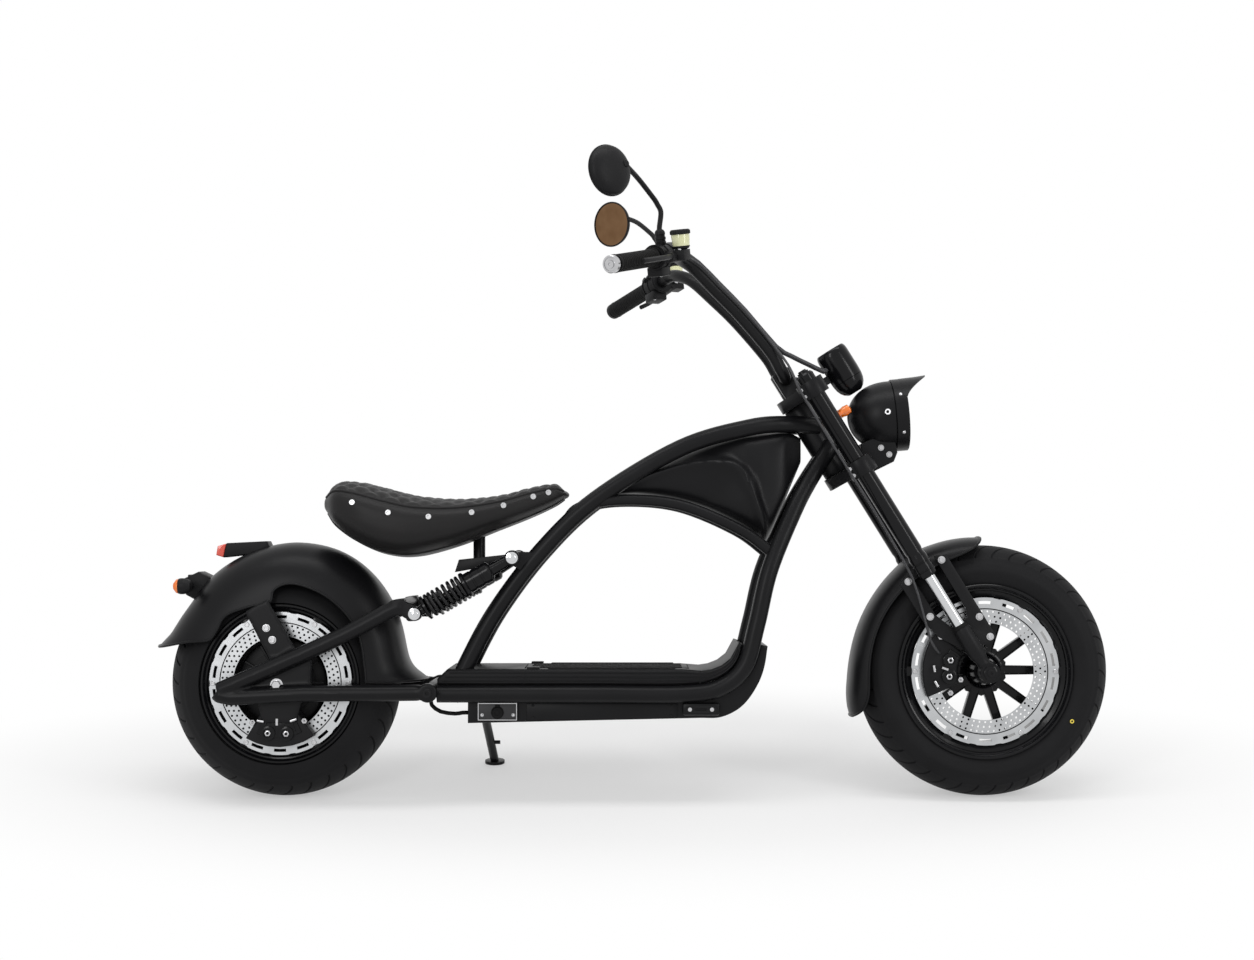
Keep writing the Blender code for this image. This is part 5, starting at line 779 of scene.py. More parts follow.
@dataclass
class Disc(Assembly):
    """A floating brake disc: slotted carrier ring, perforated band, the seam between them and its bolts."""

    size: WheelSize
    radius: float
    bore: float
    y: float
    slots: int = 18
    thickness: float = 0.005
    notch: float = 0.0014
    hole_radius: float = 0.0023
    hole_pitch: float = 0.0112
    hole_rows: int = 3

    def build(self) -> None:
        """Makes the rings, the seam and the bolts."""
        end, body = self.size.end, self.size.body
        at = self.rig.hubs[end] @ moved(0, self.y, 0)
        seam = self.bore + 0.55 * (self.radius - self.bore)
        steps = self.slots * 12
        angles = [2 * math.pi * index / steps for index in range(steps)]
        edge = [polar(self.radius - 0.0006 - self.notch * (math.cos(angle * self.slots) > 0.55), angle)
                for angle in angles]
        inside = ring_of(seam + 0.0011, steps)
        self.piece(f"{end}_disc_carrier", body, Finish.DISC,
                   [(perforated(edge, [inside, *self.windows(seam)], self.thickness), at)], 30.0, f"{end}_disc")
        band = perforated(ring_of(seam - 0.0011, 144), [ring_of(self.bore + 0.0004, 120), *self.holes(seam)],
                          self.thickness - 0.0006)
        self.piece(f"{end}_disc_band", body, Finish.DISC, [(band, at)], 30.0)
        square = [(-0.0015, seam - 0.003), (0.0015, seam - 0.003), (0.0015, seam + 0.003), (-0.0015, seam + 0.003)]
        self.piece(f"{end}_disc_seam", body, Finish.CAST, [(lathe(square, 96, "Y"), at)])
        spot = Vector((0, -self.thickness / 2, self.radius - 0.0075))
        self.piece(f"{end}_disc_bolts", body, Finish.BRIGHT, [
            (bolt(0.0048, 0.003), at @ facing(turn @ spot, (0, -1, 0))) for turn in around(LUGS, "Y", 0.5)])

    def windows(self, seam: float) -> list[list[Point]]:
        """Works out the long curved slots of the carrier ring.

        Args:
            seam: the radius at which carrier and band meet.

        Returns:
            The outline of each slot.
        """
        middle = (seam + self.radius) / 2 + 0.001
        reach = math.pi / self.slots * 0.52
        made = []
        for index in range(self.slots):
            start = 2 * math.pi * (index + 0.5) / self.slots
            angles = [start - reach + 2 * reach * step / 6 for step in range(7)]
            made.append([polar(middle + 0.0030, angle) for angle in angles]
                        + [polar(middle - 0.0030, angle) for angle in reversed(angles)])
        return made

    def holes(self, seam: float) -> list[list[Point]]:
        """Works out the band's staggered holes.

        Args:
            seam: the radius at which carrier and band meet.

        Returns:
            The outline of each hole.
        """
        low, high = self.bore + 0.0045, seam - 0.0050
        made = []
        for row in range(self.hole_rows):
            radius = low + (high - low) * row / (self.hole_rows - 1)
            count = int(2 * math.pi * radius / self.hole_pitch)
            made += [ring_of(self.hole_radius, 8, polar(radius, 2 * math.pi * (index + 0.5 * (row % 2)) / count))
                     for index in range(count)]
        return made


@dataclass
class Saddle(Assembly):
    """The leather saddle: quilted top, piped edge, plain skirt with a row of studs.

    STATIONS are (x, underside, top, half width) in the bike frame.  CAP is how far in towards its middle, and
    how far out, each ring of a rounded end lies.
    """

    steps_along: int = 10
    sides: int = 132
    squareness: float = 2.8
    quilt_pitch: float = 0.042
    quilt_rise: float = 0.0065
    piping_angle: float = math.radians(33.0)
    hem_angle: float = math.radians(58.0)
    stud_angle: float = math.radians(12.0)

    STATIONS = (
        (-0.620, 0.562, 0.598, 0.086), (-0.598, 0.532, 0.621, 0.122), (-0.555, 0.501, 0.621, 0.143),
        (-0.500, 0.479, 0.608, 0.150), (-0.441, 0.476, 0.594, 0.150), (-0.361, 0.497, 0.588, 0.142),
        (-0.280, 0.529, 0.595, 0.124), (-0.220, 0.553, 0.610, 0.104), (-0.172, 0.576, 0.618, 0.086),
        (-0.150, 0.592, 0.608, 0.070),
    )
    CAP = ((0.72, 0.005), (0.36, 0.008), (0.0, 0.009))
    STUD_X = (-0.560, -0.490, -0.408, -0.326, -0.264, -0.210, -0.179)

    def point(self, station: Sequence[float], angle: float) -> Vector:
        """Returns a point of the skin at an angle round a station."""
        x, low, high, half = station
        return Vector((x, bow(math.cos(angle), self.squareness) * half,
                       (low + high) / 2 + bow(math.sin(angle), self.squareness) * (high - low) / 2))

    def quilt(self, spot: Vector, angle: float, along: float) -> float:
        """Returns how far the quilted top swells.

        Args:
            spot: the place on the skin.
            angle: its angle round the station.
            along: its share of the saddle's length.

        Returns:
            The swell, in metres.
        """
        past = math.sin(angle) - math.sin(self.piping_angle)
        if past <= 0:
            return 0.0
        inside = min(past / 0.10, 1.0) * min(along / 0.05, 1.0) * min((1 - along) / 0.05, 1.0)
        across = [math.sin(math.pi * (spot.x + side * spot.y) / self.quilt_pitch) for side in (1, -1)]
        return self.quilt_rise * (abs(across[0] * across[1]) ** 0.45 - 0.35) * inside

    def build(self) -> None:
        """Makes the cushion, the piping and the studs."""
        stations = smooth_route(self.STATIONS, self.steps_along)
        rows = []
        for index, station in enumerate(stations):
            row = []
            for side in range(self.sides):
                angle = 2 * math.pi * (side + 0.5) / self.sides
                spot = self.point(station, angle)
                spot.z += self.quilt(spot, angle, index / (len(stations) - 1))
                row.append(spot)
            rows.append(row)
        rows = [*self.cap(rows[0], -1)[::-1], *rows, *self.cap(rows[-1], 1)]
        bike = self.rig.bike
        self.piece("saddle_cushion", Body.CHASSIS, Finish.LEATHER, [(grid(rows), bike)], 60.0,
                             "seat_cushion")
        piped, straight = self.piping_angle, math.pi
        near, far, *hems = [
            [self.point(station, angle) for station in stations[1:-1]]
            for angle in (piped, straight - piped, -self.hem_angle, straight + self.hem_angle)
        ]
        self.piece("saddle_piping", Body.CHASSIS, Finish.LEATHER, [
            (pipe(near + far[::-1] + near[:2], 0.0030, 8), bike),
            *((pipe(hem, 0.0022, 6), bike) for hem in hems)], 60.0)
        studs = []
        for x in self.STUD_X:
            station = min(stations, key=lambda item: abs(item[0] - x))
            for angle in (self.stud_angle, straight - self.stud_angle):
                spot = self.point(station, angle)
                way = Vector((0, math.copysign(1.0, spot.y), 0.15))
                studs.append((bolt(0.0056, 0.0034), bike @ facing(spot - way.normalized() * 0.0004, way)))
        self.piece("saddle_studs", Body.CHASSIS, Finish.BRIGHT, studs)

    def cap(self, ring: Sequence[Vector], sign: int) -> list[list[Vector]]:
        """Returns the shrinking rings that round off an end."""
        centre = sum(ring, Vector()) / len(ring)
        return [[centre.lerp(spot, share) + Vector((sign * out, 0, 0)) for spot in ring] for share, out in self.CAP]


@dataclass
class Fender(Assembly):
    """A pressed fender with a rolled edge.

    Attributes:
        end: front or rear.
        body: the body it rides on.
        half_width: its widest half width.
        foot: the radius at which its full section would end.
        stations: angle round the axle in degrees, crown radius, and the radius at which the side is cut.
    """

    end: str
    body: Body
    half_width: float
    foot: float
    stations: Sequence[Spot]
    arch_steps: int = 40
    squareness: float = 2.6
    wall: float = 0.003

    REAR = (
        (164.0, 0.262, 0.2560), (162.5, 0.2585, 0.2420), (160.0, 0.2535, 0.2240), (156.0, 0.2475, 0.2010),
        (148.0, 0.245, 0.162), (139.0, 0.246, 0.160), (128.0, 0.255, 0.169), (113.0, 0.264, 0.163),
        (96.5, 0.273, 0.161), (93.0, 0.275, 0.184), (84.0, 0.279, 0.198), (68.0, 0.281, 0.197),
        (53.0, 0.275, 0.193), (35.0, 0.262, 0.186), (16.0, 0.248, 0.174), (7.0, 0.254, 0.172), (1.0, 0.282, 0.172),
    )
    FRONT = (
        (91.0, 0.266, 0.2640), (92.5, 0.2662, 0.2560), (96.0, 0.267, 0.2455), (102.0, 0.268, 0.2375),
        (110.0, 0.269, 0.234), (119.0, 0.270, 0.232), (134.0, 0.264, 0.232), (150.0, 0.261, 0.232),
        (169.0, 0.262, 0.232), (182.0, 0.267, 0.233), (190.0, 0.2735, 0.2370), (195.0, 0.277, 0.2470),
        (197.5, 0.2778, 0.2590), (199.0, 0.278, 0.2755),
    )

    def build(self) -> None:
        """Makes the shell and its rolled edge; the end rows fold in, so that the wall is closed there."""
        stations = smooth_route(sorted(self.stations))
        outer, inner = [[self.arch(*station, skin) for station in stations] for skin in (0.0, self.wall)]
        sheet = [row + back[::-1] for row, back in zip(outer, inner)]
        sheet = [inner[0] + inner[0][::-1], *sheet, inner[-1] + inner[-1][::-1]]
        near = [row[0] for row in outer]
        loop = near + outer[-1][1:-1] + [row[-1] for row in reversed(outer)] + outer[0][-2:0:-1] + near[:2]
        hub = self.rig.hubs[self.end]
        self.piece(f"{self.end}_fender_shell", self.body, Finish.SATIN, [
            (grid(sheet), hub), (pipe(loop, 0.0024, 8), hub)], 50.0, f"{self.end}_fender")

    def arch(self, angle: float, crown: float, edge: float, skin: float) -> list[Vector]:
        """Returns one station's arch, cut off at its edge radius on both sides.

        Args:
            angle: the station's angle round the axle, in degrees.
            crown: the crown's radius.
            edge: the radius at which the side is cut.
            skin: how far inside the outer face this arch lies.

        Returns:
            The arch's points from side to side.
        """
        limit = math.acos(clamp((edge - self.foot) / (crown - self.foot)) ** (self.squareness / 2))
        made = []
        for step in range(self.arch_steps + 1):
            bend = limit * (2 * step / self.arch_steps - 1)
            reach = self.foot + (crown - skin - self.foot) * bow(math.cos(bend), self.squareness)
            x, z = polar(reach, math.radians(angle))
            made.append(Vector((x, bow(math.sin(bend), self.squareness) * (self.half_width - skin), z)))
        return made


def bowl(steps: int, depth: float, radius: float, power: float) -> list[Point]:
    """Returns a bowl's section from its tip at (-depth, 0) to its rim at (0, radius)."""
    turns = [math.pi / 2 * step / steps for step in range(steps + 1)]
    return [(-depth * math.cos(turn) ** power, radius * math.sin(turn)) for turn in turns]


@dataclass
class TankCover(Assembly):
    """The moulded cover between the tubes, with a ridge down its side and a hollow ahead of it.

    STATIONS are (x, underside, top, half width) in the bike frame; RIDGE is (x, z).
    """

    squareness: float = 3.4
    sides: int = 120
    spans: int = 7
    crest: float = 0.0055
    crest_width: float = 0.010
    hollow: float = 0.011
    hollow_width: float = 0.014
    slope: float = 0.85
    slope_depth: float = 0.030
    slope_ends: Point = (0.165, 0.215)
    fold: float = 0.020
    fold_width: float = 0.075

    STATIONS = (
        (-0.105, 0.570, 0.584, 0.070), (-0.066, 0.590, 0.604, 0.076), (-0.022, 0.598, 0.622, 0.080),
        (0.020, 0.596, 0.650, 0.084), (0.079, 0.586, 0.677, 0.088), (0.139, 0.567, 0.700, 0.090),
        (0.198, 0.536, 0.717, 0.090), (0.232, 0.512, 0.722, 0.088), (0.252, 0.505, 0.724, 0.085),
        (0.284, 0.572, 0.725, 0.076), (0.305, 0.622, 0.722, 0.060), (0.322, 0.662, 0.714, 0.046),
    )
    RIDGE = (
        (-0.110, 0.582), (-0.039, 0.616), (0.020, 0.638), (0.075, 0.655), (0.120, 0.662), (0.155, 0.663),
        (0.182, 0.659), (0.203, 0.644), (0.220, 0.613), (0.237, 0.560), (0.252, 0.505), (0.262, 0.460),
    )

    def past_ridge(self, x: float, z: float) -> float:
        """Returns the distance from the ridge.

        Args:
            x, z: the place.

        Returns:
            The distance in metres, positive on the side of the steering head.
        """
        gaps = []
        for (ax, az), (bx, bz) in zip(self.RIDGE, self.RIDGE[1:]):
            run_x, run_z = bx - ax, bz - az
            share = clamp(((x - ax) * run_x + (z - az) * run_z) / (run_x**2 + run_z**2))
            gap_x, gap_z = x - ax - run_x * share, z - az - run_z * share
            gaps.append(math.copysign(math.hypot(gap_x, gap_z), run_x * gap_z - run_z * gap_x))
        return min(gaps, key=abs)

    def relief(self, x: float, z: float) -> float:
        """Returns how far the side stands out.

        Args:
            x, z: the place.

        Returns:
            The relief, in metres.
        """
        past = self.past_ridge(x, z)
        crest = self.crest * math.exp(-((past / self.crest_width) ** 2))
        if past <= 0:
            return crest - self.fold * min(-past / self.fold_width, 1.0) ** 0.8
        start, end = self.slope_ends
        ahead = clamp((x - start) / (end - start))
        ahead = ahead * ahead * (3 - 2 * ahead)
        hollow = self.hollow * min(past / self.hollow_width, 1.0) ** 1.5
        shelf = self.slope_depth * math.tanh(self.slope * past / self.slope_depth)
        return crest - hollow * ahead - shelf * (1 - ahead)

    def build(self) -> None:
        """Makes the cover."""
        rows = []
        for x, low, high, half in smooth_route(self.STATIONS, self.spans):
            row = []
            for side in range(self.sides):
                turn = 2 * math.pi * side / self.sides
                y = bow(math.cos(turn), self.squareness)
                z = (low + high) / 2 + bow(math.sin(turn), self.squareness) * (high - low) / 2
                row.append(Vector((x, y * half + math.copysign(abs(y) ** 4, y) * self.relief(x, z), z)))
            rows.append(row)
        self.piece("tank_cover_shell", Body.CHASSIS, Finish.SATIN, [(closed(grid(rows)), self.rig.bike)], 50.0,
                   "tank_cover", Finish.GLOSS)


@dataclass
class Headlight(Assembly):
    """The lamp: bowl, band, peaked visor, reflector, lens and its bolts, along the lamp's own +X."""

    centre: Spot = (0.1781, 0.0, 0.5156)
    tilt: float = math.radians(4.9)
    radius: float = 0.071
    depth: float = 0.116
    band: float = 0.026
    visor_reach: float = 0.046
    visor_spread: float = math.radians(62.0)
    visor_steps: int = 28
    steps: int = 72
    screws_at: Point = (58.0, 122.0)
    pivot_at: float = 86.0

    def build(self) -> None:
        """Makes the lamp's pieces."""
        place = self.rig.fork @ moved(*self.centre) @ Matrix.Rotation(RAKE - self.tilt, 4, "Y")
        self.piece("headlight_bowl", Body.STEERING, Finish.SATIN, [
            (lathe(self.section(), self.steps, "X"), place), (self.visor(), place)], 32.0, "headlight_shell")
        face = [(-0.064 + 0.053 * share**2, 0.004 + (self.radius - 0.0105) * share)
                for share in (0.0, 0.15, 0.3, 0.45, 0.6, 0.75, 0.9, 1.0)]
        back = [(x - 0.0012, radius) for x, radius in reversed(face)]
        hood = [(-0.062, 0.0), (-0.062, 0.011), (-0.034, 0.011), (-0.030, 0.009), (-0.029, 0.0)]
        self.piece("headlight_reflector", Body.STEERING, Finish.CHROME, [
            (lathe(face + back, self.steps, "X"), place), (lathe(hood, 32, "X"), place)], 40.0)
        inner = self.radius - 0.0055
        glass = [(0.0035, 0.0), (0.0020, inner * 0.45), (-0.001, inner * 0.78), (-0.0075, inner), (-0.0040, inner),
                 (0.0022, inner * 0.78), (0.0050, inner * 0.45), (0.0062, 0.0)]
        self.piece("headlight_glass", Body.STEERING, Finish.CLEAR, [(lathe(glass, self.steps, "X"), place)], 40.0,
                   "headlight_lens")
        self.piece("headlight_bolts", Body.STEERING, Finish.BRIGHT, [
            (shape, place @ where) for side in (1, -1) for shape, where in self.bolts(side)])

    def section(self) -> list[Point]:
        """Works out the closed section of the bowl and the band round the lens.

        Returns:
            The (x, radius) points.
        """
        r, band = self.radius, self.band
        rim = r + 0.0015
        round_back = bowl(16, self.depth - band - 0.001, r * 0.985, 0.86)
        return [
            *((x - band - 0.001, reach) for x, reach in round_back), (-band, r * 0.975), (-band + 0.0006, rim - 0.0006),
            (-band + 0.0014, rim), (-0.0012, rim), (0.0, rim - 0.0012), (0.0, r - 0.0045), (-0.0095, r - 0.0052),
            (-0.026, r - 0.0045), (-0.060, r * 0.78), (-0.090, r * 0.45), (-0.104, 0.0),
        ]

    def visor(self) -> Shape:
        """Makes the peaked visor over the lamp's top.

        Returns:
            The visor.
        """
        inner, outer = self.radius - 0.001, self.radius + 0.0018
        rows = []
        for step in range(self.visor_steps + 1):
            turn = self.visor_spread * (2 * step / self.visor_steps - 1)
            swell = max(math.cos(turn * math.pi / 2 / self.visor_spread), 0.0)
            reach = self.visor_reach * swell**1.4 + 0.001
            lift = 0.06 * reach
            rows.append([Vector((x, math.sin(turn) * radius, math.cos(turn) * radius)) for x, radius in (
                (-0.008, inner), (-0.008, outer), (reach * 0.5, outer + lift * 0.4), (reach, outer + lift),
                (reach, inner + lift), (reach * 0.5, inner + lift * 0.4))])
        return closed(grid(rows))

    def bolts(self, side: int) -> list[Part]:
        """Makes one side's band screws and pivot.

        Args:
            side: 1 for the left, -1 for the right.

        Returns:
            The heads and their placements on the lamp.
        """
        made = []
        for degrees in self.screws_at:
            turn = turned(-side * degrees, "X")
            made.append((bolt(0.0036, 0.0022, Head.DOME),
                         facing(turn @ Vector((-0.013, 0.0, self.radius + 0.0012)), turn @ Vector((0, 0, 1)))))
        turn = turned(-side * self.pivot_at, "X")
        made.append((bolt(0.0062, 0.0045),
                     facing(turn @ Vector((-0.042, 0.0, self.radius * 0.945)), turn @ Vector((-0.25, 0, 1)))))
        return made


@dataclass
class GaugePod(Assembly):
    """The instrument pod with its dial, seen from above."""

    x: float = 0.117
    foot: float = 0.606
    radius: float = 0.033
    height: float = 0.099
    ticks: int = 25
    sweep: float = math.radians(240.0)
    needle_at: float = 150.0

    def build(self) -> None:
        """Makes the pod, the dial and its marks."""
        place = self.rig.fork @ moved(self.x, 0, self.foot)
        r, h = self.radius, self.height
        section = [(z, r * share) for z, share in (
            (0.0, 0.0), (0.0, 0.40), (0.0015, 0.50), (0.006, 0.68), (0.012, 0.82), (0.020, 0.92), (0.0295, 0.975),
            (0.030, 0.955), (0.0306, 0.98), (0.045, 1.0), (0.086, 0.995), (0.092, 0.975), (0.0965, 0.93), (h, 0.86),
            (h, 0.80), (h - 0.003, 0.785), (h - 0.003, 0.0))]
        self.piece("gauge_pod_shell", Body.STEERING, Finish.GLOSS, [(lathe(section, 64), place)], 40.0, "gauge_pod")
        face = [(h - 0.0030, 0.0), (h - 0.0030, r * 0.78), (h - 0.0024, r * 0.78), (h - 0.0024, 0.0)]
        self.piece("gauge_dial", Body.STEERING, Finish.DARK_PLATE, [(lathe(face, 64), place)], slot=Finish.PLASTIC)
        marks = []
        for index in range(self.ticks):
            inner, width = (0.60, 0.0006) if index % 4 == 0 else (0.67, 0.0003)
            turn = Matrix.Rotation(self.sweep * (index / (self.ticks - 1) - 0.5), 4, "Z")
            marks.append((box((r * inner, -width, h - 0.0024), (r * 0.74, width, h - 0.0021), 0.00008), place @ turn))
        needle = prism([(-0.0006, -0.004), (0.0006, -0.004), (0.0003, r * 0.62), (-0.0003, r * 0.62)], -0.0003, 0.0003)
        marks.append((needle, place @ turned(self.needle_at, "Z") @ moved(0, 0, h - 0.0012) @ turned(-90, "X")))
        self.piece("gauge_marks", Body.STEERING, Finish.WHITE, marks, slot=Finish.FLUID)


@dataclass
class BarEnds(Assembly):
    """Grips, end weights, controls, reservoirs and mirrors on both ends of the handlebar.

    The places are in the fork frame, on the left.
    """

    inner: Spot = (-0.103, 0.230, 1.025)
    outer: Spot = (-0.186, 0.370, 1.039)
    bar_radius: float = 0.0125
    grip_start: float = 0.240
    grip_end: float = 0.368
    grip_radius: float = 0.017
    grip_ribs: int = 20
    weight_start: float = 0.3722
    control_start: float = 0.192
    mirror_on_bar: float = 0.205
    mirror_radius: float = 0.049
    mirror_depth: float = 0.020
    mirror_centre: Spot = (-0.0973, 0.322, 1.1981)
    mirror_aim: Spot = (-0.6820, -0.443, 1.4780)
    stalk_end: Point = (0.030, 0.013)
    stalk_radius: float = 0.0050

    STALK = ((-0.0460, 0.210, 1.0947), (-0.0440, 0.2145, 1.1110), (-0.0440, 0.2180, 1.1185),
             (-0.0452, 0.2240, 1.1265), (-0.0535, 0.2610, 1.1640))
    WEIGHT = ((-0.0030, 0.0), (-0.0030, 0.0105), (0.0, 0.0158), (0.0008, 0.0168), (0.0085, 0.0168), (0.0098, 0.0155),
              (0.0100, 0.0128), (0.0088, 0.0122), (0.0088, 0.0080), (0.0112, 0.0074), (0.0112, 0.0034),
              (0.0096, 0.0030), (0.0096, 0.0))
    POT = ((0.0045, 0.0), (0.0045, 0.0140), (0.0070, 0.0163), (0.0260, 0.0178), (0.0290, 0.0172), (0.0290, 0.0))
    POT_LID = ((0.0288, 0.0), (0.0288, 0.0186), (0.0296, 0.0192), (0.0352, 0.0192), (0.0372, 0.0180),
               (0.0380, 0.0165), (0.0380, 0.0120), (0.0370, 0.0114), (0.0370, 0.0))
    POT_FOOT = ((0.0, 0.0), (0.0, 0.0105), (0.0020, 0.0150), (0.0060, 0.0170), (0.0070, 0.0164), (0.0070, 0.0))
    BOOT = ((0.0, 0.0055), (0.0, 0.0105), (0.004, 0.0110), (0.0048, 0.0098), (0.0085, 0.0098), (0.0092, 0.0108),
            (0.0130, 0.0106), (0.0138, 0.0094), (0.0175, 0.0094), (0.0182, 0.0102), (0.0225, 0.0100),
            (0.0260, 0.0080), (0.0280, 0.0055))

    def on_bar(self, reach: float, side: int) -> Vector:
        """Returns a point of the bar's straight end, in the fork frame."""
        inner, outer = Vector(self.inner), Vector(self.outer)
        return inner.lerp(outer, (reach - inner.y) / (outer.y - inner.y)) * Vector((1, side, 1))

    def along(self, reach: float, side: int) -> Matrix:
        """Returns a placement on the bar, in the fork frame.

        Args:
            reach: the point's distance from the middle plane.
            side: 1 for the left, -1 for the right.

        Returns:
            The placement: +X forward, +Y up, +Z outward (mirrored on the left).
        """
        outward = (self.on_bar(1.0, side) - self.on_bar(0.0, side)).normalized()
        forward = Vector((math.sin(RAKE), 0, math.cos(RAKE))).cross(outward).normalized()
        forward = -forward if forward.x < 0 else forward
        rise = outward.cross(forward) * -side
        turn = Matrix((forward, rise, outward)).transposed().to_4x4()
        return Matrix.Translation(self.on_bar(reach, side)) @ turn

    def build(self) -> None:
        """Makes both ends."""
        for label, side in SIDES:
            self.grip(label, side)
            self.reservoir(label, side)
            self.mirror(label, side)
            self.control(label, side)

    def grip(self, label: str, side: int) -> None:
        """Makes a ribbed grip and the weight at its end.

        Args:
            label: left or right.
            side: 1 for the left, -1 for the right.
        """
        length = (self.on_bar(self.grip_end, side) - self.on_bar(self.grip_start, side)).length
        hole, r = self.bar_radius + 0.0003, self.grip_radius
        pitch = (length - 0.020) / self.grip_ribs
        section = [(0.0, r + 0.0018), (0.0035, r + 0.0020), (0.0055, r)]
        for index in range(self.grip_ribs):
            start = 0.010 + (length - 0.020) * index / self.grip_ribs
            section += [(start, r), (start + pitch * 0.62, r), (start + pitch * 0.70, r - 0.0009),
                        (start + pitch * 0.92, r - 0.0009)]
        section += [(length - 0.006, r), (length - 0.002, r + 0.0006), (length, r), (length, hole), (0.0, hole)]
        self.piece(f"grip_{label}_rubber", Body.STEERING, Finish.RUBBER,
                   [(lathe(section, 40), self.rig.fork @ self.along(self.grip_start, side))], 30.0, f"grip_{label}")
        self.piece(f"bar_weight_{label}", Body.STEERING, Finish.BRIGHT if side < 0 else Finish.SATIN,
                   [(lathe(self.WEIGHT, 40), self.rig.fork @ self.along(self.weight_start, side))])

    def reservoir(self, label: str, side: int) -> None:
        """Makes a fluid reservoir with its black foot and ribbed cap.

        Args:
            label: left or right.
            side: 1 for the left, -1 for the right.
        """
        at = self.rig.fork @ self.along(self.control_start, side) @ moved(0.046, 0.0103, 0.020) @ turned(-90, "X")
        self.piece(f"reservoir_{label}_pot", Body.STEERING, Finish.FLUID, [(lathe(self.POT, 40), at)],
                   replaces=f"reservoir_{label}")
        ribs = [(box((0.0186, -0.0007, 0.0298), (0.0198, 0.0007, 0.0352), 0.0003), at @ turn)
                for turn in around(20, "Z")]
        self.piece(f"reservoir_{label}_cap", Body.STEERING, Finish.PLASTIC,
                   [(lathe(self.POT_LID, 40), at), *ribs, (lathe(self.POT_FOOT, 36), at)])

    def control(self, label: str, side: int) -> None:
        """Makes the clamp seams, screws, buttons and hose union of a control.

        Args:
            label: left or right.
            side: 1 for the left, -1 for the right.
        """
        place = self.rig.fork @ self.along(self.control_start, side)
        root = self.rig.fork @ self.along(self.mirror_on_bar, side) @ moved(0, 0.0235, 0)
        seams = [[(z, 0.0215), (z, 0.0242), (z + 0.0025, 0.0242), (z + 0.0025, 0.0215)]
                 for z in (0.0015, 0.0235, 0.0440)]
        self.piece(f"control_{label}_trim", Body.STEERING, Finish.PLASTIC, [
            *((lathe(seam, 40), place) for seam in seams),
            (box((-0.0215, -0.0375, 0.006), (0.0120, -0.0185, 0.042), 0.003), place),
            (box((0.0225, -0.012, 0.004), (0.0400, 0.009, 0.022), 0.003), place),
            (pipe([(-0.021, 0.010, 0.016), (-0.027, 0.013, 0.016)], 0.0042, 20), place),
            (pipe([(-0.021, 0.010, 0.032), (-0.026, 0.0125, 0.032)], 0.0055, 20), place),
            (lathe(self.BOOT, 28), root @ turned(-90, "X")),
        ], 32.0)
        heads = (
            ((0.0318, 0.003, 0.0045), (0, 0, -1), 0.0072, 0.010, Head.HEX),
            ((0.0318, 0.003, 0.0045), (0, 0, -1), 0.0050, 0.014, Head.DOME),
            ((0.047, 0.0102, 0.031), (0, 1, 0), 0.0045, 0.003, Head.SOCKET),
            ((0.030, 0.0088, 0.008), (0, 1, 0), 0.0030, 0.002, Head.SOCKET),
            ((0.030, 0.0088, 0.018), (0, 1, 0), 0.0030, 0.002, Head.SOCKET),
            ((-0.0155, -0.0372, 0.0115), (0, -1, 0), 0.0028, 0.0015, Head.DOME),
            ((0.0060, -0.0372, 0.0365), (0, -1, 0), 0.0028, 0.0015, Head.DOME),
        )
        self.piece(f"control_{label}_bolts", Body.STEERING, Finish.BRIGHT, [
            (bolt(radius, height, kind), place @ facing(spot, way)) for spot, way, radius, height, kind in heads])

    def mirror(self, label: str, side: int) -> None:
        """Makes a round mirror, its stalk and its glass.

        Args:
            label: left or right.
            side: 1 for the left, -1 for the right.
        """
        on_side = Vector((1, side, 1))
        centre = Vector(self.mirror_centre) * on_side
        aim = (Vector(self.mirror_aim) * on_side - centre).normalized()
        at = self.rig.fork @ facing(centre, aim)
        r = self.mirror_radius
        shell = [*bowl(12, self.mirror_depth, r - 0.0015, 0.8), (0.0004, r), (0.0026, r), (0.0032, r - 0.0008),
                 (0.0030, r - 0.0026), (0.0006, r - 0.0030), (0.0004, 0.0)]
        place = self.along(self.mirror_on_bar, side)
        rise = place.to_3x3() @ Vector((0, 1, 0))
        foot = place.translation + rise * 0.0233
        inward = aim.cross(Vector((0.0, 0.0, 1.0))).normalized()
        inward *= -side * math.copysign(1.0, inward.y)
        beside, behind = self.stalk_end
        back = centre + inward * beside - aim * behind
        bends = [Vector(point) * on_side for point in self.STALK]
        route = smooth_route([foot + rise * 0.010, foot + rise * 0.030, *bends, back], 8)
        socket = [(0, 0), (0, 0.0085), (0.004, 0.0085), (0.010, 0.0060), (0.012, 0.0)]
        self.piece(f"mirror_{label}_shell", Body.STEERING, Finish.PLASTIC, [
            (lathe(shell, 64), at), (pipe(route, self.stalk_radius, 16), self.rig.fork),
            (lathe(socket, 24), self.rig.fork @ facing(back + aim * 0.004, -aim))], 40.0, f"mirror_{label}")
        glass = [(0.0004, 0.0), (0.0004, r - 0.0034), (0.0016, r - 0.0034), (0.0022, r * 0.5), (0.0024, 0.0)]
        self.piece(f"mirror_{label}_glass", Body.STEERING, Finish.MIRROR, [(lathe(glass, 64), at)], slot=Finish.CHROME)


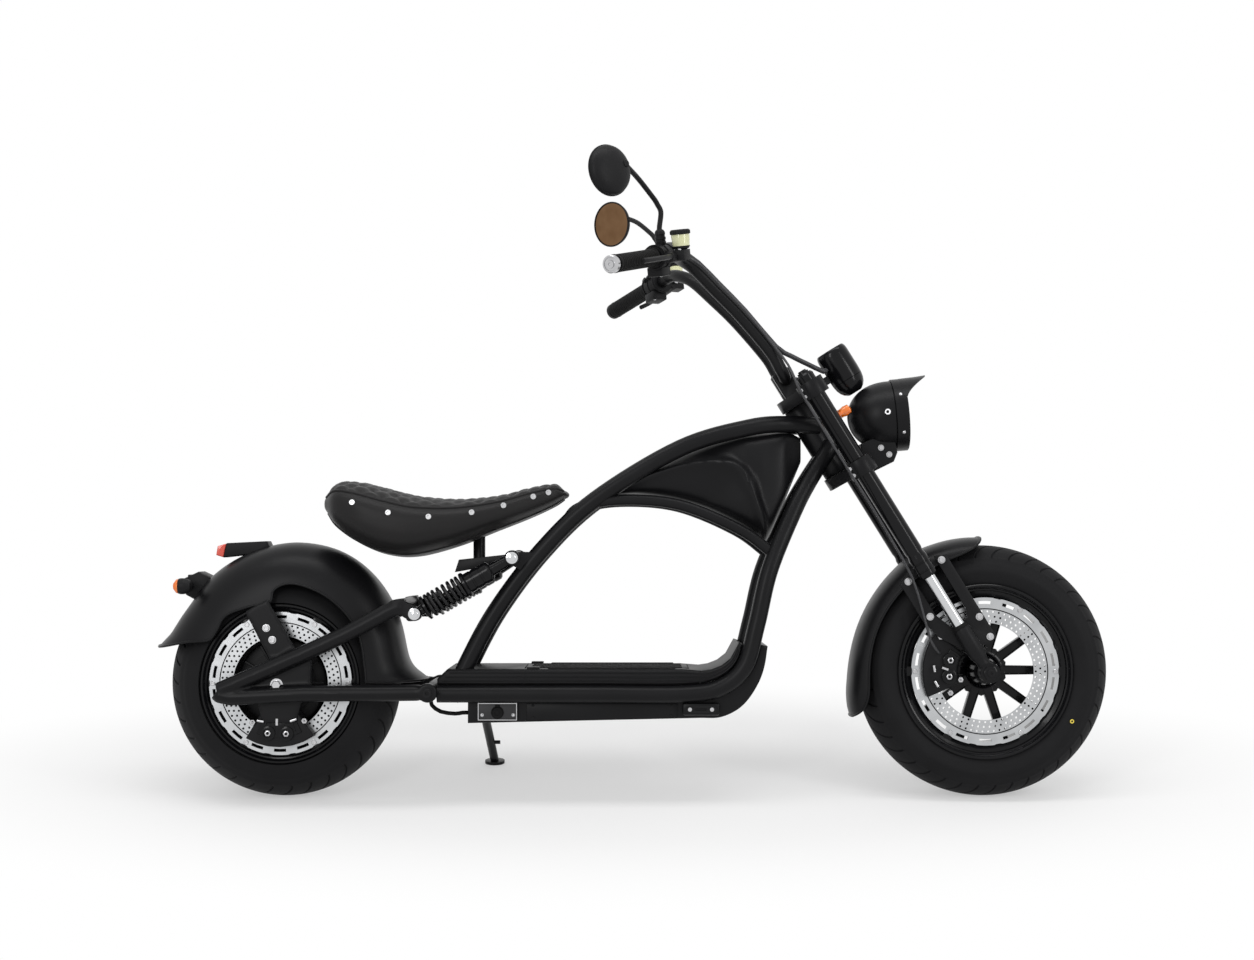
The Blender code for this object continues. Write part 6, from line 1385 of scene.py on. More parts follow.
@dataclass
class FrameTubes(Assembly):
    """The frame's bent tubes and the handlebar, each swept smoothly along its route.

    Routes are (x, half width, z) in the bike frame; the bar's is in the fork frame.
    """

    radius: float = 0.017
    arch_radius: float = 0.011
    head_reach: float = 0.0235
    spans: int = 8
    sides: int = 32

    MAIN = (
        (0.35997, 0.022, 0.73803), (0.29697, 0.040, 0.74003), (0.21797, 0.062, 0.73203), (0.080, 0.080, 0.690),
        (-0.088, 0.085, 0.588), (-0.196, 0.085, 0.485), (-0.285, 0.085, 0.367), (-0.343, 0.085, 0.260),
        (-0.372, 0.085, 0.196),
    )
    ARCH = (
        (-0.150, 0.085, 0.535), (-0.120, 0.085, 0.572), (-0.039, 0.085, 0.588), (0.079, 0.085, 0.578),
        (0.198, 0.085, 0.529), (0.268, 0.090, 0.478),
    )
    RAIL = (
        (-0.3965, 0.105, 0.208), (-0.273, 0.105, 0.208), (-0.078, 0.105, 0.208), (0.085, 0.105, 0.208),
        (0.157, 0.105, 0.220), (0.205, 0.105, 0.262), (0.229, 0.105, 0.343), (0.255, 0.100, 0.450),
        (0.30397, 0.068, 0.56403), (0.33797, 0.044, 0.62703), (0.38497, 0.022, 0.70003),
    )
    BAR = (
        (0.007, 0.0, 0.702), (0.007, 0.032, 0.702), (0.007, 0.049, 0.708), (0.0075, 0.058, 0.726),
        (0.008, 0.061, 0.765), (-0.006, 0.064, 0.856), (-0.022, 0.072, 0.924), (-0.036, 0.090, 0.978),
        (-0.052, 0.122, 1.006),
    )
    BAR_STRAIGHT = (0.165, 0.190, 0.372)

    def build(self) -> None:
        """Makes the tubes."""
        bike = self.rig.bike
        for label, side in SIDES:
            self.piece(f"loop_{label}", Body.CHASSIS, Finish.SATIN, [
                (pipe(self.clear_of_head(self.MAIN, side), self.radius, self.sides), bike),
                (pipe(self.sided(self.ARCH, side), self.arch_radius, self.sides), bike)], 50.0, f"frame_loop_{label}")
            self.piece(f"rail_{label}", Body.CHASSIS, Finish.SATIN, [
                (pipe(self.clear_of_head(self.RAIL, side), self.radius, self.sides), bike)], 50.0,
                f"lower_rail_{label}")
        ends = BarEnds(self.rig, self.palette)
        bend = smooth_route([*self.BAR, *(ends.on_bar(reach, 1) for reach in self.BAR_STRAIGHT)], self.spans)
        route = [Vector((point.x, -point.y, point.z)) for point in reversed(bend[1:])] + bend
        self.piece("bar_tube", Body.STEERING, Finish.SATIN,
                   [(pipe(route, ends.bar_radius, self.sides), self.rig.fork)], 50.0, "handlebar")

    def sided(self, route: Sequence[Spot], side: int) -> list[Vector]:
        """Returns the smooth curve of a route on one side."""
        return smooth_route([(x, side * y, z) for x, y, z in route], self.spans)

    def clear_of_head(self, route: Sequence[Spot], side: int) -> list[Vector]:
        """Returns a route's curve without the points inside the head tube."""
        return [point for point in self.sided(route, side)
                if math.hypot(*(self.rig.to_fork @ point).xy) > self.head_reach]


@dataclass
class ForkLegs(Assembly):
    """Fork tubes with their dust caps and chrome stanchions, in the fork frame."""

    ahead: float = 0.036
    half_width: float = 0.098
    foot: float = 0.222
    top: float = 0.690
    radius: float = 0.018
    cap_radius: float = 0.019
    stanchion_radius: float = 0.012
    slider_top: float = 0.104

    def build(self) -> None:
        """Makes both legs."""
        foot, top, cap, r, inside = self.foot, self.top, self.cap_radius, self.radius, self.stanchion_radius
        tube = [(foot + rise, radius) for rise, radius in (
            (0, 0.0), (0, cap - 0.0038), (0.002, cap - 0.0030), (0.003, cap - 0.0006), (0.005, cap), (0.013, cap),
            (0.0136, cap - 0.0010), (0.0156, cap - 0.0010), (0.0162, cap), (0.030, cap), (0.0306, cap - 0.0010),
            (0.0326, cap - 0.0010), (0.0332, cap), (0.044, cap), (0.050, r - 0.0010), (0.056, r - 0.0010), (0.060, r))]
        tube += [(top - 0.004, r), (top, r - 0.003), (top, r - 0.006), (top + 0.004, r - 0.0065), (top + 0.004, 0.0)]
        low, high = self.slider_top + 0.0003, foot - 0.0003
        stanchion = [(low, 0.0), (low, inside), (high, inside), (high, 0.0)]
        wiper = [(low, inside), (low, 0.0172), (low + 0.003, 0.0172), (low + 0.0055, 0.0145),
                 (low + 0.007, inside + 0.0002), (low + 0.007, inside)]
        for label, side in SIDES:
            place = self.rig.fork @ moved(self.ahead, side * self.half_width, 0)
            self.piece(f"fork_{label}_tube", Body.STEERING, Finish.GLOSS, [
                (lathe(tube, 64), place), (bolt(0.0085, 0.0035, Head.HEX), place @ moved(0, 0, top + 0.004))], 30.0,
                f"fork_tube_{label}")
            self.piece(f"fork_{label}_stanchion", Body.STEERING, Finish.CHROME, [(lathe(stanchion, 64), place)], 40.0,
                       f"fork_stanchion_{label}")
            self.piece(f"fork_{label}_wiper", Body.STEERING, Finish.RUBBER, [(lathe(wiper, 48), place)])


@dataclass
class Shocks(Assembly):
    """Coil-over shock absorbers, along each one's own +Z from the swingarm to the seat tube.

    Attributes:
        ends: each eye's place in the bike frame, its radius, and how far its cap stands off the eye.
    """

    y: float = 0.125
    ends: Sequence[tuple[Spot, float, float]] = (
        ((-0.438, 0.0, 0.365), 0.0138, 0.0065), ((-0.249, 0.0, 0.474), 0.0148, 0.0))
    coil_radius: float = 0.0213
    wire: float = 0.0037
    turns: int = 8
    turn_steps: int = 22
    coil_ends: Point = (0.031, 0.108)
    eye_half: float = 0.011

    DAMPER = (
        (0.006, 0.0), (0.008, 0.0095), (0.018, 0.0100), (0.0205, 0.0215), (0.0225, 0.0250), (0.0268, 0.0250),
        (0.0280, 0.0180), (0.0300, 0.0130), (0.0420, 0.0120), (0.0430, 0.0080), (0.1085, 0.0080), (0.1095, 0.0240),
        (0.1110, 0.0256), (0.1155, 0.0256), (0.1170, 0.0240), (0.1185, 0.0206), (0.1300, 0.0206), (0.1306, 0.0196),
        (0.1340, 0.0196), (0.1346, 0.0206), (0.1480, 0.0206), (0.1486, 0.0196), (0.1520, 0.0196), (0.1526, 0.0206),
        (0.1650, 0.0206), (0.1690, 0.0180), (0.1720, 0.0125),
    )
    CAP = ((0, 0), (0, 0.0115), (0.0015, 0.0115), (0.0022, 0.0080), (0.0070, 0.0075), (0.0078, 0.0062), (0.0078, 0.0))

    def build(self) -> None:
        """Makes both shock absorbers."""
        bike, half = self.rig.bike, self.eye_half
        foot, head = (Vector(spot) for spot, _, _ in self.ends)
        length = (head - foot).length
        damper = [*self.DAMPER, (length - 0.012, 0.0105), (length - 0.006, 0.0)]
        for label, side in SIDES:
            shift, way = Vector((0, side * self.y, 0)), Vector((0, side, 0))
            at = bike @ facing(foot + shift, head - foot)
            self.piece(f"shock_{label}_damper", Body.CHASSIS, Finish.GLOSS, [(lathe(damper, 48), at)], 32.0,
                       f"shock_{label}", Finish.SPRING)
            self.piece(f"shock_{label}_coil", Body.CHASSIS, Finish.SPRING, [(self.coil(), at)], 50.0)
            eyes, caps = [], []
            for spot, radius, off in self.ends:
                eye = [(-half, 0.006), (-half, radius - 0.001), (-half + 0.001, radius), (half - 0.001, radius),
                       (half, radius - 0.001), (half, 0.006)]
                middle = Vector(spot) + shift
                eyes.append((lathe(eye, 40, "Y"), bike @ Matrix.Translation(middle)))
                caps.append((lathe(self.CAP, 32), bike @ facing(middle + way * (half + off), way)))
            self.piece(f"shock_{label}_eyes", Body.CHASSIS, Finish.SATIN, eyes)
            self.piece(f"shock_{label}_bolts", Body.CHASSIS, Finish.CHROME, caps)

    def coil(self) -> Shape:
        """Makes the spring, its end turns closed up.

        Returns:
            The spring.
        """
        count = self.turns * self.turn_steps
        low, high = self.coil_ends
        points = []
        for share in (index / count for index in range(count + 1)):
            eased = share - 0.035 * math.sin(2 * math.pi * share)
            points.append((*polar(self.coil_radius, 2 * math.pi * self.turns * share), low + (high - low) * eased))
        return pipe(points, self.wire, 10)


@dataclass(frozen=True)
class BoltGroup:
    """Bolt heads of one kind on one body.

    Attributes:
        name: the piece's name.
        body: the body they ride on.
        frame: the local frame, bike or fork.
        spots: places on the right side; the left side mirrors them.
        radius: the heads' radius.
        height: the heads' height.
        kind: the kind of head.
        finish: the heads' finish.
        sides: 1 for the right side, -1 for the left one that mirrors it.
    """

    name: str
    body: Body
    frame: str
    spots: Sequence[Spot]
    radius: float
    height: float = 0.0035
    kind: Head = Head.SOCKET
    finish: Finish = Finish.BRIGHT
    sides: Sequence[int] = (1, -1)


@dataclass
class Bolts(Assembly):
    """The groups of bolt heads, each head on a washer."""

    washer_rise: float = 0.0008

    GROUPS = (
        BoltGroup("upper_clamp_bolts", Body.STEERING, "fork", (
            (0.0135, -0.1140, 0.6490), (0.0135, -0.1140, 0.6640)), 0.0034),
        BoltGroup("lower_clamp_bolts", Body.STEERING, "fork", (
            (0.0135, -0.1140, 0.4680), (0.0135, -0.1140, 0.4830)), 0.0034),
        BoltGroup("lamp_bracket_bolts", Body.STEERING, "fork", (
            (0.0965, -0.0420, 0.4850), (0.1034, -0.0420, 0.4650)), 0.0046),
        BoltGroup("fender_stay_bolts", Body.STEERING, "bike", (
            (0.595, -0.0835, 0.470), (0.529, -0.0835, 0.427), (0.572, -0.0835, 0.358), (0.669, -0.0835, 0.358),
            (0.690, -0.0835, 0.319)), 0.0056, 0.0040),
        BoltGroup("front_axle_cap", Body.STEERING, "bike", ((0.685, -0.1140, 0.249),), 0.0150, 0.0050, Head.HEX,
                  Finish.GLOSS),
        BoltGroup("front_axle_bolt", Body.STEERING, "bike", ((0.685, -0.1190, 0.249),), 0.0070, 0.0030,
                  finish=Finish.CAST),
        BoltGroup("fender_plate_bolts", Body.CHASSIS, "bike", (
            (-0.729, -0.1190, 0.337), (-0.717, -0.1190, 0.314)), 0.0058, 0.0042, sides=(1,)),
        BoltGroup("rear_axle_nuts", Body.CHASSIS, "bike", ((-0.707, -0.1270, 0.227),), 0.0095, 0.0080, Head.HEX),
        BoltGroup("pivot_bolts", Body.CHASSIS, "bike", ((-0.412, -0.1460, 0.212),), 0.0085, 0.0050,
                  finish=Finish.CAST),
        BoltGroup("step_bolts", Body.CHASSIS, "bike", ((0.098, -0.1078, 0.178), (0.141, -0.1078, 0.178)), 0.0042),
        BoltGroup("battery_screws", Body.CHASSIS, "bike", (
            (-0.210, -0.0888, 0.184), (-0.210, -0.0888, 0.160), (0.062, -0.0888, 0.184), (0.062, -0.0888, 0.164)),
            0.0022, 0.0014, Head.DOME, Finish.CAST),
        BoltGroup("socket_screws", Body.CHASSIS, "bike", (
            (-0.309, -0.0958, 0.166), (-0.248, -0.0958, 0.166)), 0.0026, 0.0018, Head.DOME, sides=(1,)),
    )

    def build(self) -> None:
        """Makes the heads, one piece to a group."""
        frames = {"bike": self.rig.bike, "fork": self.rig.fork}
        rise = self.washer_rise
        for group in self.GROUPS:
            wide = group.radius * 1.3
            parts = []
            for x, y, z in group.spots:
                for side in group.sides:
                    at = frames[group.frame] @ facing((x, y * side, z), (0, math.copysign(1.0, y * side), 0))
                    parts += [(lathe([(0, 0), (0, wide), (rise, wide), (rise + 0.0002, 0)], 20), at),
                              (bolt(group.radius, group.height, group.kind), at @ moved(0, 0, rise))]
            self.piece(group.name, group.body, group.finish, parts, 32.0)


@dataclass
class CaliperTrim(Assembly):
    """What is bolted to a brake caliper: raised pad, piston caps, bolts, bleed nipple and hose union.

    Places are (x, z) in the bike frame.

    Attributes:
        end: front or rear.
        body: the body it rides on.
        hub: the axle.
        face: the caliper's face, as a y.
        middle, spread: the pad's middle and half its reach round the axle, in degrees.
        near, far: the pad's radii.
        pistons, bolts: their places.
        pills: place and turn in degrees of each short round bar.
    """

    end: str
    body: Body
    hub: Point
    face: float
    middle: float
    spread: float
    near: float
    far: float
    pistons: Sequence[Point]
    bolts: Sequence[Point]
    pills: Sequence[Spot]
    pad_rise: float = 0.0035

    PISTON = ((0, 0), (0, 0.0145), (0.0035, 0.0142), (0.0042, 0.0125), (0.0042, 0.0088), (0.0020, 0.0082),
              (0.0020, 0.0))
    NUT = ((0, 0.0034), (0, 0.0062), (0.0022, 0.0060), (0.0026, 0.0052), (0.0026, 0.0034))

    def build(self) -> None:
        """Makes the trim."""
        bike, away = self.rig.bike, (0, -1, 0)
        top = self.face - self.pad_rise
        tall = (self.far - self.near) * 0.36
        turns = [math.radians(self.middle + self.spread * (step / 4 - 1)) for step in range(9)]
        outline = [polar(self.far, turn, self.hub) for turn in turns]
        outline += [polar(self.near, turn, self.hub) for turn in reversed(turns)]
        pad = [(prism(outline, top, self.face + 0.001, 0.0012), bike)]
        pad += [(lathe(self.PISTON, 40), bike @ facing((x, top, z), away)) for x, z in self.pistons]
        for turn in turns[1:-1:2]:
            x, z = polar((self.near + self.far) / 2, turn, self.hub)
            pad.append((box((-0.0014, -0.0016, -tall), (0.0014, 0.0002, tall), 0.0006),
                        bike @ moved(x, top, z) @ Matrix.Rotation(math.pi / 2 - turn, 4, "Y")))
        self.piece(f"{self.end}_caliper_pad", self.body, Finish.GLOSS, pad, 32.0)
        bright = [(lathe(self.NUT, 6), bike @ facing((x, top - 0.0018, z), away)) for x, z in self.pistons]
        for x, z in self.bolts:
            at = bike @ facing((x, self.face, z), away)
            bright += [(bolt(0.0062, 0.0055, Head.HEX), at), (bolt(0.0038, 0.0075, Head.DOME), at)]
        bright += [(pipe([(-0.0065, 0, 0), (0.0065, 0, 0)], 0.0030, 14),
                    bike @ moved(x, top - 0.003, z) @ turned(degrees, "Y")) for x, z, degrees in self.pills]
        self.piece(f"{self.end}_caliper_bolts", self.body, Finish.BRIGHT, bright, 32.0)


@dataclass
class DeckTrim(Assembly):
    """Ridges along the footboard's sides, treads on its lid, and its latch; RIDGES are (x, z)."""

    side_y: float = 0.1082
    top_z: float = 0.2563
    tread_rise: float = 0.0018
    lid_treads: int = 9
    tread_pitch: float = 0.015

    RIDGES = (
        ((-0.385, 0.2331), (-0.273, 0.2331), (-0.078, 0.2331), (0.0112, 0.2324), (0.0841, 0.2331), (0.1243, 0.2347),
         (0.1475, 0.2409), (0.1695, 0.2533), (0.1868, 0.2721), (0.1964, 0.2959)),
        ((-0.380, 0.2408), (-0.273, 0.2408), (-0.078, 0.2408), (0.0112, 0.2401), (0.0839, 0.2408), (0.1232, 0.2409),
         (0.1452, 0.2460), (0.1664, 0.2568), (0.1837, 0.2738), (0.1937, 0.2963)),
        ((-0.372, 0.2495), (-0.273, 0.2495), (-0.078, 0.2495), (0.0112, 0.2488), (0.0836, 0.2495), (0.1221, 0.2479),
         (0.1426, 0.2517), (0.1629, 0.2608), (0.1802, 0.2758), (0.1905, 0.2962)),
    )

    def build(self) -> None:
        """Makes the trim."""
        bike, y, low, high = self.rig.bike, self.side_y, self.top_z, self.top_z + self.tread_rise
        ridges = []
        for side in (1, -1):
            routes = [smooth_route([(x, side * y, z) for x, z in line], 4) for line in self.RIDGES]
            ridges += [(pipe(route, 0.0014, 8), bike) for route in routes]
            ridges += [(box((x - 0.0012, side * y, 0.2275), (x + 0.0012, side * (y + 0.0009), 0.2535), 0.0003), bike)
                       for x in (-0.226, 0.118)]
            ridges.append((box((-0.221, side * 0.088, low), (-0.196, side * 0.105, low + 0.0042), 0.0015), bike))
        self.piece("deck_ridges", Body.CHASSIS, Finish.SATIN, ridges, 40.0)
        middles = [self.tread_pitch * (index - self.lid_treads // 2) for index in range(self.lid_treads)]
        self.piece("lid_treads", Body.LID, Finish.RUBBER, [
            (box((-0.214, middle - 0.0035, low), (0.084, middle + 0.0035, high), 0.0008), bike) for middle in middles])
        self.piece("deck_treads", Body.CHASSIS, Finish.RUBBER, [
            (box((-0.180, side * inner, low), (0.070, side * (inner + 0.006), high), 0.0008), bike)
            for side in (1, -1) for inner in (0.083, 0.094)])


def rectangle(half_x: float, half_z: float) -> list[Point]:
    """Returns a rectangle's corners."""
    return [(-half_x, -half_z), (half_x, -half_z), (half_x, half_z), (-half_x, half_z)]


def pill(half_length: float, radius: float, x: float = 0.0) -> list[Point]:
    """Returns a rounded slot's outline about (x, 0)."""
    return [polar(radius, math.radians(start + 180.0 * step / 8), (x + centre, 0.0))
            for centre, start in ((half_length, -90.0), (-half_length, 90.0)) for step in range(9)]


@dataclass
class BatteryTrim(Assembly):
    """The battery box, its side panels, the charging socket's frame and cap, and the step brackets' plates.

    UNDER and ABOVE are the two sides of the box's bent-up nose, PANEL a side panel: (x, z) in the bike frame.
    """

    side_y: float = 0.0876
    socket_x: float = -0.279
    socket_y: float = -0.0960
    bracket_y: float = 0.1078

    UNDER = ((0.120, 0.1592), (0.157, 0.1602), (0.190, 0.1740), (0.214, 0.1960), (0.235, 0.2300), (0.246, 0.2620),
             (0.252, 0.3000))
    ABOVE = ((0.236, 0.3040), (0.222, 0.2620), (0.190, 0.2320), (0.140, 0.2230))
    PANEL = ((-0.222, 0.1550), (0.074, 0.1595), (0.074, 0.1885), (-0.222, 0.1885))
    CAP = ((0, 0), (0, 0.0125), (0.0012, 0.0125), (0.0020, 0.0112), (0.0050, 0.0106), (0.0062, 0.0092),
           (0.0062, 0.0060), (0.0052, 0.0054), (0.0052, 0))

    def build(self) -> None:
        """Makes the box and its trim."""
        bike, y, out = self.rig.bike, self.side_y, self.bracket_y
        nose = [(x, z) for route in (self.UNDER, self.ABOVE) for x, z in smooth_route(route)]
        case = [(prism([(-0.338, 0.149), *nose, (-0.338, 0.223)], -y + 0.0001, y - 0.0001, 0.005, 3), bike)]
        case += [(box((0.084, side * 0.082, 0.166), (0.156, side * out, 0.1895), 0.004), bike) for side in (1, -1)]
        self.piece("battery_case", Body.CHASSIS, Finish.SATIN, case, replaces="battery_box")
        self.piece("battery_panels", Body.CHASSIS, Finish.SATIN, [
            (prism(self.PANEL, side * y, side * (y + 0.0012), 0.0010), bike) for side in (1, -1)], 40.0)
        slots = [pill(0.0090, 0.0026), pill(0.0, 0.0030, 0.0215), pill(0.0, 0.0030, -0.0215)]
        self.piece("step_plates", Body.CHASSIS, Finish.CAST, [
            (perforated(pill(0.0235, 0.0072), slots, 0.0022), bike @ moved(0.1195, side * (out + 0.0012), 0.178))
            for side in (1, -1)], 40.0)
        frame = perforated(rectangle(0.0382, 0.0168), [rectangle(0.0368, 0.0154)], 0.0014)
        self.piece("socket_frame", Body.CHASSIS, Finish.BRIGHT, [
            (frame, bike @ moved(self.socket_x, self.socket_y - 0.0007, 0.1725))], 40.0)
        at = bike @ facing((self.socket_x, self.socket_y, 0.171), (0, -1, 0))
        tab = box((self.socket_x - 0.0045, self.socket_y - 0.0030, 0.1815),
                  (self.socket_x + 0.0045, self.socket_y, 0.1870), 0.0010)
        ribs = [(box((0.0100, -0.0012, 0.0015), (0.0122, 0.0012, 0.0048), 0.0004), at @ turn)
                for turn in around(6, "Z")]
        self.piece("socket_cap", Body.CHASSIS, Finish.RUBBER, [(lathe(self.CAP, 36), at), (tab, bike), *ribs], 32.0)


@dataclass
class TailRack(Assembly):
    """The bracket behind the rear fender with its two signal lamps and the red reflector."""

    spot: Point = (-0.8845, 0.4106)
    lamp: Point = (-0.8980, 0.4180)
    lamp_y: float = 0.085
    reflector: Spot = (-0.9076, 0, 0.4150)
    reflector_way: Spot = (-0.988, 0, -0.154)
    arm_radius: float = 0.006
    arm_rings: int = 5

    OUTLINE = ((0.0165, -0.0306), (-0.0205, -0.0106), (-0.0255, 0.0214), (0.0045, 0.0354), (0.0345, 0.0214))
    POD = ((0.016, 0.0), (0.0155, 0.006), (0.0135, 0.0108), (0.008, 0.0142), (0.0, 0.0158), (-0.006, 0.0158),
           (-0.0095, 0.0150), (-0.0105, 0.0138), (-0.0105, 0.0))
    LENS = ((-0.0103, 0.0), (-0.0103, 0.0142), (-0.0125, 0.0142), (-0.0150, 0.0130), (-0.0152, 0.0105),
            (-0.0172, 0.0100), (-0.0176, 0.0075), (-0.0195, 0.0070), (-0.0205, 0.0040), (-0.0215, 0.0))
    DISC = ((0, 0), (0, 0.0175), (0.0030, 0.0175), (0.0042, 0.0160), (0.0042, 0.0120), (0.0034, 0.0115),
            (0.0042, 0.0105), (0.0042, 0))

    def build(self) -> None:
        """Makes the bracket and what it carries."""
        bike = self.rig.bike
        x, z = self.lamp
        arm = [(0.030, self.arm_radius), (0.036, 0.0095)]
        for start in (0.037 + 0.005 * index for index in range(self.arm_rings)):
            arm += [(start, 0.0092), (start + 0.0030, 0.0088), (start + 0.0036, 0.0068), (start + 0.0046, 0.0068)]
        arm += [(0.0640, 0.0075), (0.0760, 0.0062), (0.0760, 0.0), (0.030, 0.0)]
        outline = [(x + self.spot[0], z + self.spot[1]) for x, z in self.OUTLINE]
        lamps = [bike @ moved(x, side * self.lamp_y, z) for side in (1, -1)]
        rack = [(prism(outline, -0.035, 0.035, 0.004), bike)]
        for side, place in zip((1, -1), lamps):
            rack += [(lathe(arm, 28), bike @ facing((x, 0, z), (0, side, 0))), (lathe(self.POD, 40, "X"), place)]
        rack.append((box((x - 0.004, -0.030, z + 0.016), (x + 0.016, 0.030, z + 0.022), 0.0018), bike))
        self.piece("tail_rack", Body.CHASSIS, Finish.PLASTIC, rack, replaces="tail_bracket")
        self.piece("rear_signal_lenses", Body.CHASSIS, Finish.AMBER, [
            (lathe(self.LENS, 40, "X"), place) for place in lamps], 40.0)
        self.piece("tail_reflector", Body.CHASSIS, Finish.RED, [
            (lathe(self.DISC, 36), bike @ facing(self.reflector, self.reflector_way))])


@dataclass
class TyreMark(Assembly):
    """The painted ring that marks the front tyre's light spot, in the front hub's frame."""

    spot: Spot = (0.168, -0.0690, -0.0973)
    way: Spot = (0.12, -1, -0.08)
    radius: float = 0.0042

    def build(self) -> None:
        """Makes the ring."""
        r = self.radius
        section = [(0, r * 0.5), (0, r), (0.0006, r * 0.95), (0.0006, r * 0.55)]
        self.piece("tyre_mark", Body.FRONT_WHEEL, Finish.YELLOW, [
            (lathe(section, 24), self.rig.hubs["front"] @ facing(self.spot, self.way))], slot=Finish.TYRE)


@dataclass(frozen=True)
class Studio:
    """Floor, light and camera.

    Attributes:
        camera_spot: the camera's place beside the parked scooter.
        aim_height: the height that the camera looks at.
        lens_mm: the lens that gives the photograph's scale.
        sensor_mm: the sensor's width.
        room_level: how bright the room lights the scooter.
        floor_oval: how the floor's fade to white is squeezed.
        floor_fade: where the fade starts and ends.
        floor_white: how white the floor is under the scooter.
        floor_height: the floor's height.
    """

    camera_spot: Spot = (-0.025, -4.0, 1.1356)
    aim_height: float = 0.6346
    lens_mm: float = 58.88
    sensor_mm: float = 36.0
    room_level: float = 0.55
    floor_oval: Spot = (0.75, 1.45, 1.0)
    floor_fade: Point = (0.62, 1.28)
    floor_white: float = 0.42
    floor_height: float = -0.0008

    # name, spot, aim, size and power of each soft box
    SOFT_BOXES = (
        ("top_box", (0.0, -0.5, 3.0), (0.0, -0.1, 0.5), (3.2, 0.7), 30.0),
        ("near_box", (-1.5, -3.4, 2.0), (-0.2, 0.0, 0.5), (0.6, 1.9), 28.0),
        ("front_box", (2.6, -2.2, 1.8), (0.4, 0.0, 0.5), (0.5, 1.8), 22.0),
    )

    def build(self, rig: Rig) -> None:
        """Makes the stage around the object.

        Args:
            rig: the local frames.
        """
        self.floor()
        self.lights()
        self.camera(rig)
        bpy.context.scene.view_settings.view_transform = "Standard"

    def floor(self) -> None:
        """Makes a wide pale floor that turns plain white far from the scooter."""
        mesh = bpy.data.meshes.new("floor")
        shape = bmesh.new()
        bmesh.ops.create_grid(shape, x_segments=1, y_segments=1, size=40.0)
        shape.to_mesh(mesh)
        shape.free()
        material = bpy.data.materials.new("pale_floor")
        material.use_nodes = True
        tree = material.node_tree
        shader = tree.nodes["Principled BSDF"]
        wire(tree, shader, {"Base Color": (0.94, 0.94, 0.94, 1.0), "Roughness": 0.85, "Specular IOR Level": 0.2})
        place = add_node(tree, "ShaderNodeTexCoord", "Object")
        oval = add_node(tree, "ShaderNodeVectorMath", "Vector", {0: place, 1: self.floor_oval}, operation="MULTIPLY")
        reach = add_node(tree, "ShaderNodeVectorMath", "Value", {0: oval}, operation="LENGTH")
        fade = add_node(tree, "ShaderNodeMapRange", "Result", {
            "From Min": self.floor_fade[0], "From Max": self.floor_fade[1], "To Min": self.floor_white,
            "Value": reach}, interpolation_type="SMOOTHSTEP")
        share = add_node(tree, "ShaderNodeMath", "Value", {0: fade, 1: self.seen(tree)}, operation="MULTIPLY")
        white = add_node(tree, "ShaderNodeEmission", "Emission")
        mix = add_node(tree, "ShaderNodeMixShader", "Shader", {"Fac": share, 1: shader.outputs["BSDF"], 2: white})
        wire(tree, tree.nodes["Material Output"], {"Surface": mix})
        mesh.materials.append(material)
        floor = bpy.data.objects.new("floor", mesh)
        floor.location.z = self.floor_height
        bpy.context.scene.collection.objects.link(floor)

    def seen(self, tree: bpy.types.NodeTree) -> bpy.types.NodeSocket:
        """Adds the nodes that tell which rays look straight at a surface.

        Args:
            tree: the node tree.

        Returns:
            A socket that is 1 for rays from the camera, from gloss and through glass.
        """
        rays = tree.nodes.new("ShaderNodeLightPath").outputs
        total = rays["Is Camera Ray"]
        for name in ("Is Glossy Ray", "Is Transmission Ray"):
            total = add_node(tree, "ShaderNodeMath", "Value", {0: total, 1: rays[name]}, operation="MAXIMUM")
        return total

    def lights(self) -> None:
        """Makes a softly lit room that looks white, and three soft boxes."""
        world = bpy.data.worlds.new("studio")
        bpy.context.scene.world = world
        world.use_nodes = True
        tree = world.node_tree
        level = add_node(tree, "ShaderNodeMapRange", "Result", {
            "To Min": self.room_level, "To Max": 1.0, "Value": self.seen(tree)})
        wire(tree, tree.nodes["Background"], {"Color": (1.0, 1.0, 1.0, 1.0), "Strength": level})
        for name, spot, aim, size, power in self.SOFT_BOXES:
            data = bpy.data.lights.new(name, "AREA")
            data.shape = "RECTANGLE"
            data.size, data.size_y = size
            data.energy = power
            self.aimed(bpy.data.objects.new(name, data), Vector(spot), Vector(aim))

    def camera(self, rig: Rig) -> None:
        """Makes a long lens square to the scooter's right side.

        Args:
            rig: the local frames.
        """
        data = bpy.data.cameras.new("camera")
        data.lens = self.lens_mm
        data.sensor_width = self.sensor_mm
        data.sensor_fit = "HORIZONTAL"
        camera = bpy.data.objects.new("camera", data)
        shift = Vector((*rig.bike.translation.xy, 0.0))
        spot = Vector(self.camera_spot)
        self.aimed(camera, spot + shift, Vector((spot.x, 0.0, self.aim_height)) + shift)
        bpy.context.scene.camera = camera

    def aimed(self, thing: bpy.types.Object, spot: Vector, aim: Vector) -> None:
        """Puts a lamp or the camera in the scene.

        Args:
            thing: the object.
            spot: its place.
            aim: the point that it looks at.
        """
        thing.location = spot
        thing.rotation_euler = (aim - spot).to_track_quat("-Z", "Y").to_euler()
        bpy.context.scene.collection.objects.link(thing)


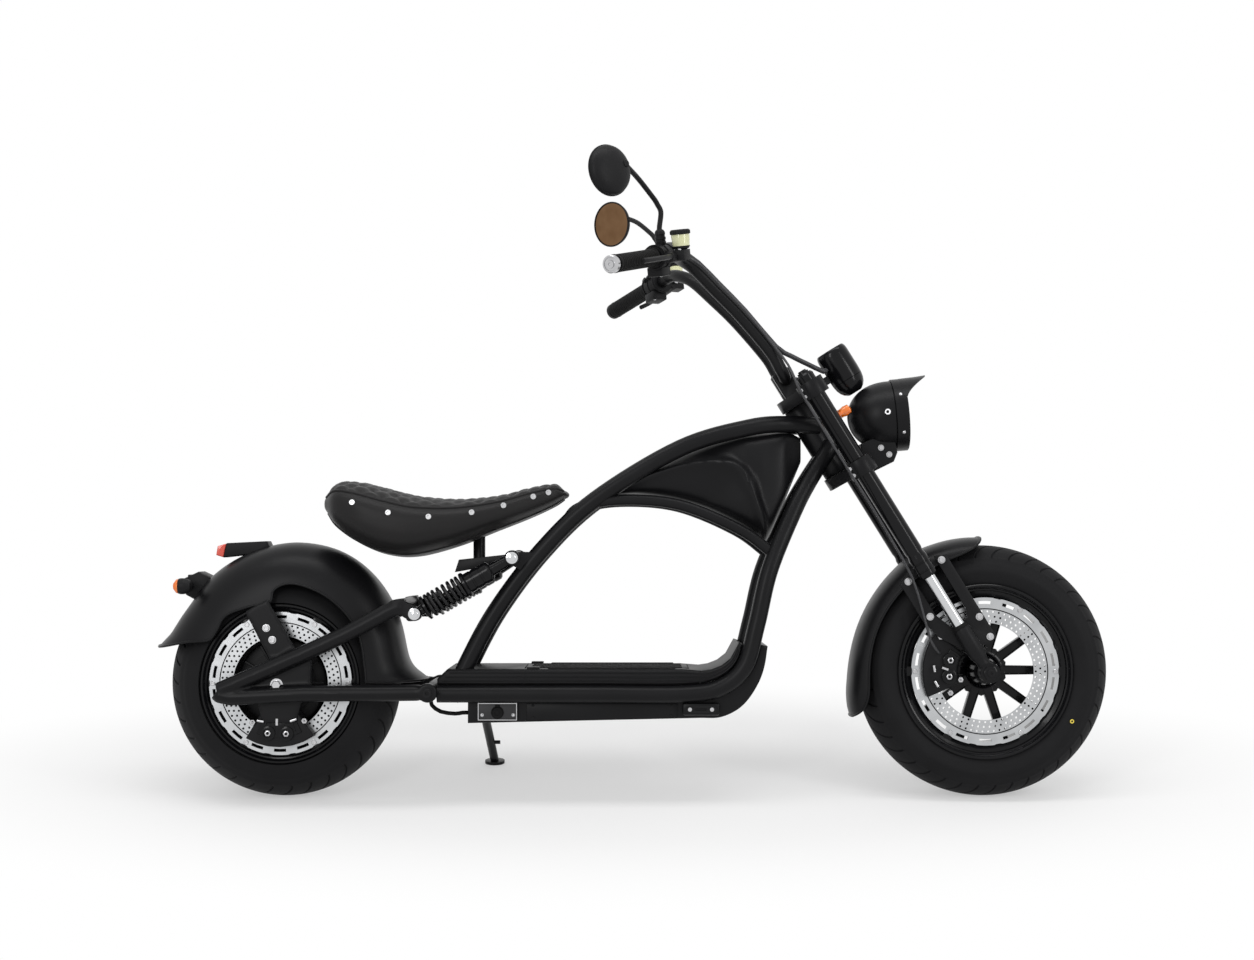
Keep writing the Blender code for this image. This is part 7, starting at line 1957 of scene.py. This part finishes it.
@dataclass(frozen=True)
class Dresser:
    """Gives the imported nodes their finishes, rounds off faceted tubes and softens edges."""

    voxel: float = 0.0030
    passes: int = 6
    soft_edge: float = 0.0009
    soft_angle: float = math.radians(33.0)

    ROUNDED = ("swingarm_left", "swingarm_right")
    FINISHES = {"charge_socket": Finish.DARK_PLATE, "front_brake_hose": Finish.BRAID, "bar_loom": Finish.BRAID}

    def dress(self, frame: dict, palette: Palette) -> None:
        """Assigns each node's material from its slot in the record.

        Args:
            frame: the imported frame.
            palette: the materials.
        """
        shading = self.soft_shading()
        by_slot = {finish.value.slot: finish for finish in Finish}
        slots = {row["node"]: row["material_slot"] for row in frame["record"]["subparts"]}
        for name, node in frame["nodes"].items():
            node.data.materials.clear()
            node.data.materials.append(palette.get(self.FINISHES.get(name, by_slot[slots[name]])))
            if name in self.ROUNDED:
                self.modify(node, "Skin", "REMESH", mode="VOXEL", voxel_size=self.voxel, use_smooth_shade=True)
                self.modify(node, "Smooth", "SMOOTH", factor=0.5, iterations=self.passes)
            else:
                self.modify(node, "Joined", "WELD", merge_threshold=1e-5)
                self.modify(node, "Edge", "BEVEL", width=self.soft_edge, segments=2, limit_method="ANGLE",
                            angle_limit=self.soft_angle)
                self.modify(node, "Shading", "NODES", node_group=shading)

    def modify(self, node: bpy.types.Object, name: str, kind: str, **settings: Any) -> None:
        """Adds a modifier to a node.

        Args:
            node: the node.
            name: the modifier's name.
            kind: the modifier's type.
            **settings: its settings.
        """
        modifier = node.modifiers.new(name, kind)
        for setting, value in settings.items():
            setattr(modifier, setting, value)

    def soft_shading(self) -> bpy.types.NodeTree:
        """Makes the node group that shades faces smooth and keeps sharp edges sharp.

        Returns:
            The node group.
        """
        tree = bpy.data.node_groups.new("soft_shading", "GeometryNodeTree")
        for way in ("INPUT", "OUTPUT"):
            tree.interface.new_socket("Geometry", in_out=way, socket_type="NodeSocketGeometry")
        smooth = "GeometryNodeSetShadeSmooth"
        angle = add_node(tree, "GeometryNodeInputMeshEdgeAngle", "Unsigned Angle")
        soft = add_node(tree, "FunctionNodeCompare", "Result", {"A": angle, "B": self.soft_angle},
                        data_type="FLOAT", operation="LESS_THAN")
        faces = add_node(tree, smooth, "Geometry", {"Geometry": add_node(tree, "NodeGroupInput", "Geometry")})
        edges = add_node(tree, smooth, "Geometry", {"Geometry": faces, "Shade Smooth": soft}, domain="EDGE")
        wire(tree, tree.nodes.new("NodeGroupOutput"), {"Geometry": edges})
        return tree


def main() -> None:
    """Builds the dressed scooter."""
    logging.basicConfig(level=logging.INFO, format="%(name)s: %(message)s")
    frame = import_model()
    rig = Rig(frame["joints"])
    palette = Palette()
    Studio().build(rig)
    Dresser().dress(frame, palette)
    assemblies = (
        Tyre(rig, palette, FRONT, 0.250, 0.070, 42, 50.0, 13.0),
        Tyre(rig, palette, REAR, 0.228, 0.100, 34, 42.0, 15.0),
        FrontWheel(rig, palette, FRONT, 0.137, (-0.047, -0.033)),
        RearWheel(rig, palette, REAR, 0.131, (-0.076, -0.062)),
        Disc(rig, palette, FRONT, 0.147, 0.096, -0.050),
        Disc(rig, palette, REAR, 0.141, 0.093, -0.079),
        Saddle(rig, palette),
        Fender(rig, palette, "rear", Body.CHASSIS, 0.112, 0.135, Fender.REAR),
        Fender(rig, palette, "front", Body.STEERING, 0.076, 0.215, Fender.FRONT),
        FrameTubes(rig, palette), TankCover(rig, palette), Headlight(rig, palette), GaugePod(rig, palette),
        BarEnds(rig, palette), ForkLegs(rig, palette), Shocks(rig, palette), Bolts(rig, palette),
        CaliperTrim(rig, palette, "front", Body.STEERING, (0.685, 0.24865), -0.0760, 171.0, 23.0, 0.062, 0.086,
                    ((0.6120, 0.2720), (0.6095, 0.2400)), ((0.5930, 0.3180), (0.6320, 0.2340), (0.6120, 0.2080)),
                    ((0.6010, 0.2560, 20.0), (0.5800, 0.2560, 80.0), (0.5840, 0.2260, 60.0))),
        CaliperTrim(rig, palette, "rear", Body.CHASSIS, (-0.707, 0.22678), -0.1085, -88.0, 25.0, 0.066, 0.104,
                    ((-0.7260, 0.1320), (-0.6900, 0.1310)), ((-0.7560, 0.1530), (-0.6550, 0.1560)),
                    ((-0.7080, 0.1540, 90.0), (-0.7400, 0.1560, 10.0), (-0.6760, 0.1580, -20.0))),
        DeckTrim(rig, palette), BatteryTrim(rig, palette), TailRack(rig, palette), TyreMark(rig, palette),
    )
    for assembly in assemblies:
        assembly.build()
        for made in assembly.made:
            LOG.info("%s: %d faces", made.name, len(made.data.polygons))


if __name__ == "__main__":
    main()
